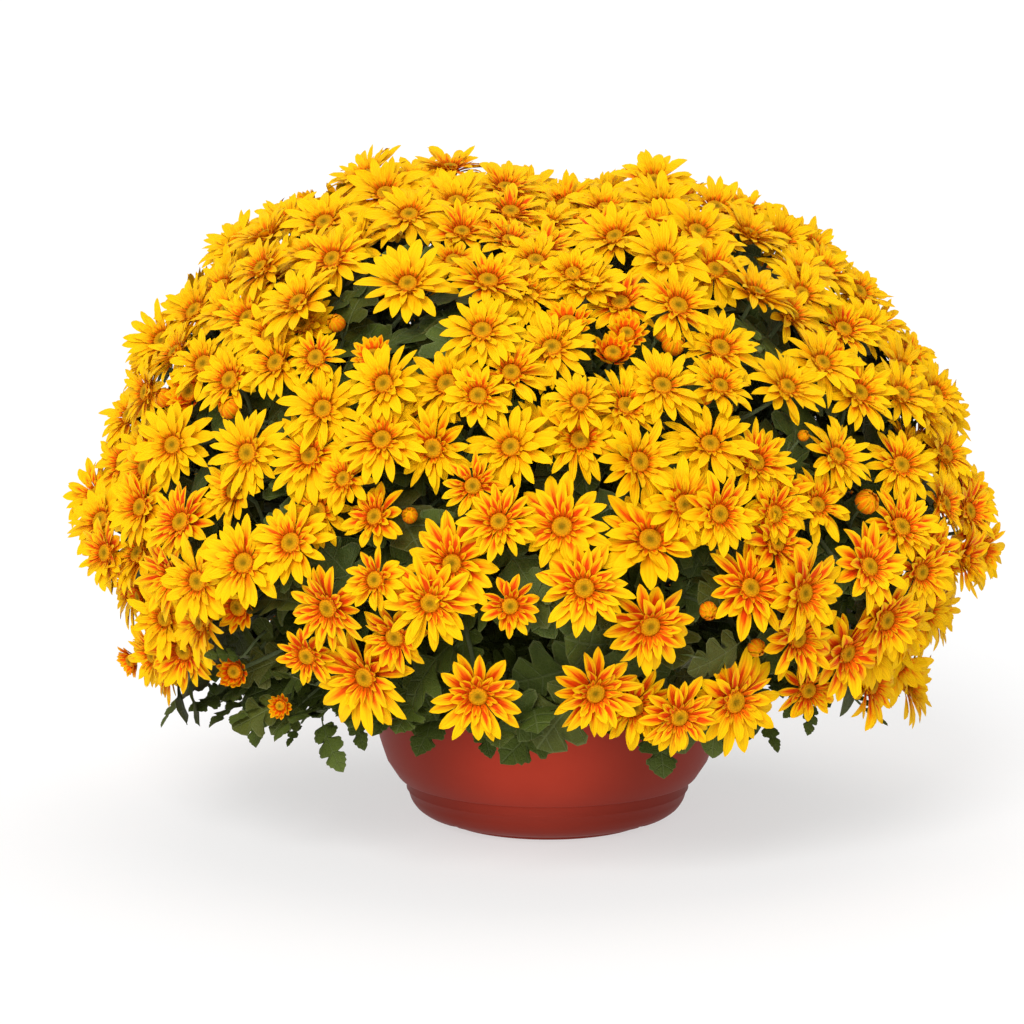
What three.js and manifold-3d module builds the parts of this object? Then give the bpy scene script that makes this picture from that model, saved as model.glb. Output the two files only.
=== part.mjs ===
// A pot chrysanthemum in full flower: a shallow plastic bowl pot, its potting soil with the
// rooted stems in it, sixteen flowering shoots that branch from six rooted cuttings, and the
// lobed leaves of the skirt. Millimetres, +Z up, the origin under the middle of the whole
// plant on the surface that the pot stands on.

import * as THREE from "three";
import { mergeVertices } from "three/addons/utils/BufferGeometryUtils.js";
import Module from "manifold-3d";

const wasm = await Module();
wasm.setup();

// ---------------------------------------------------------------- driving dimensions (mm)
const POT_RIM_RADIUS = 112; // outside of the rim
const POT_HEIGHT = 115;
const POT_WALL = 2.2;
const POT_FLOOR_TOP = 6.4; // inside of the floor
const FOOT_OUTER_RADIUS = 61;
const FOOT_INNER_RADIUS = 54;
const FOOT_HEIGHT = 2.6; // the floor stands this far above the surface
const FOOT_NOTCHES = 3;
const FOOT_NOTCH_WIDTH = 7.5;
const DRAIN_HOLES = 6;
const DRAIN_HOLE_RADIUS = 5;
const DRAIN_CIRCLE_RADIUS = 40;
const POT_SIDES = 36;

const SOIL_TOP = 99; // at the pot's wall
const SOIL_CROWN = 3; // the soil is this much higher in the middle
const GAP = 0.3; // between pieces that touch

const STEM_ROOTED_DEPTH = 16; // how deep a woody stem goes into the soil
const STEM_BASE_RADIUS = 3.1;
const STEM_FORK_RADIUS = 2.4;
const FORK_RADIUS = 5.4; // the knuckle where a shoot first branches
const KNUCKLE_RADIUS = 3.6; // the knuckles where branches end in their stalks
const STALK_RADIUS = 1.3; // the stalk right under a flower head

const HEAD_SIDES = 7;
const HEAD_UNDER = 7; // from the middle of a head down to its stalk
const HEAD_RIM_RISE = 2.4; // the ray florets' tips stand this much above its middle
const HEAD_DOME = 3.6; // the disc stands this much above its middle
const HEAD_CLEARANCE = 0.5;

const LEAF_THICKNESS = 1.1;

// outside of the pot from the foot up, as [radius, height]: a rounded underside, a narrow
// upright band, an overhanging step, a flaring wall and a rolled rim
const POT_OUTSIDE = [
  [FOOT_OUTER_RADIUS, 0],
  [FOOT_OUTER_RADIUS + 0.8, 2.2],
  [68.5, 3.0],
  [74.8, 5.0],
  [79.2, 8.2],
  [82.2, 12.6],
  [83.8, 18.4],
  [84.6, 19.4],
  [85.0, 25.2],
  [88.6, 26.0],
  [90.0, 27.4],
  [96.4, 37],
  [100.8, 50],
  [104.4, 68],
  [107.4, 90],
  [109.2, 104.5],
  [POT_RIM_RADIUS, 105.6],
  [POT_RIM_RADIUS, POT_HEIGHT - 1.2],
  [POT_RIM_RADIUS - 1.2, POT_HEIGHT],
];

// ---------------------------------------------------------------- the plant
// One entry for each shoot: foot is where it leaves the soil, fork is where it first
// branches, and each branch point carries heads as
// [x, y, z, facing x, facing y, facing z, radius, kind]; kind 0 is an open bloom, 1 a
// half-open bloom, 2 an opening bud and 3 a closed bud. Measured from the pot's axis.
const SHOOTS = [
  { name: "flowering_shoot_01", foot: [-2.9, -12.7], fork: [-6.2, -29.7, 227.9], branches: [
    { at: [-57.9, -40.9, 328.5], heads: [
      [-2.3, -52, 366.7, 0.1, -0.2, 0.97, 23.6, 0], [-93.8, -46.4, 369, -0.14, -0.34, 0.93, 26.9, 0],
      [-26.4, 75.9, 377.1, -0.07, 0.01, 1, 23.2, 0], [-65.7, 2.7, 376.4, -0.07, -0.28, 0.96, 23.2, 0],
    ] },
    { at: [14.9, -45.7, 313.8], heads: [
      [49.3, -48, 364.9, 0.18, -0.21, 0.96, 23.1, 0], [67.5, -29.7, 376.3, 0.14, -0.35, 0.93, 25.8, 0],
      [9.6, -18.3, 377.1, -0.34, -0.3, 0.89, 25.4, 0], [33.9, -27, 375, 0.06, -0.3, 0.95, 23.2, 0],
    ] },
    { at: [-13.5, -30.5, 296.5], heads: [
      [-25.4, -26.3, 385.9, 0.2, -0.26, 0.95, 25.4, 0], [-22.4, -59.1, 373.1, 0.13, -0.36, 0.92, 24.7, 0],
    ] },
    { at: [-8.9, -72.5, 304.4], heads: [
      [-2.6, -95.2, 351.9, 0.15, -0.26, 0.95, 22.5, 0], [-8.3, -118.2, 343.1, 0.13, -0.44, 0.89, 22.8, 0],
      [-22.4, -94.9, 356.4, 0.17, -0.35, 0.92, 22.5, 0], [-54.3, -118.3, 346.8, -0.1, -0.41, 0.91, 21.8, 0],
      [36.8, -100.1, 359.1, -0.21, -0.36, 0.91, 25.8, 0], [-49.8, -94.3, 361.4, 0.14, -0.49, 0.86, 24.4, 0],
      [31.7, -65.7, 360.6, -0.29, -0.23, 0.93, 24.5, 0],
    ] },
    { at: [37.8, -18.3, 329.9], heads: [
      [30.2, 21.4, 379.7, -0.61, 0.39, 0.68, 23.9, 0], [44, -0.2, 375.6, 0.06, -0.29, 0.96, 25.8, 0],
      [63.8, -68.4, 364.2, 0.12, -0.36, 0.92, 23.6, 0], [17.2, 60.4, 371.4, 0, 0.41, 0.91, 23.0, 0],
      [-1.7, 6.5, 379.5, 0.16, -0.32, 0.93, 24.4, 0], [-11, 30.6, 383.5, 0.28, 0.19, 0.94, 27.3, 0],
    ] },
    { at: [-18, 2.8, 325.6], heads: [
      [-59.3, 27.9, 393.5, -0.04, -0.2, 0.98, 24.5, 0], [10.5, -37.1, 367.1, 0.01, -0.23, 0.97, 22.5, 0],
      [-29.7, 8.8, 383.3, 0.04, -0.2, 0.98, 24.5, 0], [63.7, 13.7, 387.5, 0.08, -0.3, 0.95, 24.9, 0],
    ] },
    { at: [-60.4, -70.1, 317.4], heads: [
      [-80.3, -82.9, 371.7, 0.03, -0.47, 0.88, 26.2, 0], [-37.7, -92.4, 363.5, 0.27, -0.41, 0.87, 4.2, 3],
      [-64.2, -28, 382.3, 0, -0.36, 0.93, 24.6, 0], [-53.8, -67.7, 379, -0.01, -0.32, 0.95, 26.2, 0],
    ] },
  ] },
  { name: "flowering_shoot_02", foot: [60.5, 8.9], fork: [98.1, -8.9, 203.6], branches: [
    { at: [150.4, -18.4, 254.1], heads: [
      [218.7, -5.8, 283.5, 0.63, -0.37, 0.69, 23.6, 0], [188.5, -37.2, 304.3, 0.58, -0.33, 0.74, 23.6, 0],
      [188.2, 2.5, 321.7, 0.56, -0.29, 0.78, 24.0, 0], [166.4, -9.9, 336.5, 0.66, -0.31, 0.69, 24.0, 0],
      [173.2, -61, 305.3, 0.5, -0.36, 0.79, 22.5, 0], [208.8, -49.5, 279.8, 0.73, -0.48, 0.5, 25.6, 0],
    ] },
    { at: [139.9, 25.5, 274.1], heads: [
      [161.1, 70, 330, 0.46, 0.35, 0.82, 24.4, 0], [179.1, 36.6, 325, 0.45, 0.26, 0.85, 25.3, 0],
      [199.4, -7, 303.8, 0.62, -0.33, 0.72, 23.6, 0],
    ] },
    { at: [108.5, -22.5, 279.8], heads: [
      [140, -7.5, 355.1, 0.53, -0.37, 0.77, 23.6, 0], [119.8, -31, 360.8, 0.4, -0.37, 0.84, 25.4, 0],
      [100.1, -15.1, 374.5, 0.29, -0.21, 0.93, 25.8, 0], [148.9, -41.2, 337, 0.53, -0.3, 0.79, 25.1, 0],
      [93.7, -39, 359.5, 0.32, -0.32, 0.89, 24.8, 0], [116.5, -112, 328.1, 0.48, -0.32, 0.82, 27.6, 0],
    ] },
    { at: [96.3, -51.8, 271.9], heads: [
      [86.2, -66.4, 362.8, 0.2, -0.36, 0.91, 27.6, 0], [93, -107.8, 340.7, 0.35, -0.48, 0.8, 25.4, 0],
      [75.6, -87.7, 347.2, 0.46, -0.32, 0.83, 25.6, 0], [165.7, -91.1, 290.5, 0.44, -0.38, 0.81, 10.9, 1],
      [146, -75.8, 326.5, 0.63, -0.37, 0.69, 25.4, 0],
    ] },
    { at: [118, 5.7, 288.3], heads: [
      [160.7, 9.9, 348.2, 0.53, -0.26, 0.8, 24.0, 0], [150.1, 11.2, 354, 0.61, -0.25, 0.75, 23.6, 0],
      [119, 7.8, 370.2, 0.32, -0.27, 0.91, 24.7, 0], [80.1, 52.7, 373.8, 0.06, 0.33, 0.94, 25.0, 0],
      [121, 48.5, 359.1, 0.54, 0.33, 0.78, 11.3, 1],
    ] },
    { at: [127.5, -51.5, 245.8], heads: [
      [152.4, -126.4, 290.3, 0.51, -0.49, 0.7, 28.0, 0], [135.7, -97.1, 314.2, 0.58, -0.37, 0.72, 27.5, 0],
    ] },
  ] },
  { name: "flowering_shoot_03", foot: [-67.7, 9.7], fork: [-108.2, 25.4, 207.6], branches: [
    { at: [-101, 60.2, 292.1], heads: [
      [-74.7, 97.4, 368.8, 0.12, 0.46, 0.88, 23.5, 0], [-125.7, 96.8, 365, -0.21, 0.25, 0.95, 23.0, 0],
      [-79.8, 65.6, 384.1, 0.13, 0.46, 0.88, 25.7, 0], [-143.8, 67.5, 363.1, -0.5, 0.28, 0.82, 5.7, 3],
    ] },
    { at: [-110.9, 28, 296.2], heads: [
      [-97.5, -3.2, 380.6, -0.22, -0.32, 0.92, 26.2, 0], [-110.3, 43.6, 387.5, -0.31, -0.34, 0.89, 25.4, 0],
      [-149.6, 50.3, 366.4, -0.49, 0.03, 0.87, 12.9, 1], [-86.1, 25.5, 375.4, -0.04, -0.26, 0.96, 24.3, 0],
    ] },
    { at: [-164.4, 20.8, 261], heads: [
      [-187.4, 18.4, 345.6, -0.56, -0.26, 0.78, 25.4, 0], [-229.9, 50.6, 267.7, -0.75, 0.36, 0.55, 23.1, 0],
      [-213.7, -8.2, 313.1, -0.75, -0.25, 0.62, 26.8, 0], [-208.2, 43.1, 310.3, -0.7, 0.01, 0.72, 24.6, 0],
      [-228, 10, 278.2, -0.82, 0.14, 0.55, 22.8, 0], [-186.5, -9.5, 327.8, -0.74, -0.31, 0.6, 27.3, 0],
    ] },
    { at: [-127.6, 3.6, 289.3], heads: [
      [-132.1, -44.9, 366.7, -0.34, -0.3, 0.89, 25.4, 0], [-156.6, 12.3, 362.2, -0.25, -0.32, 0.92, 25.8, 0],
      [-167.7, -25.9, 357.6, -0.36, -0.17, 0.92, 24.6, 0], [-126.8, -6.9, 364.3, -0.32, -0.34, 0.89, 22.7, 0],
      [-131.1, 26.1, 367, -0.26, -0.29, 0.92, 23.0, 0],
    ] },
    { at: [-144.9, 58, 273.6], heads: [
      [-167.5, 80.5, 350.2, -0.51, 0.27, 0.82, 22.5, 0], [-164.5, 133.5, 311.7, -0.48, 0.52, 0.71, 26.9, 0],
      [-206.6, 83.8, 298.6, -0.91, 0.31, 0.29, 24.0, 0], [-183.5, 97.7, 323.3, -0.51, 0.3, 0.81, 25.3, 0],
      [-142.3, 115.6, 337.5, -0.43, 0.59, 0.68, 25.5, 0], [-186.1, 53.3, 341.7, -0.61, 0.09, 0.79, 24.4, 0],
      [-217.2, 87.1, 268.5, -0.88, 0.44, 0.19, 5.7, 3],
    ] },
  ] },
  { name: "flowering_shoot_04", foot: [-44.3, -40.8], fork: [-108.3, -76.6, 194.6], branches: [
    { at: [-140.7, -120.5, 249.8], heads: [
      [-178.1, -139.4, 266.1, -0.68, -0.47, 0.56, 6.0, 3], [-140.6, -132.6, 325.3, -0.48, -0.46, 0.74, 28.0, 0],
      [-156.5, -131.2, 306.7, -0.44, -0.58, 0.69, 23.6, 0], [-118.3, -146.5, 314.6, -0.33, -0.74, 0.59, 4.8, 3],
      [-212.2, -121.8, 243.2, -0.59, -0.76, 0.28, 27.1, 0], [-78.9, -146.4, 336.9, -0.17, -0.67, 0.72, 28.4, 0],
      [-168.9, -108.3, 312.3, -0.57, -0.62, 0.54, 26.6, 0],
    ] },
    { at: [-139.4, -71.5, 264.7], heads: [
      [-158.2, -57.4, 341.2, -0.55, -0.35, 0.76, 26.0, 0], [-162.2, -95.4, 340.1, -0.5, -0.47, 0.73, 23.5, 0],
      [-185.2, -82.7, 316.7, -0.55, -0.34, 0.76, 25.1, 0], [-138, -75, 348.4, -0.53, -0.35, 0.78, 23.8, 0],
      [-122.2, -114.9, 347.6, -0.32, -0.6, 0.73, 25.8, 0], [-192.6, -44.4, 327.8, -0.56, -0.28, 0.78, 24.7, 0],
      [-194.9, -106.1, 286.6, -0.58, -0.61, 0.54, 23.6, 0], [-113.6, -80, 357.2, -0.22, -0.4, 0.89, 25.8, 0],
    ] },
    { at: [-162, -107, 241.4], heads: [
      [-215.1, -89.5, 250.7, -0.76, -0.55, 0.34, 23.2, 0], [-167.3, -164.3, 244.9, -0.52, -0.8, 0.29, 25.8, 0],
      [-179.3, -128.6, 281, -0.49, -0.69, 0.53, 23.2, 0],
    ] },
    { at: [-186.3, -27.6, 253.9], heads: [
      [-209.9, -79, 287.3, -0.66, -0.35, 0.67, 23.3, 0], [-205.6, -58.6, 313.1, -0.73, -0.24, 0.64, 26.9, 0],
      [-203.5, -107.2, 271.4, -0.67, -0.62, 0.41, 13.2, 1],
    ] },
    { at: [-109, -90.4, 272.4], heads: [
      [-129.6, -157.4, 297, -0.37, -0.75, 0.55, 23.6, 0], [-152.2, -149.4, 293.2, -0.53, -0.64, 0.56, 24.9, 0],
      [-137.3, -133.1, 312.5, -0.38, -0.62, 0.68, 21.5, 0],
    ] },
    { at: [-181.9, -51.4, 205], heads: [
      [-228.4, -62.3, 263.1, -0.9, -0.34, 0.28, 25.4, 0], [-216.9, -88.9, 264.3, -0.78, -0.49, 0.38, 5.4, 3],
      [-220.2, -52.1, 291.4, -0.81, -0.47, 0.35, 25.8, 0], [-239, -56.7, 232.7, -0.8, -0.41, 0.44, 23.8, 0],
      [-226.4, -23.9, 275.2, -0.75, -0.36, 0.55, 23.5, 0],
    ] },
  ] },
  { name: "flowering_shoot_05", foot: [26.2, -55.1], fork: [30.2, -109.2, 188.8], branches: [
    { at: [72.5, -145.5, 241.4], heads: [
      [130.9, -155.6, 280.6, 0.54, -0.49, 0.68, 26.2, 0], [92.6, -179.2, 284.2, 0.37, -0.68, 0.63, 25.8, 0],
      [83.8, -182.3, 278, 0.42, -0.64, 0.65, 4.2, 3], [116.2, -140.4, 299.3, 0.52, -0.68, 0.52, 2.4, 3],
      [93.4, -161.4, 303, 0.35, -0.61, 0.71, 26.2, 0], [86.2, -203, 255.6, 0.21, -0.78, 0.59, 27.3, 0],
      [32.7, -221.9, 224, 0.22, -0.92, 0.31, 1.8, 3], [47.2, -219.3, 248.2, 0.25, -0.86, 0.44, 27.3, 0],
    ] },
    { at: [47.9, -139.1, 265.5], heads: [
      [20.3, -142.5, 335.3, -0.03, -0.48, 0.88, 23.6, 0], [38.3, -155.7, 327.3, 0.05, -0.61, 0.79, 24.3, 0],
      [41.8, -171.8, 312.6, 0.19, -0.7, 0.69, 10.8, 1], [9.4, -168.9, 318.3, 0.02, -0.64, 0.77, 13.2, 1],
      [61.3, -163.9, 311.1, 0.49, -0.65, 0.58, 4.8, 3], [67.2, -167.2, 304.9, 0.2, -0.7, 0.68, 6.0, 3],
      [60.3, -195.2, 286.4, 0.08, -0.76, 0.64, 26.9, 0],
    ] },
    { at: [-10, -141.4, 255.9], heads: [
      [-37.7, -174.9, 314.1, -0.17, -0.68, 0.71, 25.8, 0], [-18, -140.8, 335.2, 0.03, -0.49, 0.87, 22.5, 0],
      [-12.5, -156.3, 331.3, 0.02, -0.57, 0.82, 25.4, 0], [0.5, -187, 306.2, -0.01, -0.67, 0.74, 27.1, 0],
      [15.5, -205.8, 279, -0.09, -0.79, 0.6, 25.4, 0], [-2.9, -208.2, 265.1, 0.05, -0.8, 0.6, 22.5, 0],
    ] },
    { at: [18.4, -147.6, 228], heads: [
      [40.5, -204.1, 276.6, 0.27, -0.8, 0.53, 25.4, 0], [15.4, -216.5, 259.8, 0.01, -0.88, 0.47, 25.4, 0],
    ] },
    { at: [10.5, -119.9, 274.7], heads: [
      [12.6, -134.7, 341.2, -0.05, -0.46, 0.88, 24.7, 0], [33.9, -181.9, 303.3, 0.09, -0.74, 0.66, 12.0, 1],
      [64.3, -121.2, 348.2, 0.29, -0.45, 0.84, 26.9, 0], [-34.6, -145.4, 338.4, 0.08, -0.55, 0.83, 25.4, 0],
      [-21.8, -193.7, 293.3, 0.02, -0.76, 0.65, 24.9, 0], [70.4, -152.5, 325.3, 0.17, -0.53, 0.83, 26.5, 0],
    ] },
  ] },
  { name: "flowering_shoot_06", foot: [21.1, 57.8], fork: [63.9, 105.9, 203.7], branches: [
    { at: [131.9, 68.8, 284.1], heads: [
      [165.2, 101.8, 294.5, 0.53, 0.31, 0.79, 23.6, 0], [127.5, 127.2, 317.1, 0.63, 0.29, 0.72, 27.5, 0],
      [91.9, 126, 331.3, 0.61, 0.4, 0.69, 27.1, 0], [152.9, 145.8, 270.9, 0.54, 0.43, 0.72, 23.8, 0],
      [154.3, 169.6, 243.4, 0.66, 0.62, 0.43, 23.7, 0],
    ] },
    { at: [36.5, 157.2, 265.3], heads: [
      [89.3, 191.3, 285.1, 0.25, 0.64, 0.73, 23.9, 0], [80.1, 205.3, 262.1, 0.47, 0.54, 0.7, 5.1, 3],
      [46, 191.8, 295.5, -0.05, 0.78, 0.63, 26.8, 0], [114.4, 160.9, 296.2, 0.41, 0.46, 0.79, 12.5, 1],
      [60.4, 130.4, 346.8, 0.12, 0.52, 0.85, 22.9, 0], [72.4, 157.5, 317.2, 0.32, 0.46, 0.83, 23.0, 0],
    ] },
    { at: [20.1, 114.3, 312.2], heads: [
      [33.1, 174.3, 320, -0.04, 0.68, 0.74, 26.5, 0], [31.3, 149.7, 344.1, 0.01, 0.46, 0.89, 26.4, 0],
      [71.7, 190.3, 290.1, 0.45, 0.7, 0.55, 6.0, 3], [26.8, 210.4, 267.9, -0.14, 0.84, 0.52, 22.9, 0],
      [15.3, 105.9, 360.1, -0.13, 0.26, 0.96, 27.0, 0], [74.2, 99.2, 352.1, 0.31, 0.52, 0.79, 25.5, 0],
      [46.3, 76.2, 373, 0.07, 0.19, 0.98, 25.2, 0], [116.8, 92.4, 344.1, 0.38, 0.31, 0.87, 24.9, 0],
    ] },
    { at: [129.5, 121.8, 233.6], heads: [
      [65.1, 209.7, 261.7, 0.26, 0.92, 0.28, 24.0, 0], [137, 110.3, 318.9, 0.32, 0.1, 0.94, 4.4, 3],
      [127.4, 184.7, 259.2, 0.48, 0.64, 0.6, 27.3, 0],
    ] },
  ] },
  { name: "flowering_shoot_07", foot: [-20.1, 62], fork: [-42.4, 114.9, 184.7], branches: [
    { at: [-76.3, 138.3, 253.2], heads: [
      [-81.9, 188.4, 299.9, -0.19, 0.91, 0.37, 26.9, 0], [-114.1, 134.8, 336.9, -0.37, 0.46, 0.81, 25.6, 0],
      [-135.7, 165.2, 302.9, -0.26, 0.54, 0.8, 11.8, 1], [-91.5, 159.1, 318, -0.18, 0.49, 0.85, 23.0, 0],
    ] },
    { at: [-33.2, 164.2, 226.3], heads: [
      [1.5, 217.4, 247.5, -0.04, 0.82, 0.56, 26.1, 0], [-31.9, 208.8, 280.9, 0.08, 0.71, 0.7, 25.8, 0],
      [-40.5, 221.4, 229.2, -0.03, 0.9, 0.44, 27.4, 0], [2.5, 191.8, 303.4, 0.35, 0.83, 0.44, 25.2, 0],
      [-58.5, 212.9, 260.1, -0.2, 0.85, 0.48, 25.5, 0],
    ] },
    { at: [-83.3, 155.3, 221.3], heads: [
      [-150.4, 175.6, 258.7, -0.53, 0.73, 0.44, 25.3, 0], [-89.4, 208.6, 247.1, -0.31, 0.71, 0.63, 10.6, 1],
      [-110.4, 187.9, 273.7, -0.2, 0.79, 0.58, 24.3, 0], [-128.6, 203.5, 239.3, -0.58, 0.79, 0.21, 25.6, 0],
    ] },
    { at: [-39.9, 128.6, 264.7], heads: [
      [-67.9, 135, 344.3, 0.01, 0.59, 0.81, 26.6, 0], [-10.8, 155.9, 331.1, -0.01, 0.61, 0.79, 23.1, 0],
      [-47.4, 169.5, 316.2, -0.31, 0.61, 0.73, 25.4, 0], [-28, 116, 352, -0.1, 0.55, 0.83, 26.9, 0],
    ] },
  ] },
  { name: "flowering_shoot_08", foot: [-42.2, -55.2], fork: [-113.3, -91.8, 148.8], branches: [
    { at: [-183.6, -94.5, 174.8], heads: [
      [-232.7, -113.8, 206.5, -0.78, -0.58, 0.21, 25.4, 0], [-234.9, -85.6, 225.8, -0.83, -0.4, 0.38, 24.0, 0],
      [-255.1, -86.1, 175.3, -0.87, -0.48, 0.12, 22.5, 0], [-237.6, -107.7, 180.6, -0.7, -0.45, 0.55, 26.2, 0],
    ] },
    { at: [-137.1, -122.9, 134.6], heads: [
      [-134.5, -185.9, 134.9, -0.38, -0.91, -0.16, 23.8, 0], [-177.5, -148.3, 118.2, -0.59, -0.79, -0.16, 10.2, 1],
      [-151.6, -152, 99.5, -0.58, -0.79, -0.18, 9.0, 2],
    ] },
    { at: [-173.8, -92.9, 142], heads: [
      [-219.8, -122.2, 143.5, -0.77, -0.63, 0.01, 25.8, 0], [-209.7, -123.2, 124.7, -0.65, -0.75, -0.15, 25.4, 0],
      [-247.6, -67.4, 144.4, -0.89, -0.44, -0.14, 9.6, 1], [-232.7, -90.8, 114.4, -0.79, -0.59, -0.16, 23.0, 0],
      [-228.3, -92.3, 147.4, -0.93, -0.36, -0.01, 23.5, 0],
    ] },
    { at: [-153.3, -127.7, 166.8], heads: [
      [-168.4, -190.7, 187.8, -0.43, -0.83, 0.35, 26.9, 0], [-194.9, -175.4, 175, -0.58, -0.81, 0.06, 26.9, 0],
      [-206.1, -149.4, 203.8, -0.65, -0.61, 0.45, 25.4, 0], [-175.1, -166, 224.5, -0.73, -0.55, 0.4, 25.4, 0],
      [-193.4, -147.9, 147.5, -0.81, -0.57, -0.15, 27.3, 0], [-211.6, -147.9, 172.1, -0.73, -0.66, -0.16, 25.3, 0],
      [-174, -167.4, 158.9, -0.59, -0.78, -0.18, 13.0, 1],
    ] },
  ] },
  { name: "flowering_shoot_09", foot: [-28.3, -51.1], fork: [-52.2, -119.6, 155.1], branches: [
    { at: [-79.5, -167.9, 162.3], heads: [
      [-101.8, -204.4, 126.8, -0.5, -0.85, -0.16, 27.8, 0], [-121.3, -216, 167.5, -0.58, -0.8, -0.16, 26.2, 0],
      [-95.3, -225.9, 184.7, -0.28, -0.9, 0.33, 25.4, 0],
    ] },
    { at: [-90.4, -159, 192.9], heads: [
      [-95.7, -208.8, 216.4, -0.41, -0.8, 0.43, 23.6, 0], [-127.3, -196.2, 217.6, -0.34, -0.87, 0.37, 24.5, 0],
      [-142, -200.2, 200.6, -0.38, -0.85, 0.36, 26.2, 0], [-131.8, -188.1, 246.8, -0.36, -0.79, 0.5, 26.7, 0],
    ] },
    { at: [-54.7, -159.5, 218.3], heads: [
      [-56.6, -195.6, 287.5, -0.26, -0.82, 0.5, 26.2, 0], [-39.8, -199.1, 281.4, -0.2, -0.83, 0.52, 24.5, 0],
      [-91.9, -201.9, 257.7, -0.27, -0.83, 0.48, 26.9, 0], [-64.1, -208.4, 254.2, -0.29, -0.93, 0.24, 24.7, 0],
      [-67.1, -190.8, 275.3, -0.36, -0.86, 0.36, 21.8, 0], [-76.6, -213.2, 217.7, -0.27, -0.82, 0.5, 4.2, 3],
      [-124.8, -181.2, 271.8, -0.33, -0.83, 0.45, 26.9, 0], [-98.2, -169.8, 300.2, -0.31, -0.62, 0.72, 10.8, 1],
    ] },
    { at: [-47.8, -180.6, 156.5], heads: [
      [-39.8, -218.2, 119.1, 0.04, -0.98, -0.17, 27.3, 0], [-22.4, -242, 173.4, 0.01, -0.97, 0.24, 23.2, 0],
      [-65.3, -241, 174.9, -0.08, -1, 0.05, 27.3, 0], [-53.5, -236.4, 195.3, -0.22, -0.93, 0.29, 26.2, 0],
      [-84.9, -219.2, 152, -0.4, -0.9, -0.17, 24.5, 0],
    ] },
    { at: [-37.9, -167.2, 185.2], heads: [
      [5.6, -235.1, 215.3, -0.18, -0.89, 0.43, 27.6, 0], [-28.3, -231.5, 217.4, -0.04, -0.9, 0.44, 26.2, 0],
      [-21.8, -219.9, 256.4, -0.1, -0.92, 0.38, 27.3, 0], [-42.4, -217.1, 234.7, -0.17, -0.94, 0.28, 22.7, 0],
    ] },
    { at: [-75.8, -148.2, 225.5], heads: [
      [-91.2, -184.7, 286.1, -0.29, -0.81, 0.52, 25.4, 0], [-113, -195.5, 235.2, -0.3, -0.88, 0.37, 23.6, 0],
    ] },
  ] },
  { name: "flowering_shoot_10", foot: [40.7, -54.9], fork: [70.4, -116.6, 178.2], branches: [
    { at: [143.3, -141.2, 205], heads: [
      [159, -156.8, 242.1, 0.65, -0.64, 0.4, 25.4, 0], [122.3, -189.3, 214.8, 0.46, -0.82, 0.34, 23.2, 0],
      [135.9, -193.4, 146.4, 0.63, -0.76, -0.17, 26.2, 0], [91, -212.4, 218.6, 0.45, -0.85, 0.26, 26.2, 0],
      [176.2, -173, 182.5, 0.58, -0.7, 0.42, 26.7, 0], [165.6, -161.6, 131.7, 0.74, -0.65, -0.18, 26.2, 0],
      [147.1, -171.6, 217, 0.57, -0.76, 0.31, 23.6, 0],
    ] },
    { at: [34.5, -142.6, 105.2], heads: [
      [53, -237.6, 161.6, 0.33, -0.93, -0.16, 27.1, 0], [46.1, -206.2, 110.4, 0.36, -0.92, -0.16, 24.7, 0],
    ] },
    { at: [102, -178.7, 187.4], heads: [
      [123.5, -186.7, 223.9, 0.55, -0.73, 0.41, 23.6, 0], [71.7, -218, 224.5, 0.34, -0.87, 0.36, 25.8, 0],
      [112.1, -189.8, 243.7, 0.51, -0.77, 0.38, 24.9, 0], [122.6, -203.3, 200.6, 0.57, -0.62, 0.54, 26.2, 0],
      [138.2, -203.2, 173.4, 0.64, -0.77, 0.07, 26.2, 0], [112.6, -198.5, 142.4, 0.37, -0.92, -0.16, 4.8, 3],
    ] },
    { at: [104.8, -129.7, 139.8], heads: [
      [101.8, -189.3, 109.7, 0.49, -0.86, -0.15, 27.8, 0], [144.4, -157.6, 109.8, 0.48, -0.86, -0.16, 24.3, 0],
    ] },
    { at: [57.1, -164, 167], heads: [
      [17.3, -246.6, 184.1, -0.03, -0.98, 0.21, 26.7, 0], [23.9, -221.5, 121.4, 0.17, -0.97, -0.17, 27.3, 0],
      [139.6, -162.6, 254.2, 0.25, -0.78, 0.57, 3.0, 3], [107.7, -221, 179.4, 0.37, -0.8, 0.47, 27.6, 0],
      [84.9, -222.8, 167.6, 0.28, -0.95, -0.1, 4.8, 3], [70.6, -199.5, 103.4, 0.31, -0.94, -0.16, 26.7, 0],
      [53, -231.9, 207.6, 0, -0.88, 0.47, 28.4, 0],
    ] },
  ] },
  { name: "flowering_shoot_11", foot: [42.3, -40.5], fork: [119.4, -60.9, 150], branches: [
    { at: [159.9, -85.7, 136.7], heads: [
      [206.6, -81.2, 107.5, 0.76, -0.63, -0.15, 25.4, 0], [220, -97.2, 142.3, 0.87, -0.47, -0.16, 22.5, 0],
      [184.9, -122.4, 105, 0.86, -0.51, -0.04, 25.9, 0], [199.4, -123.6, 140.1, 0.79, -0.59, -0.16, 25.0, 0],
      [179.8, -136.3, 128.5, 0.44, -0.88, -0.19, 26.0, 0], [199.8, -102.8, 125.5, 0.68, -0.72, -0.17, 25.0, 0],
    ] },
    { at: [173, -47.8, 131.9], heads: [
      [223.2, -19.5, 125.4, 0.98, -0.04, -0.18, 25.1, 0], [235.4, -55.1, 133.9, 0.98, -0.05, -0.18, 24.5, 0],
      [213.3, -37.4, 88.4, 0.99, -0.06, -0.16, 26.5, 0],
    ] },
    { at: [162.4, -100.4, 163.6], heads: [
      [187.8, -154.2, 149.1, 0.7, -0.69, -0.17, 25.8, 0], [208.7, -136.6, 173.2, 0.75, -0.66, -0.05, 24.7, 0],
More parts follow.
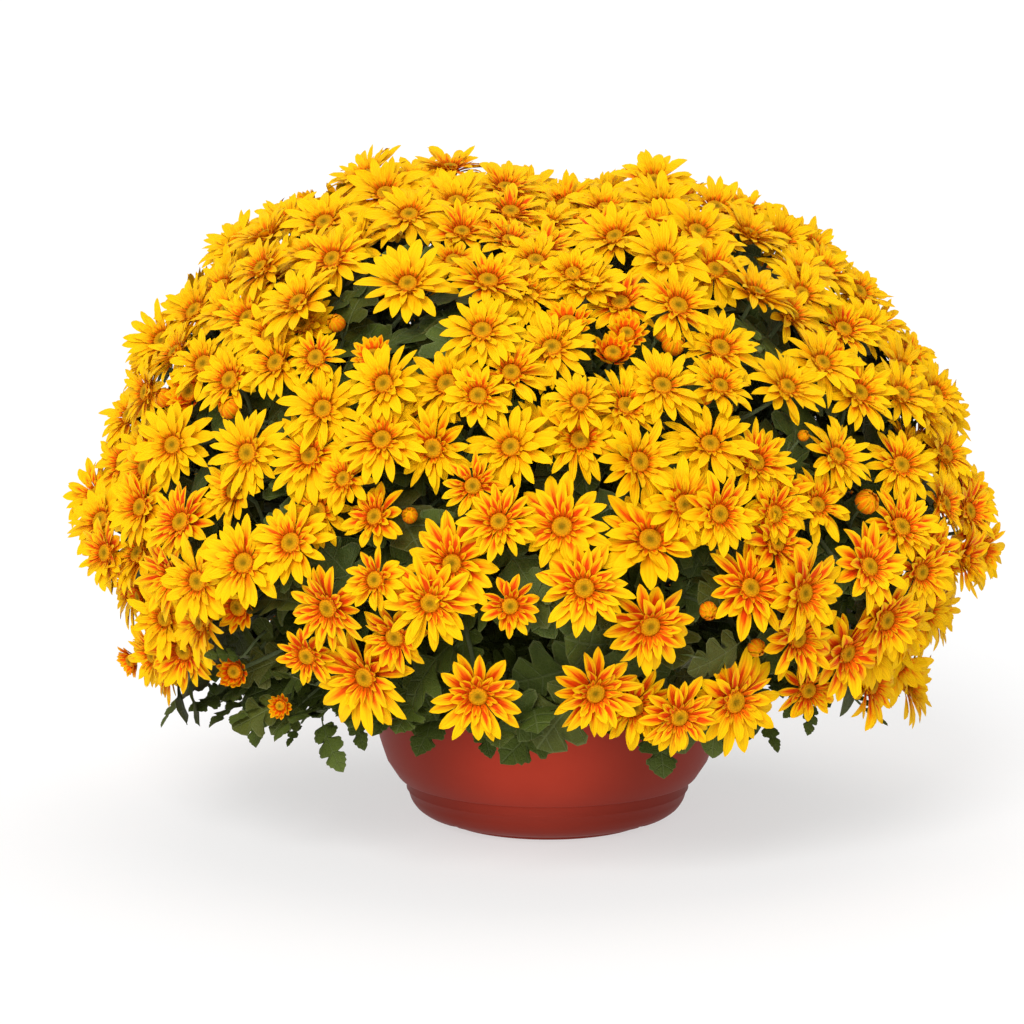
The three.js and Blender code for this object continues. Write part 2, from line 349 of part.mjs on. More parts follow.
      [216, -118.9, 182.1, 0.65, -0.68, 0.35, 23.2, 0], [196.8, -140.2, 199.4, 0.56, -0.63, 0.53, 25.4, 0],
      [176.3, -147.7, 214.3, 0.57, -0.55, 0.61, 6.6, 3],
    ] },
    { at: [161.2, -78.2, 204.8], heads: [
      [198.6, -115.2, 230.8, 0.58, -0.7, 0.41, 23.6, 0], [173.7, -122.6, 272.9, 0.54, -0.58, 0.61, 26.2, 0],
      [203, -86.8, 268.7, 0.57, -0.44, 0.7, 25.4, 0], [208, -86.8, 237.7, 0.77, -0.43, 0.46, 25.6, 0],
      [217, -69, 256.9, 0.8, -0.42, 0.42, 23.5, 0],
    ] },
    { at: [182, -60, 174], heads: [
      [254, -40.6, 169.2, 0.91, -0.4, -0.1, 23.2, 0], [232.4, -63.4, 230.6, 0.82, -0.44, 0.38, 26.2, 0],
      [246.7, -37.9, 202.6, 0.82, -0.41, 0.4, 24.7, 0], [244.3, -60.9, 195.6, 0.81, -0.41, 0.41, 25.8, 0],
      [236.4, -84.9, 172, 0.88, -0.47, 0.05, 24.2, 0], [222.1, -86, 202.7, 0.88, -0.33, 0.35, 22.6, 0],
    ] },
    { at: [178.9, -40.6, 202], heads: [
      [231.1, -25.8, 262.3, 0.74, -0.31, 0.6, 24.0, 0], [237.5, -17.7, 248.8, 0.83, -0.44, 0.34, 23.6, 0],
      [232.1, -36.4, 230.2, 0.94, -0.32, 0.13, 26.3, 0],
    ] },
  ] },
  { name: "flowering_shoot_12", foot: [59.7, 23.4], fork: [130.3, 45.2, 150], branches: [
    { at: [163.4, 83.3, 188.1], heads: [
      [202.7, 143.9, 194.7, 0.63, 0.41, 0.66, 23.2, 0], [211.1, 107.9, 218.7, 0.83, 0.45, 0.33, 26.4, 0],
      [222.2, 97, 205.2, 0.69, 0.57, 0.44, 5.2, 3], [219, 63.3, 256.7, 0.9, 0.35, 0.27, 27.1, 0],
      [194.2, 82.3, 283.2, 0.77, 0.43, 0.47, 25.5, 0],
    ] },
    { at: [172.8, 51.1, 207.4], heads: [
      [196.6, 48.8, 290.2, 0.59, 0.45, 0.67, 25.0, 0], [231.7, 23.6, 255.5, 0.91, 0.38, 0.14, 26.9, 0],
      [229.2, 53, 222, 0.95, 0.29, 0.15, 26.6, 0], [216.6, 27.7, 280.9, 0.72, 0.17, 0.67, 4.7, 3],
      [188, 139.8, 234.4, 0.67, 0.64, 0.38, 25.3, 0], [196.5, 104.9, 257.6, 0.75, 0.31, 0.58, 27.5, 0],
    ] },
    { at: [174.4, 66.9, 148], heads: [
      [230.5, 80.7, 144.5, 0.9, 0.4, -0.17, 24.0, 0], [200.8, 60.7, 101.4, 0.9, 0.4, -0.15, 27.0, 0],
      [189.4, 105.5, 104.8, 0.89, 0.45, 0.06, 22.8, 0], [242.3, 72.4, 187.6, 0.95, 0.09, 0.29, 26.4, 0],
      [206.5, 118.8, 142.8, 0.8, 0.57, -0.18, 25.4, 0], [224.3, 103.6, 174.2, 0.85, 0.39, 0.36, 25.6, 0],
    ] },
    { at: [189.3, 27.2, 155.9], heads: [
      [240, 18.2, 206.6, 0.89, 0.01, 0.46, 25.6, 0], [244.6, 39.4, 145.4, 0.97, 0.14, -0.19, 23.8, 0],
      [212.6, 20.8, 113.3, 0.99, 0.08, -0.15, 23.1, 0], [252, -2, 174, 1, -0.01, -0.03, 25.0, 0],
    ] },
  ] },
  { name: "flowering_shoot_13", foot: [8.6, 65.1], fork: [54.3, 126.1, 150], branches: [
    { at: [108.3, 144.5, 132.7], heads: [
      [184.8, 156.3, 137.4, 0.68, 0.71, -0.17, 23.3, 0], [123.9, 185.1, 115.7, 0.51, 0.85, -0.15, 23.6, 0],
      [162.7, 144.4, 92.2, 0.68, 0.71, -0.16, 25.5, 0], [156.9, 173.9, 123.8, 0.69, 0.71, -0.17, 23.9, 0],
    ] },
    { at: [58.2, 178.4, 182.3], heads: [
      [36.2, 239.5, 186.7, 0.09, 0.91, 0.41, 25.6, 0], [41, 229.2, 227.5, 0.08, 0.85, 0.53, 26.0, 0],
      [97.2, 212.7, 239.3, 0.39, 0.9, 0.2, 22.8, 0], [76.6, 229.4, 191.6, 0.21, 0.93, 0.3, 26.3, 0],
    ] },
    { at: [59.9, 172, 136.9], heads: [
      [70.8, 211.2, 116.5, 0.07, 0.98, -0.19, 23.1, 0], [97.7, 220.2, 147.8, 0.42, 0.89, -0.18, 22.7, 0],
      [30.8, 228.6, 145.1, 0.05, 0.99, -0.16, 26.0, 0], [37.2, 206.7, 91.4, 0.32, 0.93, -0.19, 24.4, 0],
      [65.6, 239.4, 158.8, 0.14, 0.98, -0.15, 23.5, 0], [94.4, 192.6, 90.1, 0.38, 0.91, -0.16, 22.5, 0],
    ] },
    { at: [107.4, 158.8, 168], heads: [
      [147.7, 195.2, 210.7, 0.55, 0.73, 0.4, 25.4, 0], [118.1, 214.9, 186.4, 0.38, 0.82, 0.42, 25.1, 0],
      [163.3, 192.7, 169.6, 0.74, 0.67, -0.08, 24.1, 0], [177.9, 169.6, 210.5, 0.58, 0.72, 0.37, 10.6, 1],
      [187.4, 166.6, 174.1, 0.7, 0.68, 0.22, 24.6, 0], [135, 206.7, 153.6, 0.4, 0.9, -0.15, 26.0, 0],
    ] },
  ] },
  { name: "flowering_shoot_14", foot: [-5.6, 62.2], fork: [-41.4, 148.7, 125], branches: [
    { at: [-40.1, 231, 150.5], heads: [
      [-35.7, 240.5, 181.1, -0.14, 0.93, 0.33, 26.7, 0], [-142.4, 206, 147.2, -0.55, 0.82, -0.13, 25.3, 0],
      [-7.6, 237.9, 196.8, 0.06, 0.88, 0.47, 25.5, 0], [-138.8, 189.4, 121.7, -0.64, 0.75, -0.16, 5.5, 3],
      [-11.1, 214.5, 98.8, -0.07, 0.98, -0.16, 22.8, 0], [-16.5, 242.1, 154.4, 0.08, 0.98, -0.17, 26.1, 0],
      [-103.9, 222.8, 161, -0.2, 0.96, -0.18, 23.4, 0],
    ] },
    { at: [-18.8, 202.1, 131], heads: [
      [-47.7, 198.4, 92.5, -0.14, 0.98, -0.16, 26.6, 0], [-60, 228.6, 135.8, -0.03, 0.99, -0.16, 23.9, 0],
      [-109.4, 223.1, 210.3, -0.15, 0.89, 0.43, 22.9, 0], [2.9, 229.5, 125.7, -0.23, 0.96, -0.16, 23.9, 0],
      [-69.1, 236.8, 182.2, 0, 0.95, 0.31, 26.5, 0],
    ] },
    { at: [-162.3, 177.5, 149], heads: [
      [-128.5, 188.1, 106.7, -0.35, 0.92, -0.16, 23.9, 0], [-133.1, 226.9, 180.4, -0.31, 0.86, 0.41, 24.8, 0],
      [-82.3, 202, 107.2, -0.41, 0.9, -0.17, 24.2, 0],
    ] },
  ] },
  { name: "flowering_shoot_15", foot: [-55.7, 31.6], fork: [-125.8, 87.7, 130], branches: [
    { at: [-172.5, 82.8, 195.1], heads: [
      [-217.1, 128.3, 222.2, -0.74, 0.54, 0.41, 23.2, 0], [-222.4, 92.2, 246.4, -0.87, 0.18, 0.46, 24.2, 0],
      [-227, 133.6, 190.8, -0.71, 0.68, 0.18, 4.7, 3], [-164.4, 183.2, 223.9, -0.32, 0.81, 0.49, 12.0, 1],
      [-180.5, 149.2, 268.6, -0.65, 0.57, 0.5, 25.1, 0], [-234.7, 117, 183.3, -0.78, 0.46, 0.42, 24.7, 0],
      [-152.6, 203.6, 197.6, -0.48, 0.74, 0.48, 26.7, 0],
    ] },
    { at: [-161.8, 132.4, 136.1], heads: [
      [-161.2, 145, 89.6, -0.74, 0.65, -0.19, 25.8, 0], [-188.4, 156, 127.9, -0.55, 0.82, -0.15, 22.5, 0],
      [-146.7, 178.7, 115.2, -0.76, 0.63, -0.15, 3.7, 3], [-210.4, 146.4, 208.4, -0.55, 0.76, 0.36, 4.7, 3],
    ] },
    { at: [-142.4, 138.1, 166.4], heads: [
      [-217.8, 157, 177, -0.8, 0.6, 0.06, 26.8, 0], [-162.3, 182.4, 126, -0.54, 0.83, -0.16, 24.9, 0],
      [-168.7, 162.8, 116.9, -0.77, 0.61, -0.18, 5.2, 3], [-182, 176.9, 165.2, -0.62, 0.77, -0.17, 24.5, 0],
      [-195.3, 167.3, 215, -0.72, 0.32, 0.62, 22.8, 0], [-201.2, 117.4, 268, -0.82, 0.3, 0.49, 25.5, 0],
    ] },
    { at: [-179.8, 62.5, 160.8], heads: [
      [-195.7, 118.8, 101.3, -0.73, 0.64, -0.22, 23.3, 0], [-207.4, 81, 91.9, -0.92, 0.34, -0.17, 24.3, 0],
      [-221, 97.6, 119.6, -0.87, 0.47, -0.16, 24.9, 0], [-217.1, 124, 141.3, -0.78, 0.61, -0.15, 23.9, 0],
    ] },
  ] },
  { name: "flowering_shoot_16", foot: [-55.2, 17.1], fork: [-144.8, 31.6, 139.3], branches: [
    { at: [-228.6, 62.4, 150.9], heads: [
      [-229.4, 63.7, 117.9, -0.9, 0.41, -0.15, 23.8, 0], [-247, 34.6, 139.5, -0.95, 0.31, 0.03, 24.7, 0],
      [-245.6, 48.8, 134.5, -0.97, 0.2, 0.16, 4.5, 3], [-248.1, 82.6, 207.4, -0.71, 0.24, 0.66, 26.0, 0],
      [-269.6, -1.1, 172.9, -0.98, 0.07, -0.17, 12.9, 1], [-246.8, -15.8, 245.6, -0.73, -0.35, 0.59, 23.6, 0],
      [-218.4, 49.7, 90.1, -0.95, 0.24, -0.21, 11.1, 1], [-254.4, 29, 215.5, -0.96, 0.16, 0.22, 23.3, 0],
    ] },
    { at: [-147.1, -4.9, 181.5], heads: [
      [-271.1, 36.6, 171.7, -0.97, 0.17, -0.16, 26.8, 0], [-254.3, -34, 220.9, -0.83, -0.46, 0.32, 25.4, 0],
    ] },
    { at: [-190.5, 28.1, 105.9], heads: [
      [-244.2, 77.7, 150.7, -0.97, 0.18, -0.16, 26.9, 0], [-246.4, -49.9, 104.2, -0.82, -0.55, -0.17, 9.0, 1],
      [-234.9, 19.6, 96.5, -0.96, 0.23, -0.16, 27.4, 0], [-246.2, 24.3, 116.9, -0.88, 0.46, -0.16, 4.6, 3],
    ] },
    { at: [-213.7, -6.2, 152], heads: [
      [-239.7, 25.4, 244.7, -0.83, 0.23, 0.5, 24.0, 0], [-259.6, -39.6, 165.4, -0.98, -0.07, -0.18, 22.7, 0],
      [-271.5, -17.6, 198.8, -0.75, -0.47, 0.46, 24.7, 0], [-263, -63.1, 190.7, -0.78, -0.4, 0.49, 25.4, 0],
      [-258.7, -5.4, 139.1, -0.99, 0.07, -0.15, 25.8, 0], [-238.3, 56.2, 234.6, -0.83, 0.25, 0.49, 27.4, 0],
      [-231.5, -19, 92.5, -0.95, -0.26, -0.16, 23.0, 0],
    ] },
  ] },
];

// Leaves: [name, base, tip, the way the upper side faces, half width as a share of length,
// droop as a share of length]. Measured from the pot's axis.
const LEAVES = [
  ["leaf_front_left", [-61, -128, 95.6], [-75.3, -152, 70.2], [-0.28, -0.84, 0.45], 0.46, 0.12],
  ["leaf_front_mid_left", [-37.2, -130, 91.4], [-33.1, -150, 68.6], [-0.18, -0.87, 0.45], 0.40, 0.10],
  ["leaf_front_mid", [9.3, -132, 94.1], [-28, -156, 67.1], [0.05, -0.89, 0.45], 0.50, 0.14],
  ["leaf_front_right", [59.9, -128, 90.9], [64.4, -150, 57.1], [0.28, -0.85, 0.45], 0.52, 0.12],
  ["leaf_front_far_left", [-94.8, -120, 96.2], [-100.6, -135, 78.5], [-0.42, -0.78, 0.46], 0.45, 0.10],
  ["leaf_left_1", [-130.3, -111, 83.7], [-116.9, -134, 57.2], [-0.54, -0.69, 0.48], 0.46, 0.10],
  ["leaf_left_2", [-109.8, -98, 91], [-105.4, -120, 66.4], [-0.48, -0.74, 0.47], 0.45, 0.10],
  ["leaf_left_3", [-165.9, -85, 88.8], [-168.3, -105, 64.9], [-0.64, -0.59, 0.49], 0.55, 0.10],
  ["leaf_left_4", [-177.6, -65, 84.6], [-196.7, -85, 72.3], [-0.69, -0.53, 0.50], 0.50, 0.10],
  ["leaf_left_5", [-189.1, -50, 87.5], [-203.3, -65, 82.8], [-0.72, -0.47, 0.51], 0.40, 0.08],
  ["leaf_left_6", [-215.4, -30, 82.1], [-228, -45, 63.6], [-0.76, -0.39, 0.52], 0.22, 0.05],
  ["leaf_left_7", [-142, -100, 79.1], [-150.2, -110, 66.6], [-0.57, -0.66, 0.48], 0.36, 0.05],
  ["leaf_left_8", [-172.7, -152, 127.2], [-193.2, -165, 130.6], [-0.54, -0.69, 0.48], 0.45, 0.10],
  ["leaf_left_9", [-169.9, -125, 120.4], [-191.3, -150, 128.9], [-0.56, -0.67, 0.48], 0.42, 0.10],
  ["leaf_right_1", [118.4, -118, 88.8], [129.5, -135, 68.7], [0.48, -0.74, 0.47], 0.26, 0.08],
  ["leaf_right_2", [151.4, -95, 90.9], [147.7, -110, 73.1], [0.60, -0.64, 0.48], 0.48, 0.08],
  ["leaf_right_3", [143.4, -110, 98.8], [132.8, -125, 86.8], [0.55, -0.68, 0.48], 0.45, 0.08],
  ["leaf_right_4", [177.4, -60, 87.2], [193.6, -70, 78.6], [0.70, -0.51, 0.50], 0.24, 0.05],
  ["leaf_right_5", [184.2, -50, 77.9], [198.9, -58, 67.6], [0.72, -0.47, 0.51], 0.20, 0.05],
  ["leaf_right_6", [190.8, -40, 89], [206.4, -50, 83.3], [0.74, -0.44, 0.52], 0.35, 0.05],
  ["leaf_back_1", [128.2, -25.4, 104.5], [167.8, -33.9, 79.4], [0.80, -0.16, 0.57], 0.47, 0.10],
  ["leaf_back_2", [156.6, 31.8, 108.2], [182.3, 48.3, 86], [0.80, 0.16, 0.57], 0.48, 0.10],
  ["leaf_back_3", [128, 40, 102.4], [152.5, 56.9, 78], [0.78, 0.24, 0.57], 0.45, 0.10],
  ["leaf_back_4", [111.1, 73.1, 108], [142.7, 90.1, 79.9], [0.68, 0.45, 0.57], 0.50, 0.10],
  ["leaf_back_5", [87.8, 123, 105.7], [94.2, 157.4, 68.4], [0.48, 0.67, 0.57], 0.50, 0.10],
  ["leaf_back_6", [64.8, 127.2, 99], [84.9, 147.2, 69.3], [0.37, 0.73, 0.57], 0.51, 0.10],
  ["leaf_back_7", [12, 149.2, 106.6], [22.9, 176, 76.5], [0.07, 0.82, 0.57], 0.43, 0.10],
  ["leaf_back_8", [-7.5, 156.8, 102.2], [-17.8, 189.5, 69.7], [-0.04, 0.82, 0.57], 0.46, 0.10],
  ["leaf_back_9", [-67.9, 141.3, 107.1], [-91.1, 166.9, 72.5], [-0.36, 0.74, 0.57], 0.49, 0.10],
  ["leaf_back_10", [-95.2, 105, 106.6], [-115.8, 135.6, 86.8], [-0.55, 0.61, 0.57], 0.50, 0.10],
  ["leaf_back_11", [-115.3, 89.1, 108.4], [-129.3, 107.2, 77.3], [-0.65, 0.50, 0.57], 0.50, 0.10],
  ["leaf_back_12", [-151.1, 54.4, 107.1], [-183.6, 57.6, 73], [-0.77, 0.28, 0.57], 0.46, 0.10],
  ["leaf_back_13", [-148.1, 23.2, 107.2], [-175.1, 35.3, 73.1], [-0.81, 0.13, 0.57], 0.45, 0.10],
  ["leaf_back_14", [-132.1, -17.1, 102.2], [-154.6, -24.6, 73.3], [-0.81, -0.11, 0.57], 0.48, 0.10],
];

// half of a lobed leaf's outline: share of the length, share of the half width
const LEAF_HALF = [
  [0.0, 0.06],
  [0.16, 0.09],
  [0.27, 0.66],
  [0.38, 0.38],
  [0.55, 1.0],
  [0.63, 0.48],
  [0.8, 0.7],
  [0.87, 0.34],
];

// ---------------------------------------------------------------- helpers
const V = (a) => new THREE.Vector3(a[0], a[1], a[2]);
const UP = V([0, 0, 1]);

function meshGeometry(points, faces) {
  const g = new THREE.BufferGeometry();
  g.setAttribute("position", new THREE.Float32BufferAttribute(points.flat(), 3));
  g.setIndex(faces.flat());
  return g;
}

// a closed three.js geometry as a solid that can be joined and cut
function solid(geometry) {
  let g = geometry.clone();
  g.deleteAttribute("normal");
  g.deleteAttribute("uv");
  g = mergeVertices(g, 1e-4);
  const index = [];
  for (let i = 0; i < g.index.count; i += 3) {
    const [a, b, c] = [g.index.getX(i), g.index.getX(i + 1), g.index.getX(i + 2)];
    if (a !== b && b !== c && a !== c) index.push(a, b, c);
  }
  return new wasm.Manifold(
    new wasm.Mesh({
      numProp: 3,
      vertProperties: new Float32Array(g.attributes.position.array),
      triVerts: new Uint32Array(index),
    }),
  );
}

// the merged corners and the triangles of a closed three.js geometry
function solidFaces(geometry) {
  let g = geometry.clone();
  g.deleteAttribute("normal");
  g.deleteAttribute("uv");
  g = mergeVertices(g, 1e-4);
  const points = [];
  for (let i = 0; i < g.attributes.position.count; i++)
    points.push(new THREE.Vector3().fromBufferAttribute(g.attributes.position, i));
  const faces = [];
  for (let i = 0; i < g.index.count; i += 3)
    faces.push([g.index.getX(i), g.index.getX(i + 1), g.index.getX(i + 2)]);
  return { points, faces };
}

function geometryOf(manifold) {
  const m = manifold.getMesh();
  const points = new Float32Array(m.numVert * 3);
  for (let i = 0; i < m.numVert; i++)
    for (let k = 0; k < 3; k++) points[i * 3 + k] = m.vertProperties[i * m.numProp + k];
  const g = new THREE.BufferGeometry();
  g.setAttribute("position", new THREE.BufferAttribute(points, 3));
  g.setIndex(new THREE.BufferAttribute(new Uint32Array(m.triVerts), 1));
  return g;
}

function across(direction) {
  const d = direction.clone().normalize();
  const helper = Math.abs(d.z) < 0.85 ? new THREE.Vector3(0, 0, 1) : new THREE.Vector3(1, 0, 0);
  const a = new THREE.Vector3().crossVectors(helper, d).normalize();
  const b = new THREE.Vector3().crossVectors(d, a);
  return [a, b];
}

function ring(centre, direction, radius, sides) {
  const [a, b] = across(direction);
  const out = [];
  for (let i = 0; i < sides; i++) {
    const t = (i / sides) * Math.PI * 2;
    out.push(centre.clone().addScaledVector(a, Math.cos(t) * radius).addScaledVector(b, Math.sin(t) * radius));
  }
  return out;
}

// One shoot as a single closed surface. Limbs are tubes that start and end on the faces of
// twenty-sided knuckles, so nothing has to be joined afterwards.
class ShootSurface {
  constructor() {
    this.points = [];
    this.faces = [];
  }

  add(points) {
    const start = this.points.length;
    this.points.push(...points);
    return points.map((_, i) => start + i);
  }

  // a knuckle with one face turned towards where its own limb comes from
  knuckle(centre, radius, comesFrom) {
    const g = solidFaces(new THREE.IcosahedronGeometry(radius, 0));
    const normalOf = (f) =>
      new THREE.Vector3().add(g.points[f[0]]).add(g.points[f[1]]).add(g.points[f[2]]).normalize();
    const turn = new THREE.Quaternion().setFromUnitVectors(
      normalOf(g.faces[0]),
      comesFrom.clone().sub(centre).normalize(),
    );
    const ids = this.add(g.points.map((p) => p.clone().applyQuaternion(turn).add(centre)));
    return {
      centre,
      faces: g.faces.map((f) => ({
        ring: f.map((i) => ids[i]),
        normal: normalOf(f).applyQuaternion(turn),
        free: true,
      })),
    };
  }

  // gives each direction its own face of the knuckle, the best matches first
  share(knuckle, directions) {
    const pairs = [];
    directions.forEach((d, i) => knuckle.faces.forEach((f, j) => pairs.push([f.normal.dot(d), i, j])));
    pairs.sort((p, q) => q[0] - p[0]);
    const out = directions.map(() => null);
    for (const [, i, j] of pairs)
      if (!out[i] && knuckle.faces[j].free) {
        out[i] = knuckle.faces[j];
        knuckle.faces[j].free = false;
      }
    return out.map((f) => f.ring);
  }

  close(knuckle) {
    for (const f of knuckle.faces) if (f.free) this.faces.push(f.ring);
  }

  // the skin between two rings of points that both run anticlockwise about axis
  band(from, to, axis) {
    const [a, b] = across(axis);
    const round = (ids) => {
      const c = new THREE.Vector3();
      ids.forEach((i) => c.addScaledVector(this.points[i], 1 / ids.length));
      return ids
        .map((i) => {
          const d = this.points[i].clone().sub(c);
          return { i, t: Math.atan2(d.dot(b), d.dot(a)) };
        })
        .sort((p, q) => p.t - q.t);
    };
    const low = round(from);
    let high = round(to);
    const apart = (p) => Math.abs(Math.atan2(Math.sin(p.t - low[0].t), Math.cos(p.t - low[0].t)));
    let first = 0;
    high.forEach((p, k) => {
      if (apart(p) < apart(high[first])) first = k;
    });
    high = [...high.slice(first), ...high.slice(0, first).map((p) => ({ i: p.i, t: p.t + Math.PI * 2 }))];
    const shift = Math.round((high[0].t - low[0].t) / (Math.PI * 2)) * Math.PI * 2;
    high = high.map((p) => ({ i: p.i, t: p.t - shift }));
    const at = (list, k) => list[k % list.length].t + (k >= list.length ? Math.PI * 2 : 0);
    let i = 0;
    let j = 0;
    while (i < low.length || j < high.length) {
      const l = low[i % low.length].i;
      const h = high[j % high.length].i;
      if (i < low.length && (j >= high.length || at(low, i + 1) < at(high, j + 1))) {
        this.faces.push([l, low[(i + 1) % low.length].i, h]);
        i++;
      } else {
        this.faces.push([l, high[(j + 1) % high.length].i, h]);
        j++;
      }
    }
  }

  // a flower head on its stalk, from a face of a knuckle: the stalk opens into a shallow
  // cup, closed above by the low dome of the disc
  head(start, centre, facing, radius, kind) {
    const n = facing.clone().normalize();
    const bud = kind === 3;
    const under = bud ? radius * 1.1 : HEAD_UNDER * (kind === 0 ? 1 : 0.8);
    const rise = bud ? 0 : HEAD_RIM_RISE * (kind === 0 ? 1 : 1.5);
    const dome = bud ? radius * 0.9 : HEAD_DOME + (kind === 0 ? 0 : 1.5);
    const neck = centre.clone().addScaledVector(n, -under);
    const from = new THREE.Vector3();
    start.forEach((i) => from.addScaledVector(this.points[i], 1 / 3));
    const along = neck.clone().sub(from).normalize();
    const collar = this.add(ring(neck, along.clone().add(n).normalize(), STALK_RADIUS, 3));
    this.band(start, collar, along);
    const sides = bud ? 5 : HEAD_SIDES;
    const rim = this.add(ring(centre.clone().addScaledVector(n, rise), n, radius, sides));
    this.band(collar, rim, n);
    const [top] = this.add([centre.clone().addScaledVector(n, dome)]);
    rim.forEach((p, k) => this.faces.push([p, rim[(k + 1) % sides], top]));
  }

  geometry() {
    return meshGeometry(
      this.points.map((p) => p.toArray()),
      this.faces,
    );
  }
}

function prism(bottom, top) {
  const n = bottom.length;
  const faces = [];
  for (let k = 1; k + 1 < n; k++) faces.push([0, k + 1, k], [n, n + k, n + k + 1]);
  for (let k = 0; k < n; k++) {
    const j = (k + 1) % n;
    faces.push([k, j, j + n], [k, j + n, k + n]);
  }
  return solid(meshGeometry([...bottom, ...top].map((p) => p.toArray()), faces));
}

// ---------------------------------------------------------------- materials
const potPlastic = new THREE.MeshStandardMaterial({ color: 0x9c3528, roughness: 0.45, metalness: 0 });
const soilMatter = new THREE.MeshStandardMaterial({ color: 0x2e2118, roughness: 0.95, metalness: 0 });
const petalTones = [0xffc40c, 0xfbb110, 0xf6a012, 0xf7b90d].map(
  (color) => new THREE.MeshStandardMaterial({ color, roughness: 0.6, metalness: 0 }),
);
const leafTones = [0x3f6b2e, 0x365f2b, 0x4b7735].map(
  (color) => new THREE.MeshStandardMaterial({ color, roughness: 0.55, metalness: 0 }),
);

const plant = new THREE.Group();
plant.name = "pot_chrysanthemum";
function add(name, geometry, material) {
  const mesh = new THREE.Mesh(geometry, material);
  mesh.name = name;
  plant.add(mesh);
  return mesh;
}

// ---------------------------------------------------------------- pot
function lathe(profile, sides) {
  const g = new THREE.LatheGeometry(
    profile.map(([r, z]) => new THREE.Vector2(r, z)),
    sides,
  );
  g.rotateX(Math.PI / 2); // the lathe's axis from Y to Z
  return g;
}

// the inside follows the outside, in fewer steps
const inside = [4, 6, 8, 11, 13, 15].map((i) => [POT_OUTSIDE[i][0] - POT_WALL, POT_OUTSIDE[i][1]]);
const potProfile = [
  [0, FOOT_HEIGHT],
  [FOOT_INNER_RADIUS, FOOT_HEIGHT],
  [FOOT_INNER_RADIUS + 0.6, 0],
  ...POT_OUTSIDE,
  [POT_RIM_RADIUS - POT_WALL - 2.4, POT_HEIGHT],
  ...inside.slice().reverse(),
  [70, POT_FLOOR_TOP + 0.4],
  [0, POT_FLOOR_TOP],
];
let pot = solid(lathe(potProfile, POT_SIDES));
for (let i = 0; i < FOOT_NOTCHES; i++) {
  // notches in the foot ring let water run out; one is at the back
  const g = new THREE.BoxGeometry(20, FOOT_NOTCH_WIDTH, 2 * (FOOT_HEIGHT - 0.3));
  g.translate(FOOT_INNER_RADIUS + 4, 0, 0);
  g.rotateZ(Math.PI / 2 + (i / FOOT_NOTCHES) * Math.PI * 2);
  pot = pot.subtract(solid(g));
}
for (let i = 0; i < DRAIN_HOLES; i++) {
  const g = new THREE.CylinderGeometry(DRAIN_HOLE_RADIUS, DRAIN_HOLE_RADIUS, 12, 10);
  g.rotateX(Math.PI / 2);
  g.translate(DRAIN_CIRCLE_RADIUS, 0, 4);
  g.rotateZ(((i + 0.5) / DRAIN_HOLES) * Math.PI * 2);
  pot = pot.subtract(solid(g));
}
add("pot", geometryOf(pot), potPlastic);

// ---------------------------------------------------------------- soil
const soilProfile = [
  [0, POT_FLOOR_TOP + GAP],
  [70 - 0.4, POT_FLOOR_TOP + 0.4 + GAP],
  ...inside
    .filter(([, z]) => z > POT_FLOOR_TOP + 1 && z < SOIL_TOP - 4)
    .map(([r, z]) => [r - GAP * 1.6, z]),
  [inside.find(([, z]) => z > SOIL_TOP)[0] - 2.2, SOIL_TOP],
  [60, SOIL_TOP + SOIL_CROWN * 0.7],
  [0, SOIL_TOP + SOIL_CROWN],
];
let soil = solid(lathe(soilProfile, POT_SIDES / 2));

// ---------------------------------------------------------------- flowering shoots
// how far each head may spread: blooms overlap in life, but here each keeps clear of its
// neighbours, except the ones that set the plant's overall size
const all = [];
for (const shoot of SHOOTS)
  for (const branch of shoot.branches) for (const h of branch.heads) all.push({ h, at: V(h), reach: h[6] });
for (const one of all) {
  if (one.h[7] === 3) continue;
  for (const other of all) {
    if (other === one) continue;
    const apart = one.at.distanceTo(other.at);
    const room = other.h[7] === 3 ? apart - other.h[6] * 1.2 : apart / 2;
    one.reach = Math.min(one.reach, Math.max(6, room - HEAD_CLEARANCE));
  }
}
for (const axis of [[1, 0, 0], [-1, 0, 0], [0, 1, 0], [0, -1, 0], [0, 0, 1]].map(V)) {
  const spread = (one) => {
    const n = V(one.h.slice(3, 6)).normalize();
    return one.at.dot(axis) + one.h[6] * Math.sqrt(1 - n.dot(axis) ** 2) + HEAD_RIM_RISE * n.dot(axis);
  };
  const edge = all.filter((o) => o.h[7] === 0).sort((p, q) => spread(q) - spread(p))[0];
  edge.reach = edge.h[6];
  for (const other of all)
    if (other !== edge) {
      const room = edge.at.distanceTo(other.at) - edge.reach - HEAD_CLEARANCE;
      if (other.reach > room) other.reach = Math.max(5, room);
    }
}

const reachOf = new Map(all.map((o) => [o.h, o.reach]));

function stemRings(shoot) {
  const root = V([shoot.foot[0], shoot.foot[1], SOIL_TOP - STEM_ROOTED_DEPTH]);
  const collar = V([shoot.foot[0], shoot.foot[1], SOIL_TOP + SOIL_CROWN + 2.5]);
  const fork = V(shoot.fork);
  const rise = collar.clone().lerp(fork, 0.5).add(V([0, 0, 5]));
  return { root, collar, fork, rise };
}

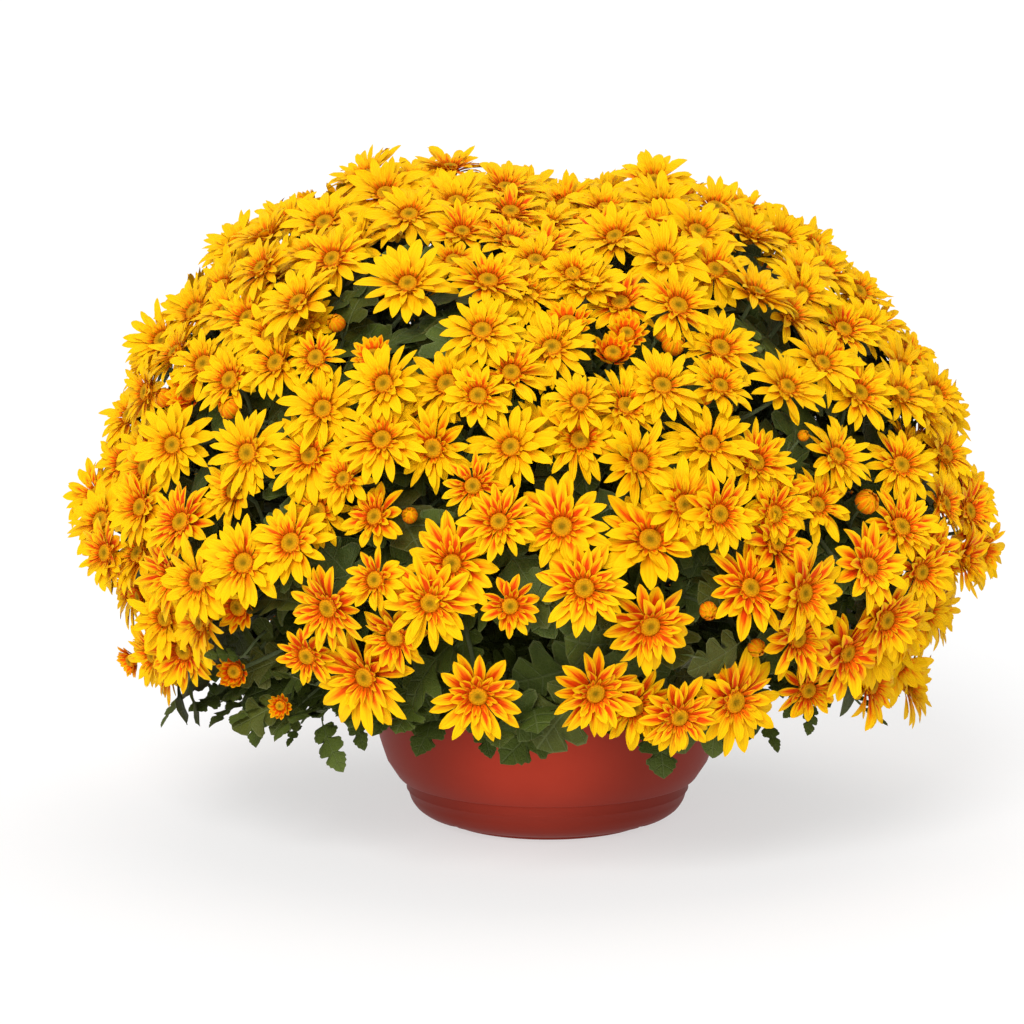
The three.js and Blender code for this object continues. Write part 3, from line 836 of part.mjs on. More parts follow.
function growShoot(shoot) {
  const surface = new ShootSurface();
  const { root, collar, fork, rise } = stemRings(shoot);
  // the woody stem, six-sided, straight down into the soil
  const rings = [
    ring(root, UP, STEM_BASE_RADIUS, 6),
    ring(collar, UP, STEM_BASE_RADIUS, 6),
    ring(rise, fork.clone().sub(collar), STEM_FORK_RADIUS + 0.3, 6),
  ].map((points) => surface.add(points));
  for (let k = 1; k < 5; k++) surface.faces.push([rings[0][0], rings[0][k + 1], rings[0][k]]);
  surface.band(rings[0], rings[1], UP);
  surface.band(rings[1], rings[2], rise.clone().sub(collar));
  // the fork, its branches, and their heads
  const forkKnuckle = surface.knuckle(fork, FORK_RADIUS, rise);
  forkKnuckle.faces[0].free = false;
  surface.band(rings[2], forkKnuckle.faces[0].ring, fork.clone().sub(rise));
  const ways = surface.share(
    forkKnuckle,
    shoot.branches.map((branch) => V(branch.at).sub(fork).normalize()),
  );
  shoot.branches.forEach((branch, b) => {
    const at = V(branch.at);
    const knuckle = surface.knuckle(at, KNUCKLE_RADIUS, fork);
    knuckle.faces[0].free = false;
    surface.band(ways[b], knuckle.faces[0].ring, at.clone().sub(fork));
    const starts = surface.share(
      knuckle,
      branch.heads.map((h) => V(h).sub(at).normalize()),
    );
    branch.heads.forEach((h, k) => {
      surface.head(starts[k], V(h), V(h.slice(3, 6)), reachOf.get(h), h[7]);
    });
    surface.close(knuckle);
  });
  surface.close(forkKnuckle);
  return surface.geometry();
}

SHOOTS.forEach((shoot, number) => {
  add(shoot.name, growShoot(shoot), petalTones[number % petalTones.length]);
  // its hole in the soil
  const { root } = stemRings(shoot);
  const hole = ring(root.clone().add(V([0, 0, -0.4])), UP, STEM_BASE_RADIUS + GAP * 1.3, 6);
  soil = soil.subtract(
    prism(
      hole,
      hole.map((p) => p.clone().setZ(SOIL_TOP + SOIL_CROWN + 4)),
    ),
  );
});
add("potting_soil", geometryOf(soil), soilMatter);

// ---------------------------------------------------------------- leaves
function leaf(base, tip, up, halfWidth, droop) {
  const along = tip.clone().sub(base);
  const length = along.length();
  const x = along.clone().normalize();
  const z = up.clone().addScaledVector(x, -up.dot(x)).normalize();
  const y = new THREE.Vector3().crossVectors(z, x);
  const right = LEAF_HALF.map(([s, w]) => [s * length, w * halfWidth * length]);
  const outline = [...right, [length, 0], ...right.slice().reverse().map(([s, w]) => [s, -w])];
  const shape = outline.map(([s, w]) => new THREE.Vector2(s, w));
  const flat = THREE.ShapeUtils.triangulateShape(shape, []);
  const place = ([s, w], lift) =>
    base
      .clone()
      .addScaledVector(x, s)
      .addScaledVector(y, w)
      .addScaledVector(z, lift + droop * length * (0.5 - 2 * (s / length - 0.5) ** 2) + Math.abs(w) * 0.18)
      .toArray();
  const n = outline.length;
  const points = [
    ...outline.map((p) => place(p, LEAF_THICKNESS / 2)),
    ...outline.map((p) => place(p, -LEAF_THICKNESS / 2)),
  ];
  const clockwise = THREE.ShapeUtils.isClockWise(shape);
  const faces = [];
  for (const [a, b, c] of flat) faces.push([a, b, c], [a + n, c + n, b + n]);
  for (let i = 0; i < n; i++) {
    const j = (i + 1) % n;
    if (clockwise) faces.push([i, j, j + n], [i, j + n, i + n]);
    else faces.push([i, j + n, j], [i, i + n, j + n]);
  }
  return meshGeometry(points, faces);
}

LEAVES.forEach(([name, base, tip, up, halfWidth, droop], i) => {
  add(name, leaf(V(base), V(tip), V(up), halfWidth, droop), leafTones[i % leafTones.length]);
});

// ---------------------------------------------------------------- the row's origin
// the tables are measured from the pot's axis; the plant's own middle is a little aside
const box = new THREE.Box3().setFromObject(plant);
const middle = box.getCenter(new THREE.Vector3());
plant.position.set(-middle.x, -middle.y, 0);

export default plant;
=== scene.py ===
"""Pot chrysanthemum: the looks of the plant and its bowl pot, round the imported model."""

import math

import bpy
import numpy as np
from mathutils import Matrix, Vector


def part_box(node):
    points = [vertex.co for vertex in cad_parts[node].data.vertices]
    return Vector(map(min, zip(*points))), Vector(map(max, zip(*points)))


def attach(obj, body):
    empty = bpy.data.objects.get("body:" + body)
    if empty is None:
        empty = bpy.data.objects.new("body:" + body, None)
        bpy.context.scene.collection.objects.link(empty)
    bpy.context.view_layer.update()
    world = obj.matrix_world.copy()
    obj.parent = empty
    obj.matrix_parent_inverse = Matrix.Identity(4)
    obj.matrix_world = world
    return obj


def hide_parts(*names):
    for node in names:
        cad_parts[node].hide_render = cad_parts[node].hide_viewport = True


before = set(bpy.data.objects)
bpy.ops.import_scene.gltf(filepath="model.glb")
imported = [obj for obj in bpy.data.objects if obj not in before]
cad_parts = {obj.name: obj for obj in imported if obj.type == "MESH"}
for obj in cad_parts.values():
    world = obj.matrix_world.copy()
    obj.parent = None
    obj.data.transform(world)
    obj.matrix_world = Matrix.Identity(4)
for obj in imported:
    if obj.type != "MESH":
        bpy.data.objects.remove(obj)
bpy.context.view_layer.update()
low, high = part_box("pot")
AXIS = np.array([(low.x + high.x) / 2, (low.y + high.y) / 2, 0.0])  # the pot's own axis
MM = 0.001

# ------------------------------------------------------------------ the tables
# Millimetres from the pot's axis and from the surface that it stands on.
# A head is x, y, z, its facing x, y, z, its radius, how red it is, its kind and whether it was placed one by one.
# The kinds are 0 an open bloom, 1 half open, 2 a small open one and 3 a bud.
SHOOTS = [
    ("flowering_shoot_01", (-2.9, -12.7), (-6.2, -29.7, 227.9), [
        ((-57.9, -40.9, 328.5), [
            (-2.3, -52, 366.7, 0.1, -0.2, 0.97, 23.6, 0.4, 0, 1), (-93.8, -46.4, 369, -0.14, -0.34, 0.93, 26.9, 0.4, 0, 0),
            (-26.4, 75.9, 377.1, -0.07, 0.01, 1, 23.2, 0.03, 0, 0), (-65.7, 2.7, 376.4, -0.07, -0.28, 0.96, 23.2, 0.28, 0, 0),
        ]),
        ((14.9, -45.7, 313.8), [
            (49.3, -48, 364.9, 0.18, -0.21, 0.96, 23.1, 0.05, 0, 0), (67.5, -29.7, 376.3, 0.14, -0.35, 0.93, 25.8, 0.1, 0, 1),
            (9.6, -18.3, 377.1, -0.34, -0.3, 0.89, 25.4, 0.6, 0, 1), (33.9, -27, 375, 0.06, -0.3, 0.95, 23.2, 0.5, 0, 1),
        ]),
        ((-13.5, -30.5, 296.5), [
            (-25.4, -26.3, 385.9, 0.2, -0.26, 0.95, 25.4, 0.6, 0, 1), (-22.4, -59.1, 373.1, 0.13, -0.36, 0.92, 24.7, 0.75, 0, 1),
        ]),
        ((-8.9, -72.5, 304.4), [
            (-2.6, -95.2, 351.9, 0.15, -0.26, 0.95, 22.5, 0.8, 0, 1), (-8.3, -118.2, 343.1, 0.13, -0.44, 0.89, 22.8, 0.35, 0, 0),
            (-22.4, -94.9, 356.4, 0.17, -0.35, 0.92, 22.5, 0.7, 0, 1), (-54.3, -118.3, 346.8, -0.1, -0.41, 0.91, 16.2, 0.6, 0, 1),
            (36.8, -100.1, 359.1, -0.21, -0.36, 0.91, 25.8, 0.45, 0, 1), (-49.8, -94.3, 361.4, 0.14, -0.49, 0.86, 24.4, 0.64, 0, 0),
            (31.7, -65.7, 360.6, -0.29, -0.23, 0.93, 24.5, 0.95, 0, 0),
        ]),
        ((37.8, -18.3, 329.9), [
            (30.2, 21.4, 379.7, -0.61, 0.39, 0.68, 23.9, 0.54, 0, 0), (44, -0.2, 375.6, 0.06, -0.29, 0.96, 25.8, 0.39, 0, 0),
            (63.8, -68.4, 364.2, 0.12, -0.36, 0.92, 23.6, 0.6, 0, 1), (17.2, 60.4, 371.4, 0, 0.41, 0.91, 23, 0.34, 0, 0),
            (-1.7, 6.5, 379.5, 0.16, -0.32, 0.93, 24.4, 0.22, 0, 0), (-11, 30.6, 383.5, 0.28, 0.19, 0.94, 27.3, 0.47, 0, 0),
        ]),
        ((-18, 2.8, 325.6), [
            (-59.3, 27.9, 393.5, -0.04, -0.2, 0.98, 24.5, 0.6, 0, 1), (10.5, -37.1, 367.1, 0.01, -0.23, 0.97, 22.5, 0.6, 0, 1),
            (-29.7, 8.8, 383.3, 0.04, -0.2, 0.98, 24.5, 0.47, 0, 0), (63.7, 13.7, 387.5, 0.08, -0.3, 0.95, 24.9, 0.4, 0, 1),
        ]),
        ((-60.4, -70.1, 317.4), [
            (-80.3, -82.9, 371.7, 0.03, -0.47, 0.88, 26.2, 0.3, 0, 1), (-37.7, -92.4, 363.5, 0.27, -0.41, 0.87, 4.2, 0.9, 3, 1),
            (-64.2, -28, 382.3, 0, -0.36, 0.93, 24.6, 0.54, 0, 0), (-53.8, -67.7, 379, -0.01, -0.32, 0.95, 26.2, 0.2, 0, 1),
        ]),
    ]),
    ("flowering_shoot_02", (60.5, 8.9), (98.1, -8.9, 203.6), [
        ((150.4, -18.4, 254.1), [
            (218.7, -5.8, 283.5, 0.63, -0.37, 0.69, 23.6, 0.6, 0, 1), (188.5, -37.2, 304.3, 0.58, -0.33, 0.74, 23.6, 0.5, 0, 1),
            (188.2, 2.5, 321.7, 0.56, -0.29, 0.78, 24, 0.4, 0, 1), (166.4, -9.9, 336.5, 0.66, -0.31, 0.69, 24, 0.7, 0, 1),
            (173.2, -61, 305.3, 0.5, -0.36, 0.79, 22.5, 0.8, 0, 1), (208.8, -49.5, 279.8, 0.73, -0.48, 0.5, 25.6, 0.03, 0, 0),
        ]),
        ((139.9, 25.5, 274.1), [
            (161.1, 70, 330, 0.46, 0.35, 0.82, 24.4, 0.56, 0, 0), (179.1, 36.6, 325, 0.45, 0.26, 0.85, 25.3, 0.24, 0, 0),
            (199.4, -7, 303.8, 0.62, -0.33, 0.72, 23.6, 0.6, 0, 1),
        ]),
        ((108.5, -22.5, 279.8), [
            (140, -7.5, 355.1, 0.53, -0.37, 0.77, 23.6, 0.5, 0, 1), (119.8, -31, 360.8, 0.4, -0.37, 0.84, 25.4, 0.2, 0, 1),
            (100.1, -15.1, 374.5, 0.29, -0.21, 0.93, 25.8, 0.1, 0, 1), (148.9, -41.2, 337, 0.53, -0.3, 0.79, 25.1, 0.28, 0, 0),
            (93.7, -39, 359.5, 0.32, -0.32, 0.89, 24.8, 0.42, 0, 0), (116.5, -112, 328.1, 0.48, -0.32, 0.82, 27.6, 0.35, 0, 1),
        ]),
        ((96.3, -51.8, 271.9), [
            (86.2, -66.4, 362.8, 0.2, -0.36, 0.91, 27.6, 0.05, 0, 1), (93, -107.8, 340.7, 0.35, -0.48, 0.8, 25.4, 0.55, 0, 1),
            (75.6, -87.7, 347.2, 0.46, -0.32, 0.83, 25.6, 0.03, 0, 0), (165.7, -91.1, 290.5, 0.44, -0.38, 0.81, 10.9, 0.11, 1, 0),
            (146, -75.8, 326.5, 0.63, -0.37, 0.69, 25.4, 0.4, 0, 1),
        ]),
        ((118, 5.7, 288.3), [
            (160.7, 9.9, 348.2, 0.53, -0.26, 0.8, 24, 0.5, 0, 1), (150.1, 11.2, 354, 0.61, -0.25, 0.75, 23.6, 0.5, 0, 1),
            (119, 7.8, 370.2, 0.32, -0.27, 0.91, 24.7, 0.5, 0, 1), (80.1, 52.7, 373.8, 0.06, 0.33, 0.94, 25, 0.73, 0, 0),
            (121, 48.5, 359.1, 0.54, 0.33, 0.78, 11.3, 0.7, 1, 0),
        ]),
        ((127.5, -51.5, 245.8), [
            (152.4, -126.4, 290.3, 0.51, -0.49, 0.7, 26.3, 0.05, 0, 1), (135.7, -97.1, 314.2, 0.58, -0.37, 0.72, 27.5, 0.57, 0, 0),
        ]),
    ]),
    ("flowering_shoot_03", (-67.7, 9.7), (-108.2, 25.4, 207.6), [
        ((-101, 60.2, 292.1), [
            (-74.7, 97.4, 368.8, 0.12, 0.46, 0.88, 23.5, 0.49, 0, 0), (-125.7, 96.8, 365, -0.21, 0.25, 0.95, 23, 0.22, 0, 0),
            (-79.8, 65.6, 384.1, 0.13, 0.46, 0.88, 25.7, 0.48, 0, 0), (-143.8, 67.5, 363.1, -0.5, 0.28, 0.82, 5.7, 0.85, 3, 0),
        ]),
        ((-110.9, 28, 296.2), [
            (-97.5, -3.2, 380.6, -0.22, -0.32, 0.92, 26.2, 0.2, 0, 1), (-110.3, 43.6, 387.5, -0.31, -0.34, 0.89, 25.4, 0.15, 0, 1),
            (-149.6, 50.3, 366.4, -0.49, 0.03, 0.87, 12.9, 0.4, 1, 0), (-86.1, 25.5, 375.4, -0.04, -0.26, 0.96, 24.3, 0.36, 0, 0),
        ]),
        ((-164.4, 20.8, 261), [
            (-187.4, 18.4, 345.6, -0.56, -0.26, 0.78, 25.4, 0.4, 0, 1), (-229.9, 50.6, 267.7, -0.75, 0.36, 0.55, 23.1, 0.19, 0, 0),
            (-213.7, -8.2, 313.1, -0.75, -0.25, 0.62, 26.8, 0.41, 0, 0), (-208.2, 43.1, 310.3, -0.7, 0.01, 0.72, 24.6, 0.23, 0, 0),
            (-228, 10, 278.2, -0.82, 0.14, 0.55, 22.8, 0.55, 0, 0), (-186.5, -9.5, 327.8, -0.74, -0.31, 0.6, 27.3, 0.17, 0, 0),
        ]),
        ((-127.6, 3.6, 289.3), [
            (-132.1, -44.9, 366.7, -0.34, -0.3, 0.89, 25.4, 0.3, 0, 1), (-156.6, 12.3, 362.2, -0.25, -0.32, 0.92, 25.8, 0.3, 0, 1),
            (-167.7, -25.9, 357.6, -0.36, -0.17, 0.92, 24.6, 0.12, 0, 0), (-126.8, -6.9, 364.3, -0.32, -0.34, 0.89, 22.7, 0.73, 0, 0),
            (-131.1, 26.1, 367, -0.26, -0.29, 0.92, 23, 0.92, 0, 0),
        ]),
        ((-144.9, 58, 273.6), [
            (-167.5, 80.5, 350.2, -0.51, 0.27, 0.82, 22.5, 0.42, 0, 0), (-164.5, 133.5, 311.7, -0.48, 0.52, 0.71, 26.9, 0.49, 0, 0),
            (-206.6, 83.8, 298.6, -0.91, 0.31, 0.29, 24, 0.76, 0, 0), (-183.5, 97.7, 323.3, -0.51, 0.3, 0.81, 25.3, 0.33, 0, 0),
            (-142.3, 115.6, 337.5, -0.43, 0.59, 0.68, 25.5, 0.71, 0, 0), (-186.1, 53.3, 341.7, -0.61, 0.09, 0.79, 24.4, 0.35, 0, 0),
            (-217.2, 87.1, 268.5, -0.88, 0.44, 0.19, 5.7, 0.85, 3, 0),
        ]),
    ]),
    ("flowering_shoot_04", (-44.3, -40.8), (-108.3, -76.6, 194.6), [
        ((-140.7, -120.5, 249.8), [
            (-178.1, -139.4, 266.1, -0.68, -0.47, 0.56, 6, 0.9, 3, 1), (-140.6, -132.6, 325.3, -0.48, -0.46, 0.74, 28, 0.15, 0, 1),
            (-156.5, -131.2, 306.7, -0.44, -0.58, 0.69, 23.6, 0.4, 0, 1), (-118.3, -146.5, 314.6, -0.33, -0.74, 0.59, 4.8, 0.9, 3, 1),
            (-212.2, -121.8, 243.2, -0.59, -0.76, 0.28, 27.1, 0.1, 0, 1), (-78.9, -146.4, 336.9, -0.17, -0.67, 0.72, 28.4, 0.1, 0, 1),
            (-168.9, -108.3, 312.3, -0.57, -0.62, 0.54, 26.6, 0.67, 0, 0),
        ]),
        ((-139.4, -71.5, 264.7), [
            (-158.2, -57.4, 341.2, -0.55, -0.35, 0.76, 26, 0.71, 0, 0), (-162.2, -95.4, 340.1, -0.5, -0.47, 0.73, 23.5, 0.6, 0, 0),
            (-185.2, -82.7, 316.7, -0.55, -0.34, 0.76, 25.1, 0.05, 0, 0), (-138, -75, 348.4, -0.53, -0.35, 0.78, 23.8, 0.23, 0, 0),
            (-122.2, -114.9, 347.6, -0.32, -0.6, 0.73, 25.8, 0.6, 0, 1), (-192.6, -44.4, 327.8, -0.56, -0.28, 0.78, 24.7, 0.5, 0, 1),
            (-194.9, -106.1, 286.6, -0.58, -0.61, 0.54, 23.6, 0.3, 0, 1), (-113.6, -80, 357.2, -0.22, -0.4, 0.89, 25.8, 0.3, 0, 0),
        ]),
        ((-162, -107, 241.4), [
            (-215.1, -89.5, 250.7, -0.76, -0.55, 0.34, 23.2, 0.16, 0, 0), (-167.3, -164.3, 244.9, -0.52, -0.8, 0.29, 25.8, 0.3, 0, 1),
            (-179.3, -128.6, 281, -0.49, -0.69, 0.53, 23.2, 0.7, 0, 1),
        ]),
        ((-186.3, -27.6, 253.9), [
            (-209.9, -79, 287.3, -0.66, -0.35, 0.67, 23.3, 0.08, 0, 0), (-205.6, -58.6, 313.1, -0.73, -0.24, 0.64, 26.9, 0.35, 0, 1),
            (-203.5, -107.2, 271.4, -0.67, -0.62, 0.41, 13.2, 0.7, 1, 1),
        ]),
        ((-109, -90.4, 272.4), [
            (-129.6, -157.4, 297, -0.37, -0.75, 0.55, 18.2, 0.7, 0, 1), (-152.2, -149.4, 293.2, -0.53, -0.64, 0.56, 24.9, 0.4, 0, 1),
            (-137.3, -133.1, 312.5, -0.38, -0.62, 0.68, 21.5, 0.5, 0, 1),
        ]),
        ((-181.9, -51.4, 205), [
            (-228.4, -62.3, 263.1, -0.9, -0.34, 0.28, 25.4, 0.4, 0, 1), (-216.9, -88.9, 264.3, -0.78, -0.49, 0.38, 5.4, 0.9, 3, 1),
            (-220.2, -52.1, 291.4, -0.81, -0.47, 0.35, 25.8, 0.2, 0, 1), (-239, -56.7, 232.7, -0.8, -0.41, 0.44, 23.8, 0.45, 0, 0),
            (-226.4, -23.9, 275.2, -0.75, -0.36, 0.55, 23.5, 0.03, 0, 0),
        ]),
    ]),
    ("flowering_shoot_05", (26.2, -55.1), (30.2, -109.2, 188.8), [
        ((72.5, -145.5, 241.4), [
            (130.9, -155.6, 280.6, 0.54, -0.49, 0.68, 26.2, 0.2, 0, 1), (92.6, -179.2, 284.2, 0.37, -0.68, 0.63, 22.2, 0.5, 0, 1),
            (83.8, -182.3, 278, 0.42, -0.64, 0.65, 4.2, 0.9, 3, 1), (116.2, -140.4, 299.3, 0.52, -0.68, 0.52, 2.4, 0.1, 3, 1),
            (93.4, -161.4, 303, 0.35, -0.61, 0.71, 26.2, 0.5, 0, 1), (86.2, -203, 255.6, 0.21, -0.78, 0.59, 27.3, 0.2, 0, 1),
            (32.7, -221.9, 224, 0.22, -0.92, 0.31, 1.8, 0.1, 3, 1), (47.2, -219.3, 248.2, 0.25, -0.86, 0.44, 27.3, 0.3, 0, 1),
        ]),
        ((47.9, -139.1, 265.5), [
            (20.3, -142.5, 335.3, -0.03, -0.48, 0.88, 23.6, 0.4, 0, 1), (38.3, -155.7, 327.3, 0.05, -0.61, 0.79, 24.3, 0.85, 0, 1),
            (41.8, -171.8, 312.6, 0.19, -0.7, 0.69, 10.8, 0.8, 1, 1), (9.4, -168.9, 318.3, 0.02, -0.64, 0.77, 13.2, 0.7, 1, 1),
            (61.3, -163.9, 311.1, 0.49, -0.65, 0.58, 4.8, 0.9, 3, 1), (67.2, -167.2, 304.9, 0.2, -0.7, 0.68, 6, 0.9, 3, 1),
            (60.3, -195.2, 286.4, 0.08, -0.76, 0.64, 26.9, 0.15, 0, 1),
        ]),
        ((-10, -141.4, 255.9), [
            (-37.7, -174.9, 314.1, -0.17, -0.68, 0.71, 25.8, 0.4, 0, 1), (-18, -140.8, 335.2, 0.03, -0.49, 0.87, 22.5, 0.3, 0, 1),
            (-12.5, -156.3, 331.3, 0.02, -0.57, 0.82, 25.4, 0.3, 0, 1), (0.5, -187, 306.2, -0.01, -0.67, 0.74, 27.1, 0.2, 0, 1),
            (15.5, -205.8, 279, -0.09, -0.79, 0.6, 20.8, 0.35, 0, 1), (-2.9, -208.2, 265.1, 0.05, -0.8, 0.6, 22.5, 0.4, 0, 1),
        ]),
        ((18.4, -147.6, 228), [
            (40.5, -204.1, 276.6, 0.27, -0.8, 0.53, 25.4, 0.55, 0, 1), (15.4, -216.5, 259.8, 0.01, -0.88, 0.47, 25.4, 0.6, 0, 1),
        ]),
        ((10.5, -119.9, 274.7), [
            (12.6, -134.7, 341.2, -0.05, -0.46, 0.88, 19.8, 0.5, 0, 1), (33.9, -181.9, 303.3, 0.09, -0.74, 0.66, 12, 0.7, 1, 1),
            (64.3, -121.2, 348.2, 0.29, -0.45, 0.84, 26.9, 0.15, 0, 1), (-34.6, -145.4, 338.4, 0.08, -0.55, 0.83, 25.4, 0.65, 0, 1),
            (-21.8, -193.7, 293.3, 0.02, -0.76, 0.65, 24.9, 0.6, 0, 1), (70.4, -152.5, 325.3, 0.17, -0.53, 0.83, 26.5, 0.55, 0, 1),
        ]),
    ]),
    ("flowering_shoot_06", (21.1, 57.8), (63.9, 105.9, 203.7), [
        ((131.9, 68.8, 284.1), [
            (165.2, 101.8, 294.5, 0.53, 0.31, 0.79, 23.6, 0.53, 0, 0), (127.5, 127.2, 317.1, 0.63, 0.29, 0.72, 27.5, 0.51, 0, 0),
            (91.9, 126, 331.3, 0.61, 0.4, 0.69, 27.1, 0.75, 0, 0), (152.9, 145.8, 270.9, 0.54, 0.43, 0.72, 23.8, 0.15, 0, 0),
            (154.3, 169.6, 243.4, 0.66, 0.62, 0.43, 23.7, 0.43, 0, 0),
        ]),
        ((36.5, 157.2, 265.3), [
            (89.3, 191.3, 285.1, 0.25, 0.64, 0.73, 23.9, 0.71, 0, 0), (80.1, 205.3, 262.1, 0.47, 0.54, 0.7, 5.1, 0.85, 3, 0),
            (46, 191.8, 295.5, -0.05, 0.78, 0.63, 26.8, 0.34, 0, 0), (114.4, 160.9, 296.2, 0.41, 0.46, 0.79, 12.5, 0.44, 1, 0),
            (60.4, 130.4, 346.8, 0.12, 0.52, 0.85, 22.9, 0.43, 0, 0), (72.4, 157.5, 317.2, 0.32, 0.46, 0.83, 23, 0.21, 0, 0),
        ]),
        ((20.1, 114.3, 312.2), [
            (33.1, 174.3, 320, -0.04, 0.68, 0.74, 26.5, 0.18, 0, 0), (31.3, 149.7, 344.1, 0.01, 0.46, 0.89, 26.4, 0.83, 0, 0),
            (71.7, 190.3, 290.1, 0.45, 0.7, 0.55, 6, 0.85, 3, 0), (26.8, 210.4, 267.9, -0.14, 0.84, 0.52, 22.9, 0.25, 0, 0),
            (15.3, 105.9, 360.1, -0.13, 0.26, 0.96, 27, 0.4, 0, 0), (74.2, 99.2, 352.1, 0.31, 0.52, 0.79, 25.5, 0.3, 0, 0),
            (46.3, 76.2, 373, 0.07, 0.19, 0.98, 25.2, 0.92, 0, 0), (116.8, 92.4, 344.1, 0.38, 0.31, 0.87, 24.9, 0.03, 0, 0),
        ]),
        ((129.5, 121.8, 233.6), [
            (65.1, 209.7, 261.7, 0.26, 0.92, 0.28, 24, 0.68, 0, 0), (137, 110.3, 318.9, 0.32, 0.1, 0.94, 4.4, 0.85, 3, 0),
            (127.4, 184.7, 259.2, 0.48, 0.64, 0.6, 27.3, 0.2, 0, 0),
        ]),
    ]),
    ("flowering_shoot_07", (-20.1, 62), (-42.4, 114.9, 184.7), [
        ((-76.3, 138.3, 253.2), [
            (-81.9, 188.4, 299.9, -0.19, 0.91, 0.37, 26.9, 0.46, 0, 0), (-114.1, 134.8, 336.9, -0.37, 0.46, 0.81, 25.6, 0.3, 0, 0),
            (-135.7, 165.2, 302.9, -0.26, 0.54, 0.8, 11.8, 0.22, 1, 0), (-91.5, 159.1, 318, -0.18, 0.49, 0.85, 23, 0.62, 0, 0),
        ]),
        ((-33.2, 164.2, 226.3), [
            (1.5, 217.4, 247.5, -0.04, 0.82, 0.56, 26.1, 0.39, 0, 0), (-31.9, 208.8, 280.9, 0.08, 0.71, 0.7, 25.8, 0.6, 0, 0),
            (-40.5, 221.4, 229.2, -0.03, 0.9, 0.44, 27.4, 0.05, 0, 0), (2.5, 191.8, 303.4, 0.35, 0.83, 0.44, 25.2, 0.31, 0, 0),
            (-58.5, 212.9, 260.1, -0.2, 0.85, 0.48, 25.5, 0.25, 0, 0),
        ]),
        ((-83.3, 155.3, 221.3), [
            (-150.4, 175.6, 258.7, -0.53, 0.73, 0.44, 25.3, 0.68, 0, 0), (-89.4, 208.6, 247.1, -0.31, 0.71, 0.63, 10.6, 0.55, 1, 0),
            (-110.4, 187.9, 273.7, -0.2, 0.79, 0.58, 24.3, 0.48, 0, 0), (-128.6, 203.5, 239.3, -0.58, 0.79, 0.21, 25.6, 0.03, 0, 0),
        ]),
        ((-39.9, 128.6, 264.7), [
            (-67.9, 135, 344.3, 0.01, 0.59, 0.81, 26.6, 0.75, 0, 0), (-10.8, 155.9, 331.1, -0.01, 0.61, 0.79, 23.1, 0.13, 0, 0),
            (-47.4, 169.5, 316.2, -0.31, 0.61, 0.73, 25.4, 0.21, 0, 0), (-28, 116, 352, -0.1, 0.55, 0.83, 26.9, 0.21, 0, 0),
        ]),
    ]),
    ("flowering_shoot_08", (-42.2, -55.2), (-113.3, -91.8, 148.8), [
        ((-183.6, -94.5, 174.8), [
            (-232.7, -113.8, 206.5, -0.78, -0.58, 0.21, 25.4, 0.5, 0, 1), (-234.9, -85.6, 225.8, -0.83, -0.4, 0.38, 24, 0.5, 0, 1),
            (-255.1, -86.1, 175.3, -0.87, -0.48, 0.12, 22.5, 0.5, 0, 1), (-237.6, -107.7, 180.6, -0.7, -0.45, 0.55, 26.2, 0.03, 0, 0),
        ]),
        ((-137.1, -122.9, 134.6), [
            (-134.5, -185.9, 134.9, -0.38, -0.91, -0.16, 18.1, 0.8, 0, 1), (-177.5, -148.3, 118.2, -0.59, -0.79, -0.16, 10.2, 0.95, 1, 1),
            (-151.6, -152, 99.5, -0.58, -0.79, -0.18, 7.2, 0.95, 2, 1),
        ]),
        ((-173.8, -92.9, 142), [
            (-219.8, -122.2, 143.5, -0.77, -0.63, 0.01, 25.8, 0.1, 0, 1), (-209.7, -123.2, 124.7, -0.65, -0.75, -0.15, 25.4, 0.9, 0, 1),
            (-247.6, -67.4, 144.4, -0.89, -0.44, -0.14, 9.6, 0.8, 1, 1), (-232.7, -90.8, 114.4, -0.79, -0.59, -0.16, 23, 0.29, 0, 0),
            (-228.3, -92.3, 147.4, -0.93, -0.36, -0.01, 23.5, 0.1, 0, 0),
        ]),
        ((-153.3, -127.7, 166.8), [
            (-168.4, -190.7, 187.8, -0.43, -0.83, 0.35, 26.9, 0.3, 0, 1), (-194.9, -175.4, 175, -0.58, -0.81, 0.06, 26.9, 0.2, 0, 1),
            (-206.1, -149.4, 203.8, -0.65, -0.61, 0.45, 25.4, 0.8, 0, 1), (-175.1, -166, 224.5, -0.73, -0.55, 0.4, 25.4, 0.45, 0, 1),
            (-193.4, -147.9, 147.5, -0.81, -0.57, -0.15, 27.3, 0.29, 0, 0), (-211.6, -147.9, 172.1, -0.73, -0.66, -0.16, 25.3, 0.73, 0, 0),
            (-174, -167.4, 158.9, -0.59, -0.78, -0.18, 13, 0.58, 1, 0),
        ]),
    ]),
    ("flowering_shoot_09", (-28.3, -51.1), (-52.2, -119.6, 155.1), [
        ((-79.5, -167.9, 162.3), [
            (-101.8, -204.4, 126.8, -0.5, -0.85, -0.16, 32.8, 0.3, 0, 1), (-121.3, -216, 167.5, -0.58, -0.8, -0.16, 26.2, 0.8, 0, 1),
            (-95.3, -225.9, 184.7, -0.28, -0.9, 0.33, 18.8, 0.35, 0, 1),
        ]),
        ((-90.4, -159, 192.9), [
            (-95.7, -208.8, 216.4, -0.41, -0.8, 0.43, 20.3, 0.7, 0, 1), (-127.3, -196.2, 217.6, -0.34, -0.87, 0.37, 21.5, 0.35, 0, 1),
            (-142, -200.2, 200.6, -0.38, -0.85, 0.36, 26.2, 0.35, 0, 1), (-131.8, -188.1, 246.8, -0.36, -0.79, 0.5, 26.7, 0.55, 0, 1),
        ]),
        ((-54.7, -159.5, 218.3), [
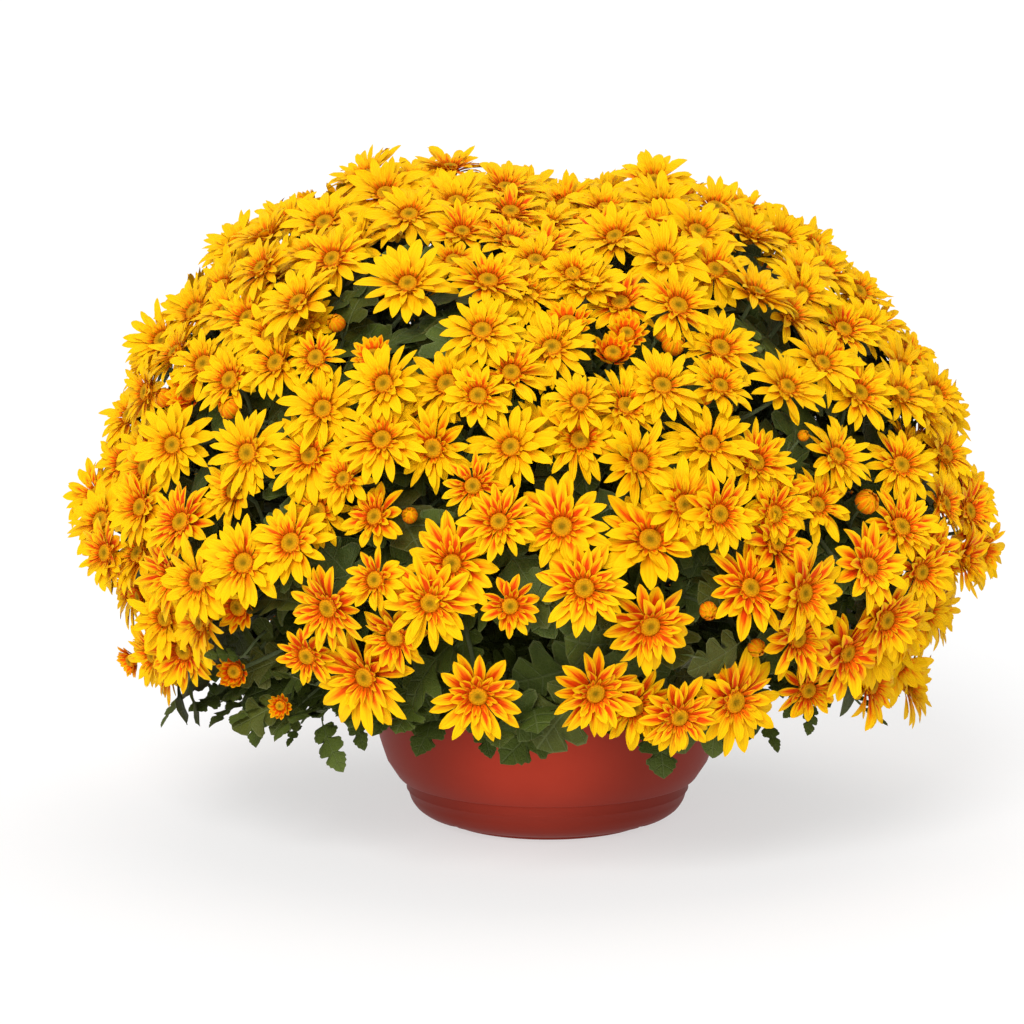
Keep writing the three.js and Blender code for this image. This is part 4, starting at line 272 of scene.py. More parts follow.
            (-56.6, -195.6, 287.5, -0.26, -0.82, 0.5, 26.2, 0.3, 0, 1), (-39.8, -199.1, 281.4, -0.2, -0.83, 0.52, 20.6, 0.6, 0, 1),
            (-91.9, -201.9, 257.7, -0.27, -0.83, 0.48, 26.9, 0.5, 0, 1), (-64.1, -208.4, 254.2, -0.29, -0.93, 0.24, 24.7, 0.5, 0, 1),
            (-67.1, -190.8, 275.3, -0.36, -0.86, 0.36, 21.8, 0.8, 0, 1), (-76.6, -213.2, 217.7, -0.27, -0.82, 0.5, 4.2, 0.9, 3, 1),
            (-124.8, -181.2, 271.8, -0.33, -0.83, 0.45, 26.9, 0.2, 0, 1), (-98.2, -169.8, 300.2, -0.31, -0.62, 0.72, 10.8, 0.9, 1, 1),
        ]),
        ((-47.8, -180.6, 156.5), [
            (-39.8, -218.2, 119.1, 0.04, -0.98, -0.17, 27.3, 0.6, 0, 1), (-22.4, -242, 173.4, 0.01, -0.97, 0.24, 17.6, 0.9, 0, 1),
            (-65.3, -241, 174.9, -0.08, -1, 0.05, 27.3, 0.3, 0, 1), (-53.5, -236.4, 195.3, -0.22, -0.93, 0.29, 28.9, 0.55, 0, 1),
            (-84.9, -219.2, 152, -0.4, -0.9, -0.17, 21.1, 0.75, 0, 1),
        ]),
        ((-37.9, -167.2, 185.2), [
            (5.6, -235.1, 215.3, -0.18, -0.89, 0.43, 29.8, 0.5, 0, 1), (-28.3, -231.5, 217.4, -0.04, -0.9, 0.44, 22.8, 0.65, 0, 1),
            (-21.8, -219.9, 256.4, -0.1, -0.92, 0.38, 26, 0.2, 0, 1), (-42.4, -217.1, 234.7, -0.17, -0.94, 0.28, 18.2, 0.8, 0, 1),
        ]),
        ((-75.8, -148.2, 225.5), [
            (-91.2, -184.7, 286.1, -0.29, -0.81, 0.52, 25.4, 0.15, 0, 1), (-113, -195.5, 235.2, -0.3, -0.88, 0.37, 19.8, 0.5, 0, 1),
        ]),
    ]),
    ("flowering_shoot_10", (40.7, -54.9), (70.4, -116.6, 178.2), [
        ((143.3, -141.2, 205), [
            (159, -156.8, 242.1, 0.65, -0.64, 0.4, 25.4, 0.5, 0, 1), (122.3, -189.3, 214.8, 0.46, -0.82, 0.34, 18.5, 0.6, 0, 1),
            (135.9, -193.4, 146.4, 0.63, -0.76, -0.17, 28.3, 0.75, 0, 1), (91, -212.4, 218.6, 0.45, -0.85, 0.26, 24.1, 0.5, 0, 1),
            (176.2, -173, 182.5, 0.58, -0.7, 0.42, 26.7, 0.65, 0, 1), (165.6, -161.6, 131.7, 0.74, -0.65, -0.18, 31.5, 0.85, 0, 1),
            (147.1, -171.6, 217, 0.57, -0.76, 0.31, 23.6, 0.5, 0, 1),
        ]),
        ((34.5, -142.6, 105.2), [
            (53, -237.6, 161.6, 0.33, -0.93, -0.16, 27.1, 0.6, 0, 1), (46.1, -206.2, 110.4, 0.36, -0.92, -0.16, 24.7, 0.4, 0, 1),
        ]),
        ((102, -178.7, 187.4), [
            (123.5, -186.7, 223.9, 0.55, -0.73, 0.41, 23.6, 0.7, 0, 1), (71.7, -218, 224.5, 0.34, -0.87, 0.36, 25.8, 0.3, 0, 1),
            (112.1, -189.8, 243.7, 0.51, -0.77, 0.38, 24.9, 0.7, 0, 1), (122.6, -203.3, 200.6, 0.57, -0.62, 0.54, 26.2, 0.7, 0, 1),
            (138.2, -203.2, 173.4, 0.64, -0.77, 0.07, 28.9, 0.4, 0, 1), (112.6, -198.5, 142.4, 0.37, -0.92, -0.16, 4.8, 0.9, 3, 1),
        ]),
        ((104.8, -129.7, 139.8), [
            (101.8, -189.3, 109.7, 0.49, -0.86, -0.15, 30.6, 0.2, 0, 1), (144.4, -157.6, 109.8, 0.48, -0.86, -0.16, 19.9, 0.8, 0, 1),
        ]),
        ((57.1, -164, 167), [
            (17.3, -246.6, 184.1, -0.03, -0.98, 0.21, 26.7, 0.6, 0, 1), (23.9, -221.5, 121.4, 0.17, -0.97, -0.17, 27.3, 0.55, 0, 1),
            (139.6, -162.6, 254.2, 0.25, -0.78, 0.57, 3, 0.1, 3, 1), (107.7, -221, 179.4, 0.37, -0.8, 0.47, 29.5, 0.75, 0, 1),
            (84.9, -222.8, 167.6, 0.28, -0.95, -0.1, 4.8, 0.9, 3, 1), (70.6, -199.5, 103.4, 0.31, -0.94, -0.16, 24.5, 0.65, 0, 1),
            (53, -231.9, 207.6, 0, -0.88, 0.47, 31.9, 0.3, 0, 1),
        ]),
    ]),
    ("flowering_shoot_11", (42.3, -40.5), (119.4, -60.9, 150), [
        ((159.9, -85.7, 136.7), [
            (206.6, -81.2, 107.5, 0.76, -0.63, -0.15, 25.4, 0.3, 0, 1), (220, -97.2, 142.3, 0.87, -0.47, -0.16, 22.5, 0.3, 0, 1),
            (184.9, -122.4, 105, 0.86, -0.51, -0.04, 25.9, 0.69, 0, 0), (199.4, -123.6, 140.1, 0.79, -0.59, -0.16, 25, 0.19, 0, 0),
            (179.8, -136.3, 128.5, 0.44, -0.88, -0.19, 26, 0.09, 0, 0), (199.8, -102.8, 125.5, 0.68, -0.72, -0.17, 25, 0.34, 0, 0),
        ]),
        ((173, -47.8, 131.9), [
            (223.2, -19.5, 125.4, 0.98, -0.04, -0.18, 25.1, 0.35, 0, 0), (235.4, -55.1, 133.9, 0.98, -0.05, -0.18, 24.5, 0.08, 0, 0),
            (213.3, -37.4, 88.4, 0.99, -0.06, -0.16, 26.5, 0.03, 0, 0),
        ]),
        ((162.4, -100.4, 163.6), [
            (187.8, -154.2, 149.1, 0.7, -0.69, -0.17, 25.8, 0.65, 0, 1), (208.7, -136.6, 173.2, 0.75, -0.66, -0.05, 24.7, 0.4, 0, 1),
            (216, -118.9, 182.1, 0.65, -0.68, 0.35, 23.2, 0.7, 0, 1), (196.8, -140.2, 199.4, 0.56, -0.63, 0.53, 25.4, 0.6, 0, 1),
            (176.3, -147.7, 214.3, 0.57, -0.55, 0.61, 6.6, 0.9, 3, 1),
        ]),
        ((161.2, -78.2, 204.8), [
            (198.6, -115.2, 230.8, 0.58, -0.7, 0.41, 23.6, 0.5, 0, 1), (173.7, -122.6, 272.9, 0.54, -0.58, 0.61, 26.2, 0.6, 0, 1),
            (203, -86.8, 268.7, 0.57, -0.44, 0.7, 25.4, 0.1, 0, 1), (208, -86.8, 237.7, 0.77, -0.43, 0.46, 25.6, 0.03, 0, 0),
            (217, -69, 256.9, 0.8, -0.42, 0.42, 23.5, 0.3, 0, 0),
        ]),
        ((182, -60, 174), [
            (254, -40.6, 169.2, 0.91, -0.4, -0.1, 23.2, 0.4, 0, 1), (232.4, -63.4, 230.6, 0.82, -0.44, 0.38, 26.2, 0.3, 0, 1),
            (246.7, -37.9, 202.6, 0.82, -0.41, 0.4, 24.7, 0.6, 0, 1), (244.3, -60.9, 195.6, 0.81, -0.41, 0.41, 25.8, 0.6, 0, 1),
            (236.4, -84.9, 172, 0.88, -0.47, 0.05, 24.2, 0.53, 0, 0), (222.1, -86, 202.7, 0.88, -0.33, 0.35, 22.6, 0.34, 0, 0),
        ]),
        ((178.9, -40.6, 202), [
            (231.1, -25.8, 262.3, 0.74, -0.31, 0.6, 24, 0.4, 0, 1), (237.5, -17.7, 248.8, 0.83, -0.44, 0.34, 23.6, 0.3, 0, 1),
            (232.1, -36.4, 230.2, 0.94, -0.32, 0.13, 26.3, 0.03, 0, 0),
        ]),
    ]),
    ("flowering_shoot_12", (59.7, 23.4), (130.3, 45.2, 150), [
        ((163.4, 83.3, 188.1), [
            (202.7, 143.9, 194.7, 0.63, 0.41, 0.66, 23.2, 0.41, 0, 0), (211.1, 107.9, 218.7, 0.83, 0.45, 0.33, 26.4, 0.12, 0, 0),
            (222.2, 97, 205.2, 0.69, 0.57, 0.44, 5.2, 0.85, 3, 0), (219, 63.3, 256.7, 0.9, 0.35, 0.27, 27.1, 0.84, 0, 0),
            (194.2, 82.3, 283.2, 0.77, 0.43, 0.47, 25.5, 0.61, 0, 0),
        ]),
        ((172.8, 51.1, 207.4), [
            (196.6, 48.8, 290.2, 0.59, 0.45, 0.67, 25, 0.28, 0, 0), (231.7, 23.6, 255.5, 0.91, 0.38, 0.14, 26.9, 0.5, 0, 0),
            (229.2, 53, 222, 0.95, 0.29, 0.15, 26.6, 0.03, 0, 0), (216.6, 27.7, 280.9, 0.72, 0.17, 0.67, 4.7, 0.85, 3, 0),
            (188, 139.8, 234.4, 0.67, 0.64, 0.38, 25.3, 0.55, 0, 0), (196.5, 104.9, 257.6, 0.75, 0.31, 0.58, 27.5, 0.41, 0, 0),
        ]),
        ((174.4, 66.9, 148), [
            (230.5, 80.7, 144.5, 0.9, 0.4, -0.17, 24, 0.22, 0, 0), (200.8, 60.7, 101.4, 0.9, 0.4, -0.15, 27, 0.2, 0, 0),
            (189.4, 105.5, 104.8, 0.89, 0.45, 0.06, 22.8, 0.52, 0, 0), (242.3, 72.4, 187.6, 0.95, 0.09, 0.29, 26.4, 0.52, 0, 0),
            (206.5, 118.8, 142.8, 0.8, 0.57, -0.18, 25.4, 0.03, 0, 0), (224.3, 103.6, 174.2, 0.85, 0.39, 0.36, 25.6, 0.12, 0, 0),
        ]),
        ((189.3, 27.2, 155.9), [
            (240, 18.2, 206.6, 0.89, 0.01, 0.46, 25.6, 0.35, 0, 0), (244.6, 39.4, 145.4, 0.97, 0.14, -0.19, 23.8, 0.46, 0, 0),
            (212.6, 20.8, 113.3, 0.99, 0.08, -0.15, 23.1, 0.21, 0, 0), (252, -2, 174, 1, -0.01, -0.03, 25, 0.72, 0, 0),
        ]),
    ]),
    ("flowering_shoot_13", (8.6, 65.1), (54.3, 126.1, 150), [
        ((108.3, 144.5, 132.7), [
            (184.8, 156.3, 137.4, 0.68, 0.71, -0.17, 23.3, 0.54, 0, 0), (123.9, 185.1, 115.7, 0.51, 0.85, -0.15, 23.6, 0.86, 0, 0),
            (162.7, 144.4, 92.2, 0.68, 0.71, -0.16, 25.5, 0.36, 0, 0), (156.9, 173.9, 123.8, 0.69, 0.71, -0.17, 23.9, 0.65, 0, 0),
        ]),
        ((58.2, 178.4, 182.3), [
            (36.2, 239.5, 186.7, 0.09, 0.91, 0.41, 25.6, 0.37, 0, 0), (41, 229.2, 227.5, 0.08, 0.85, 0.53, 26, 0.15, 0, 0),
            (97.2, 212.7, 239.3, 0.39, 0.9, 0.2, 22.8, 0.67, 0, 0), (76.6, 229.4, 191.6, 0.21, 0.93, 0.3, 26.3, 0.48, 0, 0),
        ]),
        ((59.9, 172, 136.9), [
            (70.8, 211.2, 116.5, 0.07, 0.98, -0.19, 23.1, 0.44, 0, 0), (97.7, 220.2, 147.8, 0.42, 0.89, -0.18, 22.7, 0.28, 0, 0),
            (30.8, 228.6, 145.1, 0.05, 0.99, -0.16, 26, 0.1, 0, 0), (37.2, 206.7, 91.4, 0.32, 0.93, -0.19, 24.4, 0.29, 0, 0),
            (65.6, 239.4, 158.8, 0.14, 0.98, -0.15, 23.5, 0.36, 0, 0), (94.4, 192.6, 90.1, 0.38, 0.91, -0.16, 22.5, 0.03, 0, 0),
        ]),
        ((107.4, 158.8, 168), [
            (147.7, 195.2, 210.7, 0.55, 0.73, 0.4, 25.4, 0.22, 0, 0), (118.1, 214.9, 186.4, 0.38, 0.82, 0.42, 25.1, 0.41, 0, 0),
            (163.3, 192.7, 169.6, 0.74, 0.67, -0.08, 24.1, 0.79, 0, 0), (177.9, 169.6, 210.5, 0.58, 0.72, 0.37, 10.6, 0.62, 1, 0),
            (187.4, 166.6, 174.1, 0.7, 0.68, 0.22, 24.6, 0.37, 0, 0), (135, 206.7, 153.6, 0.4, 0.9, -0.15, 26, 0.47, 0, 0),
        ]),
    ]),
    ("flowering_shoot_14", (-5.6, 62.2), (-41.4, 148.7, 125), [
        ((-40.1, 231, 150.5), [
            (-35.7, 240.5, 181.1, -0.14, 0.93, 0.33, 26.7, 0.39, 0, 0), (-142.4, 206, 147.2, -0.55, 0.82, -0.13, 25.3, 0.09, 0, 0),
            (-7.6, 237.9, 196.8, 0.06, 0.88, 0.47, 25.5, 0.03, 0, 0), (-138.8, 189.4, 121.7, -0.64, 0.75, -0.16, 5.5, 0.85, 3, 0),
            (-11.1, 214.5, 98.8, -0.07, 0.98, -0.16, 22.8, 0.41, 0, 0), (-16.5, 242.1, 154.4, 0.08, 0.98, -0.17, 26.1, 0.36, 0, 0),
            (-103.9, 222.8, 161, -0.2, 0.96, -0.18, 23.4, 0.33, 0, 0),
        ]),
        ((-18.8, 202.1, 131), [
            (-47.7, 198.4, 92.5, -0.14, 0.98, -0.16, 26.6, 0.43, 0, 0), (-60, 228.6, 135.8, -0.03, 0.99, -0.16, 23.9, 0.32, 0, 0),
            (-109.4, 223.1, 210.3, -0.15, 0.89, 0.43, 22.9, 0.09, 0, 0), (2.9, 229.5, 125.7, -0.23, 0.96, -0.16, 23.9, 0.3, 0, 0),
            (-69.1, 236.8, 182.2, 0, 0.95, 0.31, 26.5, 0.37, 0, 0),
        ]),
        ((-162.3, 177.5, 149), [
            (-128.5, 188.1, 106.7, -0.35, 0.92, -0.16, 23.9, 0.1, 0, 0), (-133.1, 226.9, 180.4, -0.31, 0.86, 0.41, 24.8, 0.62, 0, 0),
            (-82.3, 202, 107.2, -0.41, 0.9, -0.17, 24.2, 0.66, 0, 0),
        ]),
    ]),
    ("flowering_shoot_15", (-55.7, 31.6), (-125.8, 87.7, 130), [
        ((-172.5, 82.8, 195.1), [
            (-217.1, 128.3, 222.2, -0.74, 0.54, 0.41, 23.2, 0.77, 0, 0), (-222.4, 92.2, 246.4, -0.87, 0.18, 0.46, 24.2, 0.48, 0, 0),
            (-227, 133.6, 190.8, -0.71, 0.68, 0.18, 4.7, 0.85, 3, 0), (-164.4, 183.2, 223.9, -0.32, 0.81, 0.49, 12, 0.65, 1, 0),
            (-180.5, 149.2, 268.6, -0.65, 0.57, 0.5, 25.1, 0.14, 0, 0), (-234.7, 117, 183.3, -0.78, 0.46, 0.42, 24.7, 0.07, 0, 0),
            (-152.6, 203.6, 197.6, -0.48, 0.74, 0.48, 26.7, 0.48, 0, 0),
        ]),
        ((-161.8, 132.4, 136.1), [
            (-161.2, 145, 89.6, -0.74, 0.65, -0.19, 25.8, 0.6, 0, 0), (-188.4, 156, 127.9, -0.55, 0.82, -0.15, 22.5, 0.51, 0, 0),
            (-146.7, 178.7, 115.2, -0.76, 0.63, -0.15, 3.7, 0.85, 3, 0), (-210.4, 146.4, 208.4, -0.55, 0.76, 0.36, 4.7, 0.85, 3, 0),
        ]),
        ((-142.4, 138.1, 166.4), [
            (-217.8, 157, 177, -0.8, 0.6, 0.06, 26.8, 0.51, 0, 0), (-162.3, 182.4, 126, -0.54, 0.83, -0.16, 24.9, 0.6, 0, 0),
            (-168.7, 162.8, 116.9, -0.77, 0.61, -0.18, 5.2, 0.85, 3, 0), (-182, 176.9, 165.2, -0.62, 0.77, -0.17, 24.5, 0.38, 0, 0),
            (-195.3, 167.3, 215, -0.72, 0.32, 0.62, 22.8, 0.16, 0, 0), (-201.2, 117.4, 268, -0.82, 0.3, 0.49, 25.5, 0.5, 0, 0),
        ]),
        ((-179.8, 62.5, 160.8), [
            (-195.7, 118.8, 101.3, -0.73, 0.64, -0.22, 23.3, 0.93, 0, 0), (-207.4, 81, 91.9, -0.92, 0.34, -0.17, 24.3, 0.82, 0, 0),
            (-221, 97.6, 119.6, -0.87, 0.47, -0.16, 24.9, 0.14, 0, 0), (-217.1, 124, 141.3, -0.78, 0.61, -0.15, 23.9, 0.32, 0, 0),
        ]),
    ]),
    ("flowering_shoot_16", (-55.2, 17.1), (-144.8, 31.6, 139.3), [
        ((-228.6, 62.4, 150.9), [
            (-229.4, 63.7, 117.9, -0.9, 0.41, -0.15, 23.8, 0.27, 0, 0), (-247, 34.6, 139.5, -0.95, 0.31, 0.03, 24.7, 0.03, 0, 0),
            (-245.6, 48.8, 134.5, -0.97, 0.2, 0.16, 4.5, 0.85, 3, 0), (-248.1, 82.6, 207.4, -0.71, 0.24, 0.66, 26, 0.49, 0, 0),
            (-269.6, -1.1, 172.9, -0.98, 0.07, -0.17, 12.9, 0.36, 1, 0), (-246.8, -15.8, 245.6, -0.73, -0.35, 0.59, 23.6, 0.4, 0, 1),
            (-218.4, 49.7, 90.1, -0.95, 0.24, -0.21, 11.1, 0.66, 1, 0), (-254.4, 29, 215.5, -0.96, 0.16, 0.22, 23.3, 0.03, 0, 0),
        ]),
        ((-147.1, -4.9, 181.5), [
            (-271.1, 36.6, 171.7, -0.97, 0.17, -0.16, 26.8, 0.32, 0, 0), (-254.3, -34, 220.9, -0.83, -0.46, 0.32, 25.4, 0.5, 0, 1),
        ]),
        ((-190.5, 28.1, 105.9), [
            (-244.2, 77.7, 150.7, -0.97, 0.18, -0.16, 26.9, 0.74, 0, 0), (-246.4, -49.9, 104.2, -0.82, -0.55, -0.17, 9, 0.85, 1, 1),
            (-234.9, 19.6, 96.5, -0.96, 0.23, -0.16, 27.4, 0.17, 0, 0), (-246.2, 24.3, 116.9, -0.88, 0.46, -0.16, 4.6, 0.85, 3, 0),
        ]),
        ((-213.7, -6.2, 152), [
            (-239.7, 25.4, 244.7, -0.83, 0.23, 0.5, 24, 0.43, 0, 0), (-259.6, -39.6, 165.4, -0.98, -0.07, -0.18, 22.7, 0.65, 0, 0),
            (-271.5, -17.6, 198.8, -0.75, -0.47, 0.46, 24.7, 0.4, 0, 1), (-263, -63.1, 190.7, -0.78, -0.4, 0.49, 25.4, 0.2, 0, 1),
            (-258.7, -5.4, 139.1, -0.99, 0.07, -0.15, 25.8, 0.59, 0, 0), (-238.3, 56.2, 234.6, -0.83, 0.25, 0.49, 27.4, 0.26, 0, 0),
            (-231.5, -19, 92.5, -0.95, -0.26, -0.16, 23, 0.87, 0, 0),
        ]),
    ]),
]

# name, base, tip, the side that the blade faces, width for its length, droop
LEAVES = [
    ("leaf_front_left", (-61, -128, 95.6), (-75.3, -152, 70.2), (-0.28, -0.84, 0.45), 0.46, 0.12),
    ("leaf_front_mid_left", (-37.2, -130, 91.4), (-33.1, -150, 68.6), (-0.18, -0.87, 0.45), 0.40, 0.10),
    ("leaf_front_mid", (9.3, -132, 94.1), (-28, -156, 67.1), (0.05, -0.89, 0.45), 0.50, 0.14),
    ("leaf_front_right", (59.9, -128, 90.9), (64.4, -150, 57.1), (0.28, -0.85, 0.45), 0.52, 0.12),
    ("leaf_front_far_left", (-94.8, -120, 96.2), (-100.6, -135, 78.5), (-0.42, -0.78, 0.46), 0.45, 0.10),
    ("leaf_left_1", (-130.3, -111, 83.7), (-116.9, -134, 57.2), (-0.54, -0.69, 0.48), 0.46, 0.10),
    ("leaf_left_2", (-109.8, -98, 91), (-105.4, -120, 66.4), (-0.48, -0.74, 0.47), 0.45, 0.10),
    ("leaf_left_3", (-165.9, -85, 88.8), (-168.3, -105, 64.9), (-0.64, -0.59, 0.49), 0.55, 0.10),
    ("leaf_left_4", (-177.6, -65, 84.6), (-196.7, -85, 72.3), (-0.69, -0.53, 0.50), 0.50, 0.10),
    ("leaf_left_5", (-189.1, -50, 87.5), (-203.3, -65, 82.8), (-0.72, -0.47, 0.51), 0.40, 0.08),
    ("leaf_left_6", (-215.4, -30, 82.1), (-228, -45, 63.6), (-0.76, -0.39, 0.52), 0.22, 0.05),
    ("leaf_left_7", (-142, -100, 79.1), (-150.2, -110, 66.6), (-0.57, -0.66, 0.48), 0.36, 0.05),
    ("leaf_left_8", (-172.7, -152, 127.2), (-193.2, -165, 130.6), (-0.54, -0.69, 0.48), 0.45, 0.10),
    ("leaf_left_9", (-169.9, -125, 120.4), (-191.3, -150, 128.9), (-0.56, -0.67, 0.48), 0.42, 0.10),
    ("leaf_right_1", (118.4, -118, 88.8), (129.5, -135, 68.7), (0.48, -0.74, 0.47), 0.26, 0.08),
    ("leaf_right_2", (151.4, -95, 90.9), (147.7, -110, 73.1), (0.60, -0.64, 0.48), 0.48, 0.08),
    ("leaf_right_3", (143.4, -110, 98.8), (132.8, -125, 86.8), (0.55, -0.68, 0.48), 0.45, 0.08),
    ("leaf_right_4", (177.4, -60, 87.2), (193.6, -70, 78.6), (0.70, -0.51, 0.50), 0.24, 0.05),
    ("leaf_right_5", (184.2, -50, 77.9), (198.9, -58, 67.6), (0.72, -0.47, 0.51), 0.20, 0.05),
    ("leaf_right_6", (190.8, -40, 89), (206.4, -50, 83.3), (0.74, -0.44, 0.52), 0.35, 0.05),
    ("leaf_back_1", (128.2, -25.4, 104.5), (167.8, -33.9, 79.4), (0.80, -0.16, 0.57), 0.47, 0.10),
    ("leaf_back_2", (156.6, 31.8, 108.2), (182.3, 48.3, 86), (0.80, 0.16, 0.57), 0.48, 0.10),
    ("leaf_back_3", (128, 40, 102.4), (152.5, 56.9, 78), (0.78, 0.24, 0.57), 0.45, 0.10),
    ("leaf_back_4", (111.1, 73.1, 108), (142.7, 90.1, 79.9), (0.68, 0.45, 0.57), 0.50, 0.10),
    ("leaf_back_5", (87.8, 123, 105.7), (94.2, 157.4, 68.4), (0.48, 0.67, 0.57), 0.50, 0.10),
    ("leaf_back_6", (64.8, 127.2, 99), (84.9, 147.2, 69.3), (0.37, 0.73, 0.57), 0.51, 0.10),
    ("leaf_back_7", (12, 149.2, 106.6), (22.9, 176, 76.5), (0.07, 0.82, 0.57), 0.43, 0.10),
    ("leaf_back_8", (-7.5, 156.8, 102.2), (-17.8, 189.5, 69.7), (-0.04, 0.82, 0.57), 0.46, 0.10),
    ("leaf_back_9", (-67.9, 141.3, 107.1), (-91.1, 166.9, 72.5), (-0.36, 0.74, 0.57), 0.49, 0.10),
    ("leaf_back_10", (-95.2, 105, 106.6), (-115.8, 135.6, 86.8), (-0.55, 0.61, 0.57), 0.50, 0.10),
    ("leaf_back_11", (-115.3, 89.1, 108.4), (-129.3, 107.2, 77.3), (-0.65, 0.50, 0.57), 0.50, 0.10),
    ("leaf_back_12", (-151.1, 54.4, 107.1), (-183.6, 57.6, 73), (-0.77, 0.28, 0.57), 0.46, 0.10),
    ("leaf_back_13", (-148.1, 23.2, 107.2), (-175.1, 35.3, 73.1), (-0.81, 0.13, 0.57), 0.45, 0.10),
    ("leaf_back_14", (-132.1, -17.1, 102.2), (-154.6, -24.6, 73.3), (-0.81, -0.11, 0.57), 0.48, 0.10),
]

# ------------------------------------------------------------------ camera, floor and light
LENS, PITCH = 143.7, math.radians(9.25)
EYE = np.array([-0.0213, -2.4, 0.576]) + AXIS

scene = bpy.context.scene
scene.view_settings.view_transform = "Standard"
scene.view_settings.look = "None"
camera_data = bpy.data.cameras.new("camera")
camera_data.lens, camera_data.sensor_width = LENS, 36.0
camera_data.clip_end = 200
camera = bpy.data.objects.new("camera", camera_data)
camera.location = EYE
camera.rotation_euler = (math.pi / 2 - PITCH, 0, 0)
scene.collection.objects.link(camera)
scene.camera = camera


def far_light(name, side, high, soft, level):
    """A wide soft light from far away, side degrees right of the camera and high degrees up. It is as bright all over the floor."""
    data = bpy.data.lights.new(name, "SUN")
    data.energy, data.angle = level * math.pi, math.radians(soft)
    light = bpy.data.objects.new(name, data)
    light.rotation_euler = (math.radians(90 - high), 0, math.radians(side))
    light.location = (math.sin(math.radians(side)) * 3, -math.cos(math.radians(side)) * 3, 3)
    scene.collection.objects.link(light)
    return light


far_light("key", -16, 39, 24, 0.575)
far_light("front_fill", -7, 13, 36, 0.37)
far_light("overhead", 170, 76, 55, 0.24)


# ------------------------------------------------------------------ material helper
class Web:
    """A material and short names for what its nodes do."""

    def __init__(self, name):
        self.mat = bpy.data.materials.new(name)
        self.mat.use_nodes = True
        self.tree = self.mat.node_tree
        self.tree.nodes.clear()
        self.out = self.tree.nodes.new("ShaderNodeOutputMaterial")

    def node(self, kind, **settings):
        made = self.tree.nodes.new(kind)
        for key, value in settings.items():
            setattr(made, key, value)
        return made

    def put(self, value, socket):
        if isinstance(value, bpy.types.NodeSocket):
            self.tree.links.new(value, socket)
        elif value is not None:
            if isinstance(value, (tuple, list)) and len(value) == 3 and socket.type == "RGBA":
                value = (*value, 1.0)
            socket.default_value = value

    def math(self, kind, a, b=None, c=None, clamp=False):
        made = self.node("ShaderNodeMath", operation=kind, use_clamp=clamp)
        for value, socket in zip((a, b, c), made.inputs):
            self.put(value, socket)
        return made.outputs[0]

    def mul(self, a, b):
        return self.math("MULTIPLY", a, b)

    def add(self, a, b):
        return self.math("ADD", a, b)

    def sub(self, a, b):
        return self.math("SUBTRACT", a, b)

    def fade(self, x, start, end, low=0.0, high=1.0):
        """low at start, high at end, and smooth between them."""
        made = self.node("ShaderNodeMapRange", interpolation_type="SMOOTHSTEP")
        for value, name in zip((x, start, end, low, high), ("Value", "From Min", "From Max", "To Min", "To Max")):
            self.put(value, made.inputs[name])
        return made.outputs[0]

    def mix(self, share, a, b, blend="MIX"):
        made = self.node("ShaderNodeMix", data_type="RGBA", blend_type=blend)
        self.put(share, made.inputs[0])
        self.put(a, made.inputs[6])
        self.put(b, made.inputs[7])
        return made.outputs[2]

    def three(self, name):
        """The three numbers of a mesh attribute."""
        read = self.node("ShaderNodeAttribute", attribute_name=name)
        split = self.node("ShaderNodeSeparateXYZ")
        self.put(read.outputs["Vector"], split.inputs[0])
        return split.outputs[0], split.outputs[1], split.outputs[2]

    def join(self, x, y, z):
        made = self.node("ShaderNodeCombineXYZ")
        for value, socket in zip((x, y, z), made.inputs):
            self.put(value, socket)
        return made.outputs[0]

    def noise(self, at, scale, detail=2.0, rough=0.5):
        made = self.node("ShaderNodeTexNoise")
        self.put(at, made.inputs["Vector"])
        made.inputs["Scale"].default_value = scale
        made.inputs["Detail"].default_value = detail
        made.inputs["Roughness"].default_value = rough
        return made.outputs["Fac"]

    def cells(self, at, scale, feature="F1"):
        made = self.node("ShaderNodeTexVoronoi", feature=feature)
        self.put(at, made.inputs["Vector"])
        made.inputs["Scale"].default_value = scale
        return made.outputs["Distance"]

    def place(self):
        return self.node("ShaderNodeTexCoord").outputs["Object"]

    def bump(self, height, depth, strength=1.0):
        made = self.node("ShaderNodeBump")
        made.inputs["Strength"].default_value = strength
        made.inputs["Distance"].default_value = depth
        self.put(height, made.inputs["Height"])
        return made.outputs[0]

    def finish(self, **sockets):
        """The surface: names of the shader's sockets, with _ for a space."""
        shader = self.node("ShaderNodeBsdfPrincipled")
        for name, value in sockets.items():
            self.put(value, shader.inputs[name.replace("_", " ")])
        self.put(shader.outputs[0], self.out.inputs["Surface"])
        return self.mat


def srgb(r, g, b):
    """Linear light from a colour's 0 to 255 display values."""
    return tuple(c / 12.92 if c <= 0.04045 else ((c + 0.055) / 1.055) ** 2.4 for c in (r / 255, g / 255, b / 255))


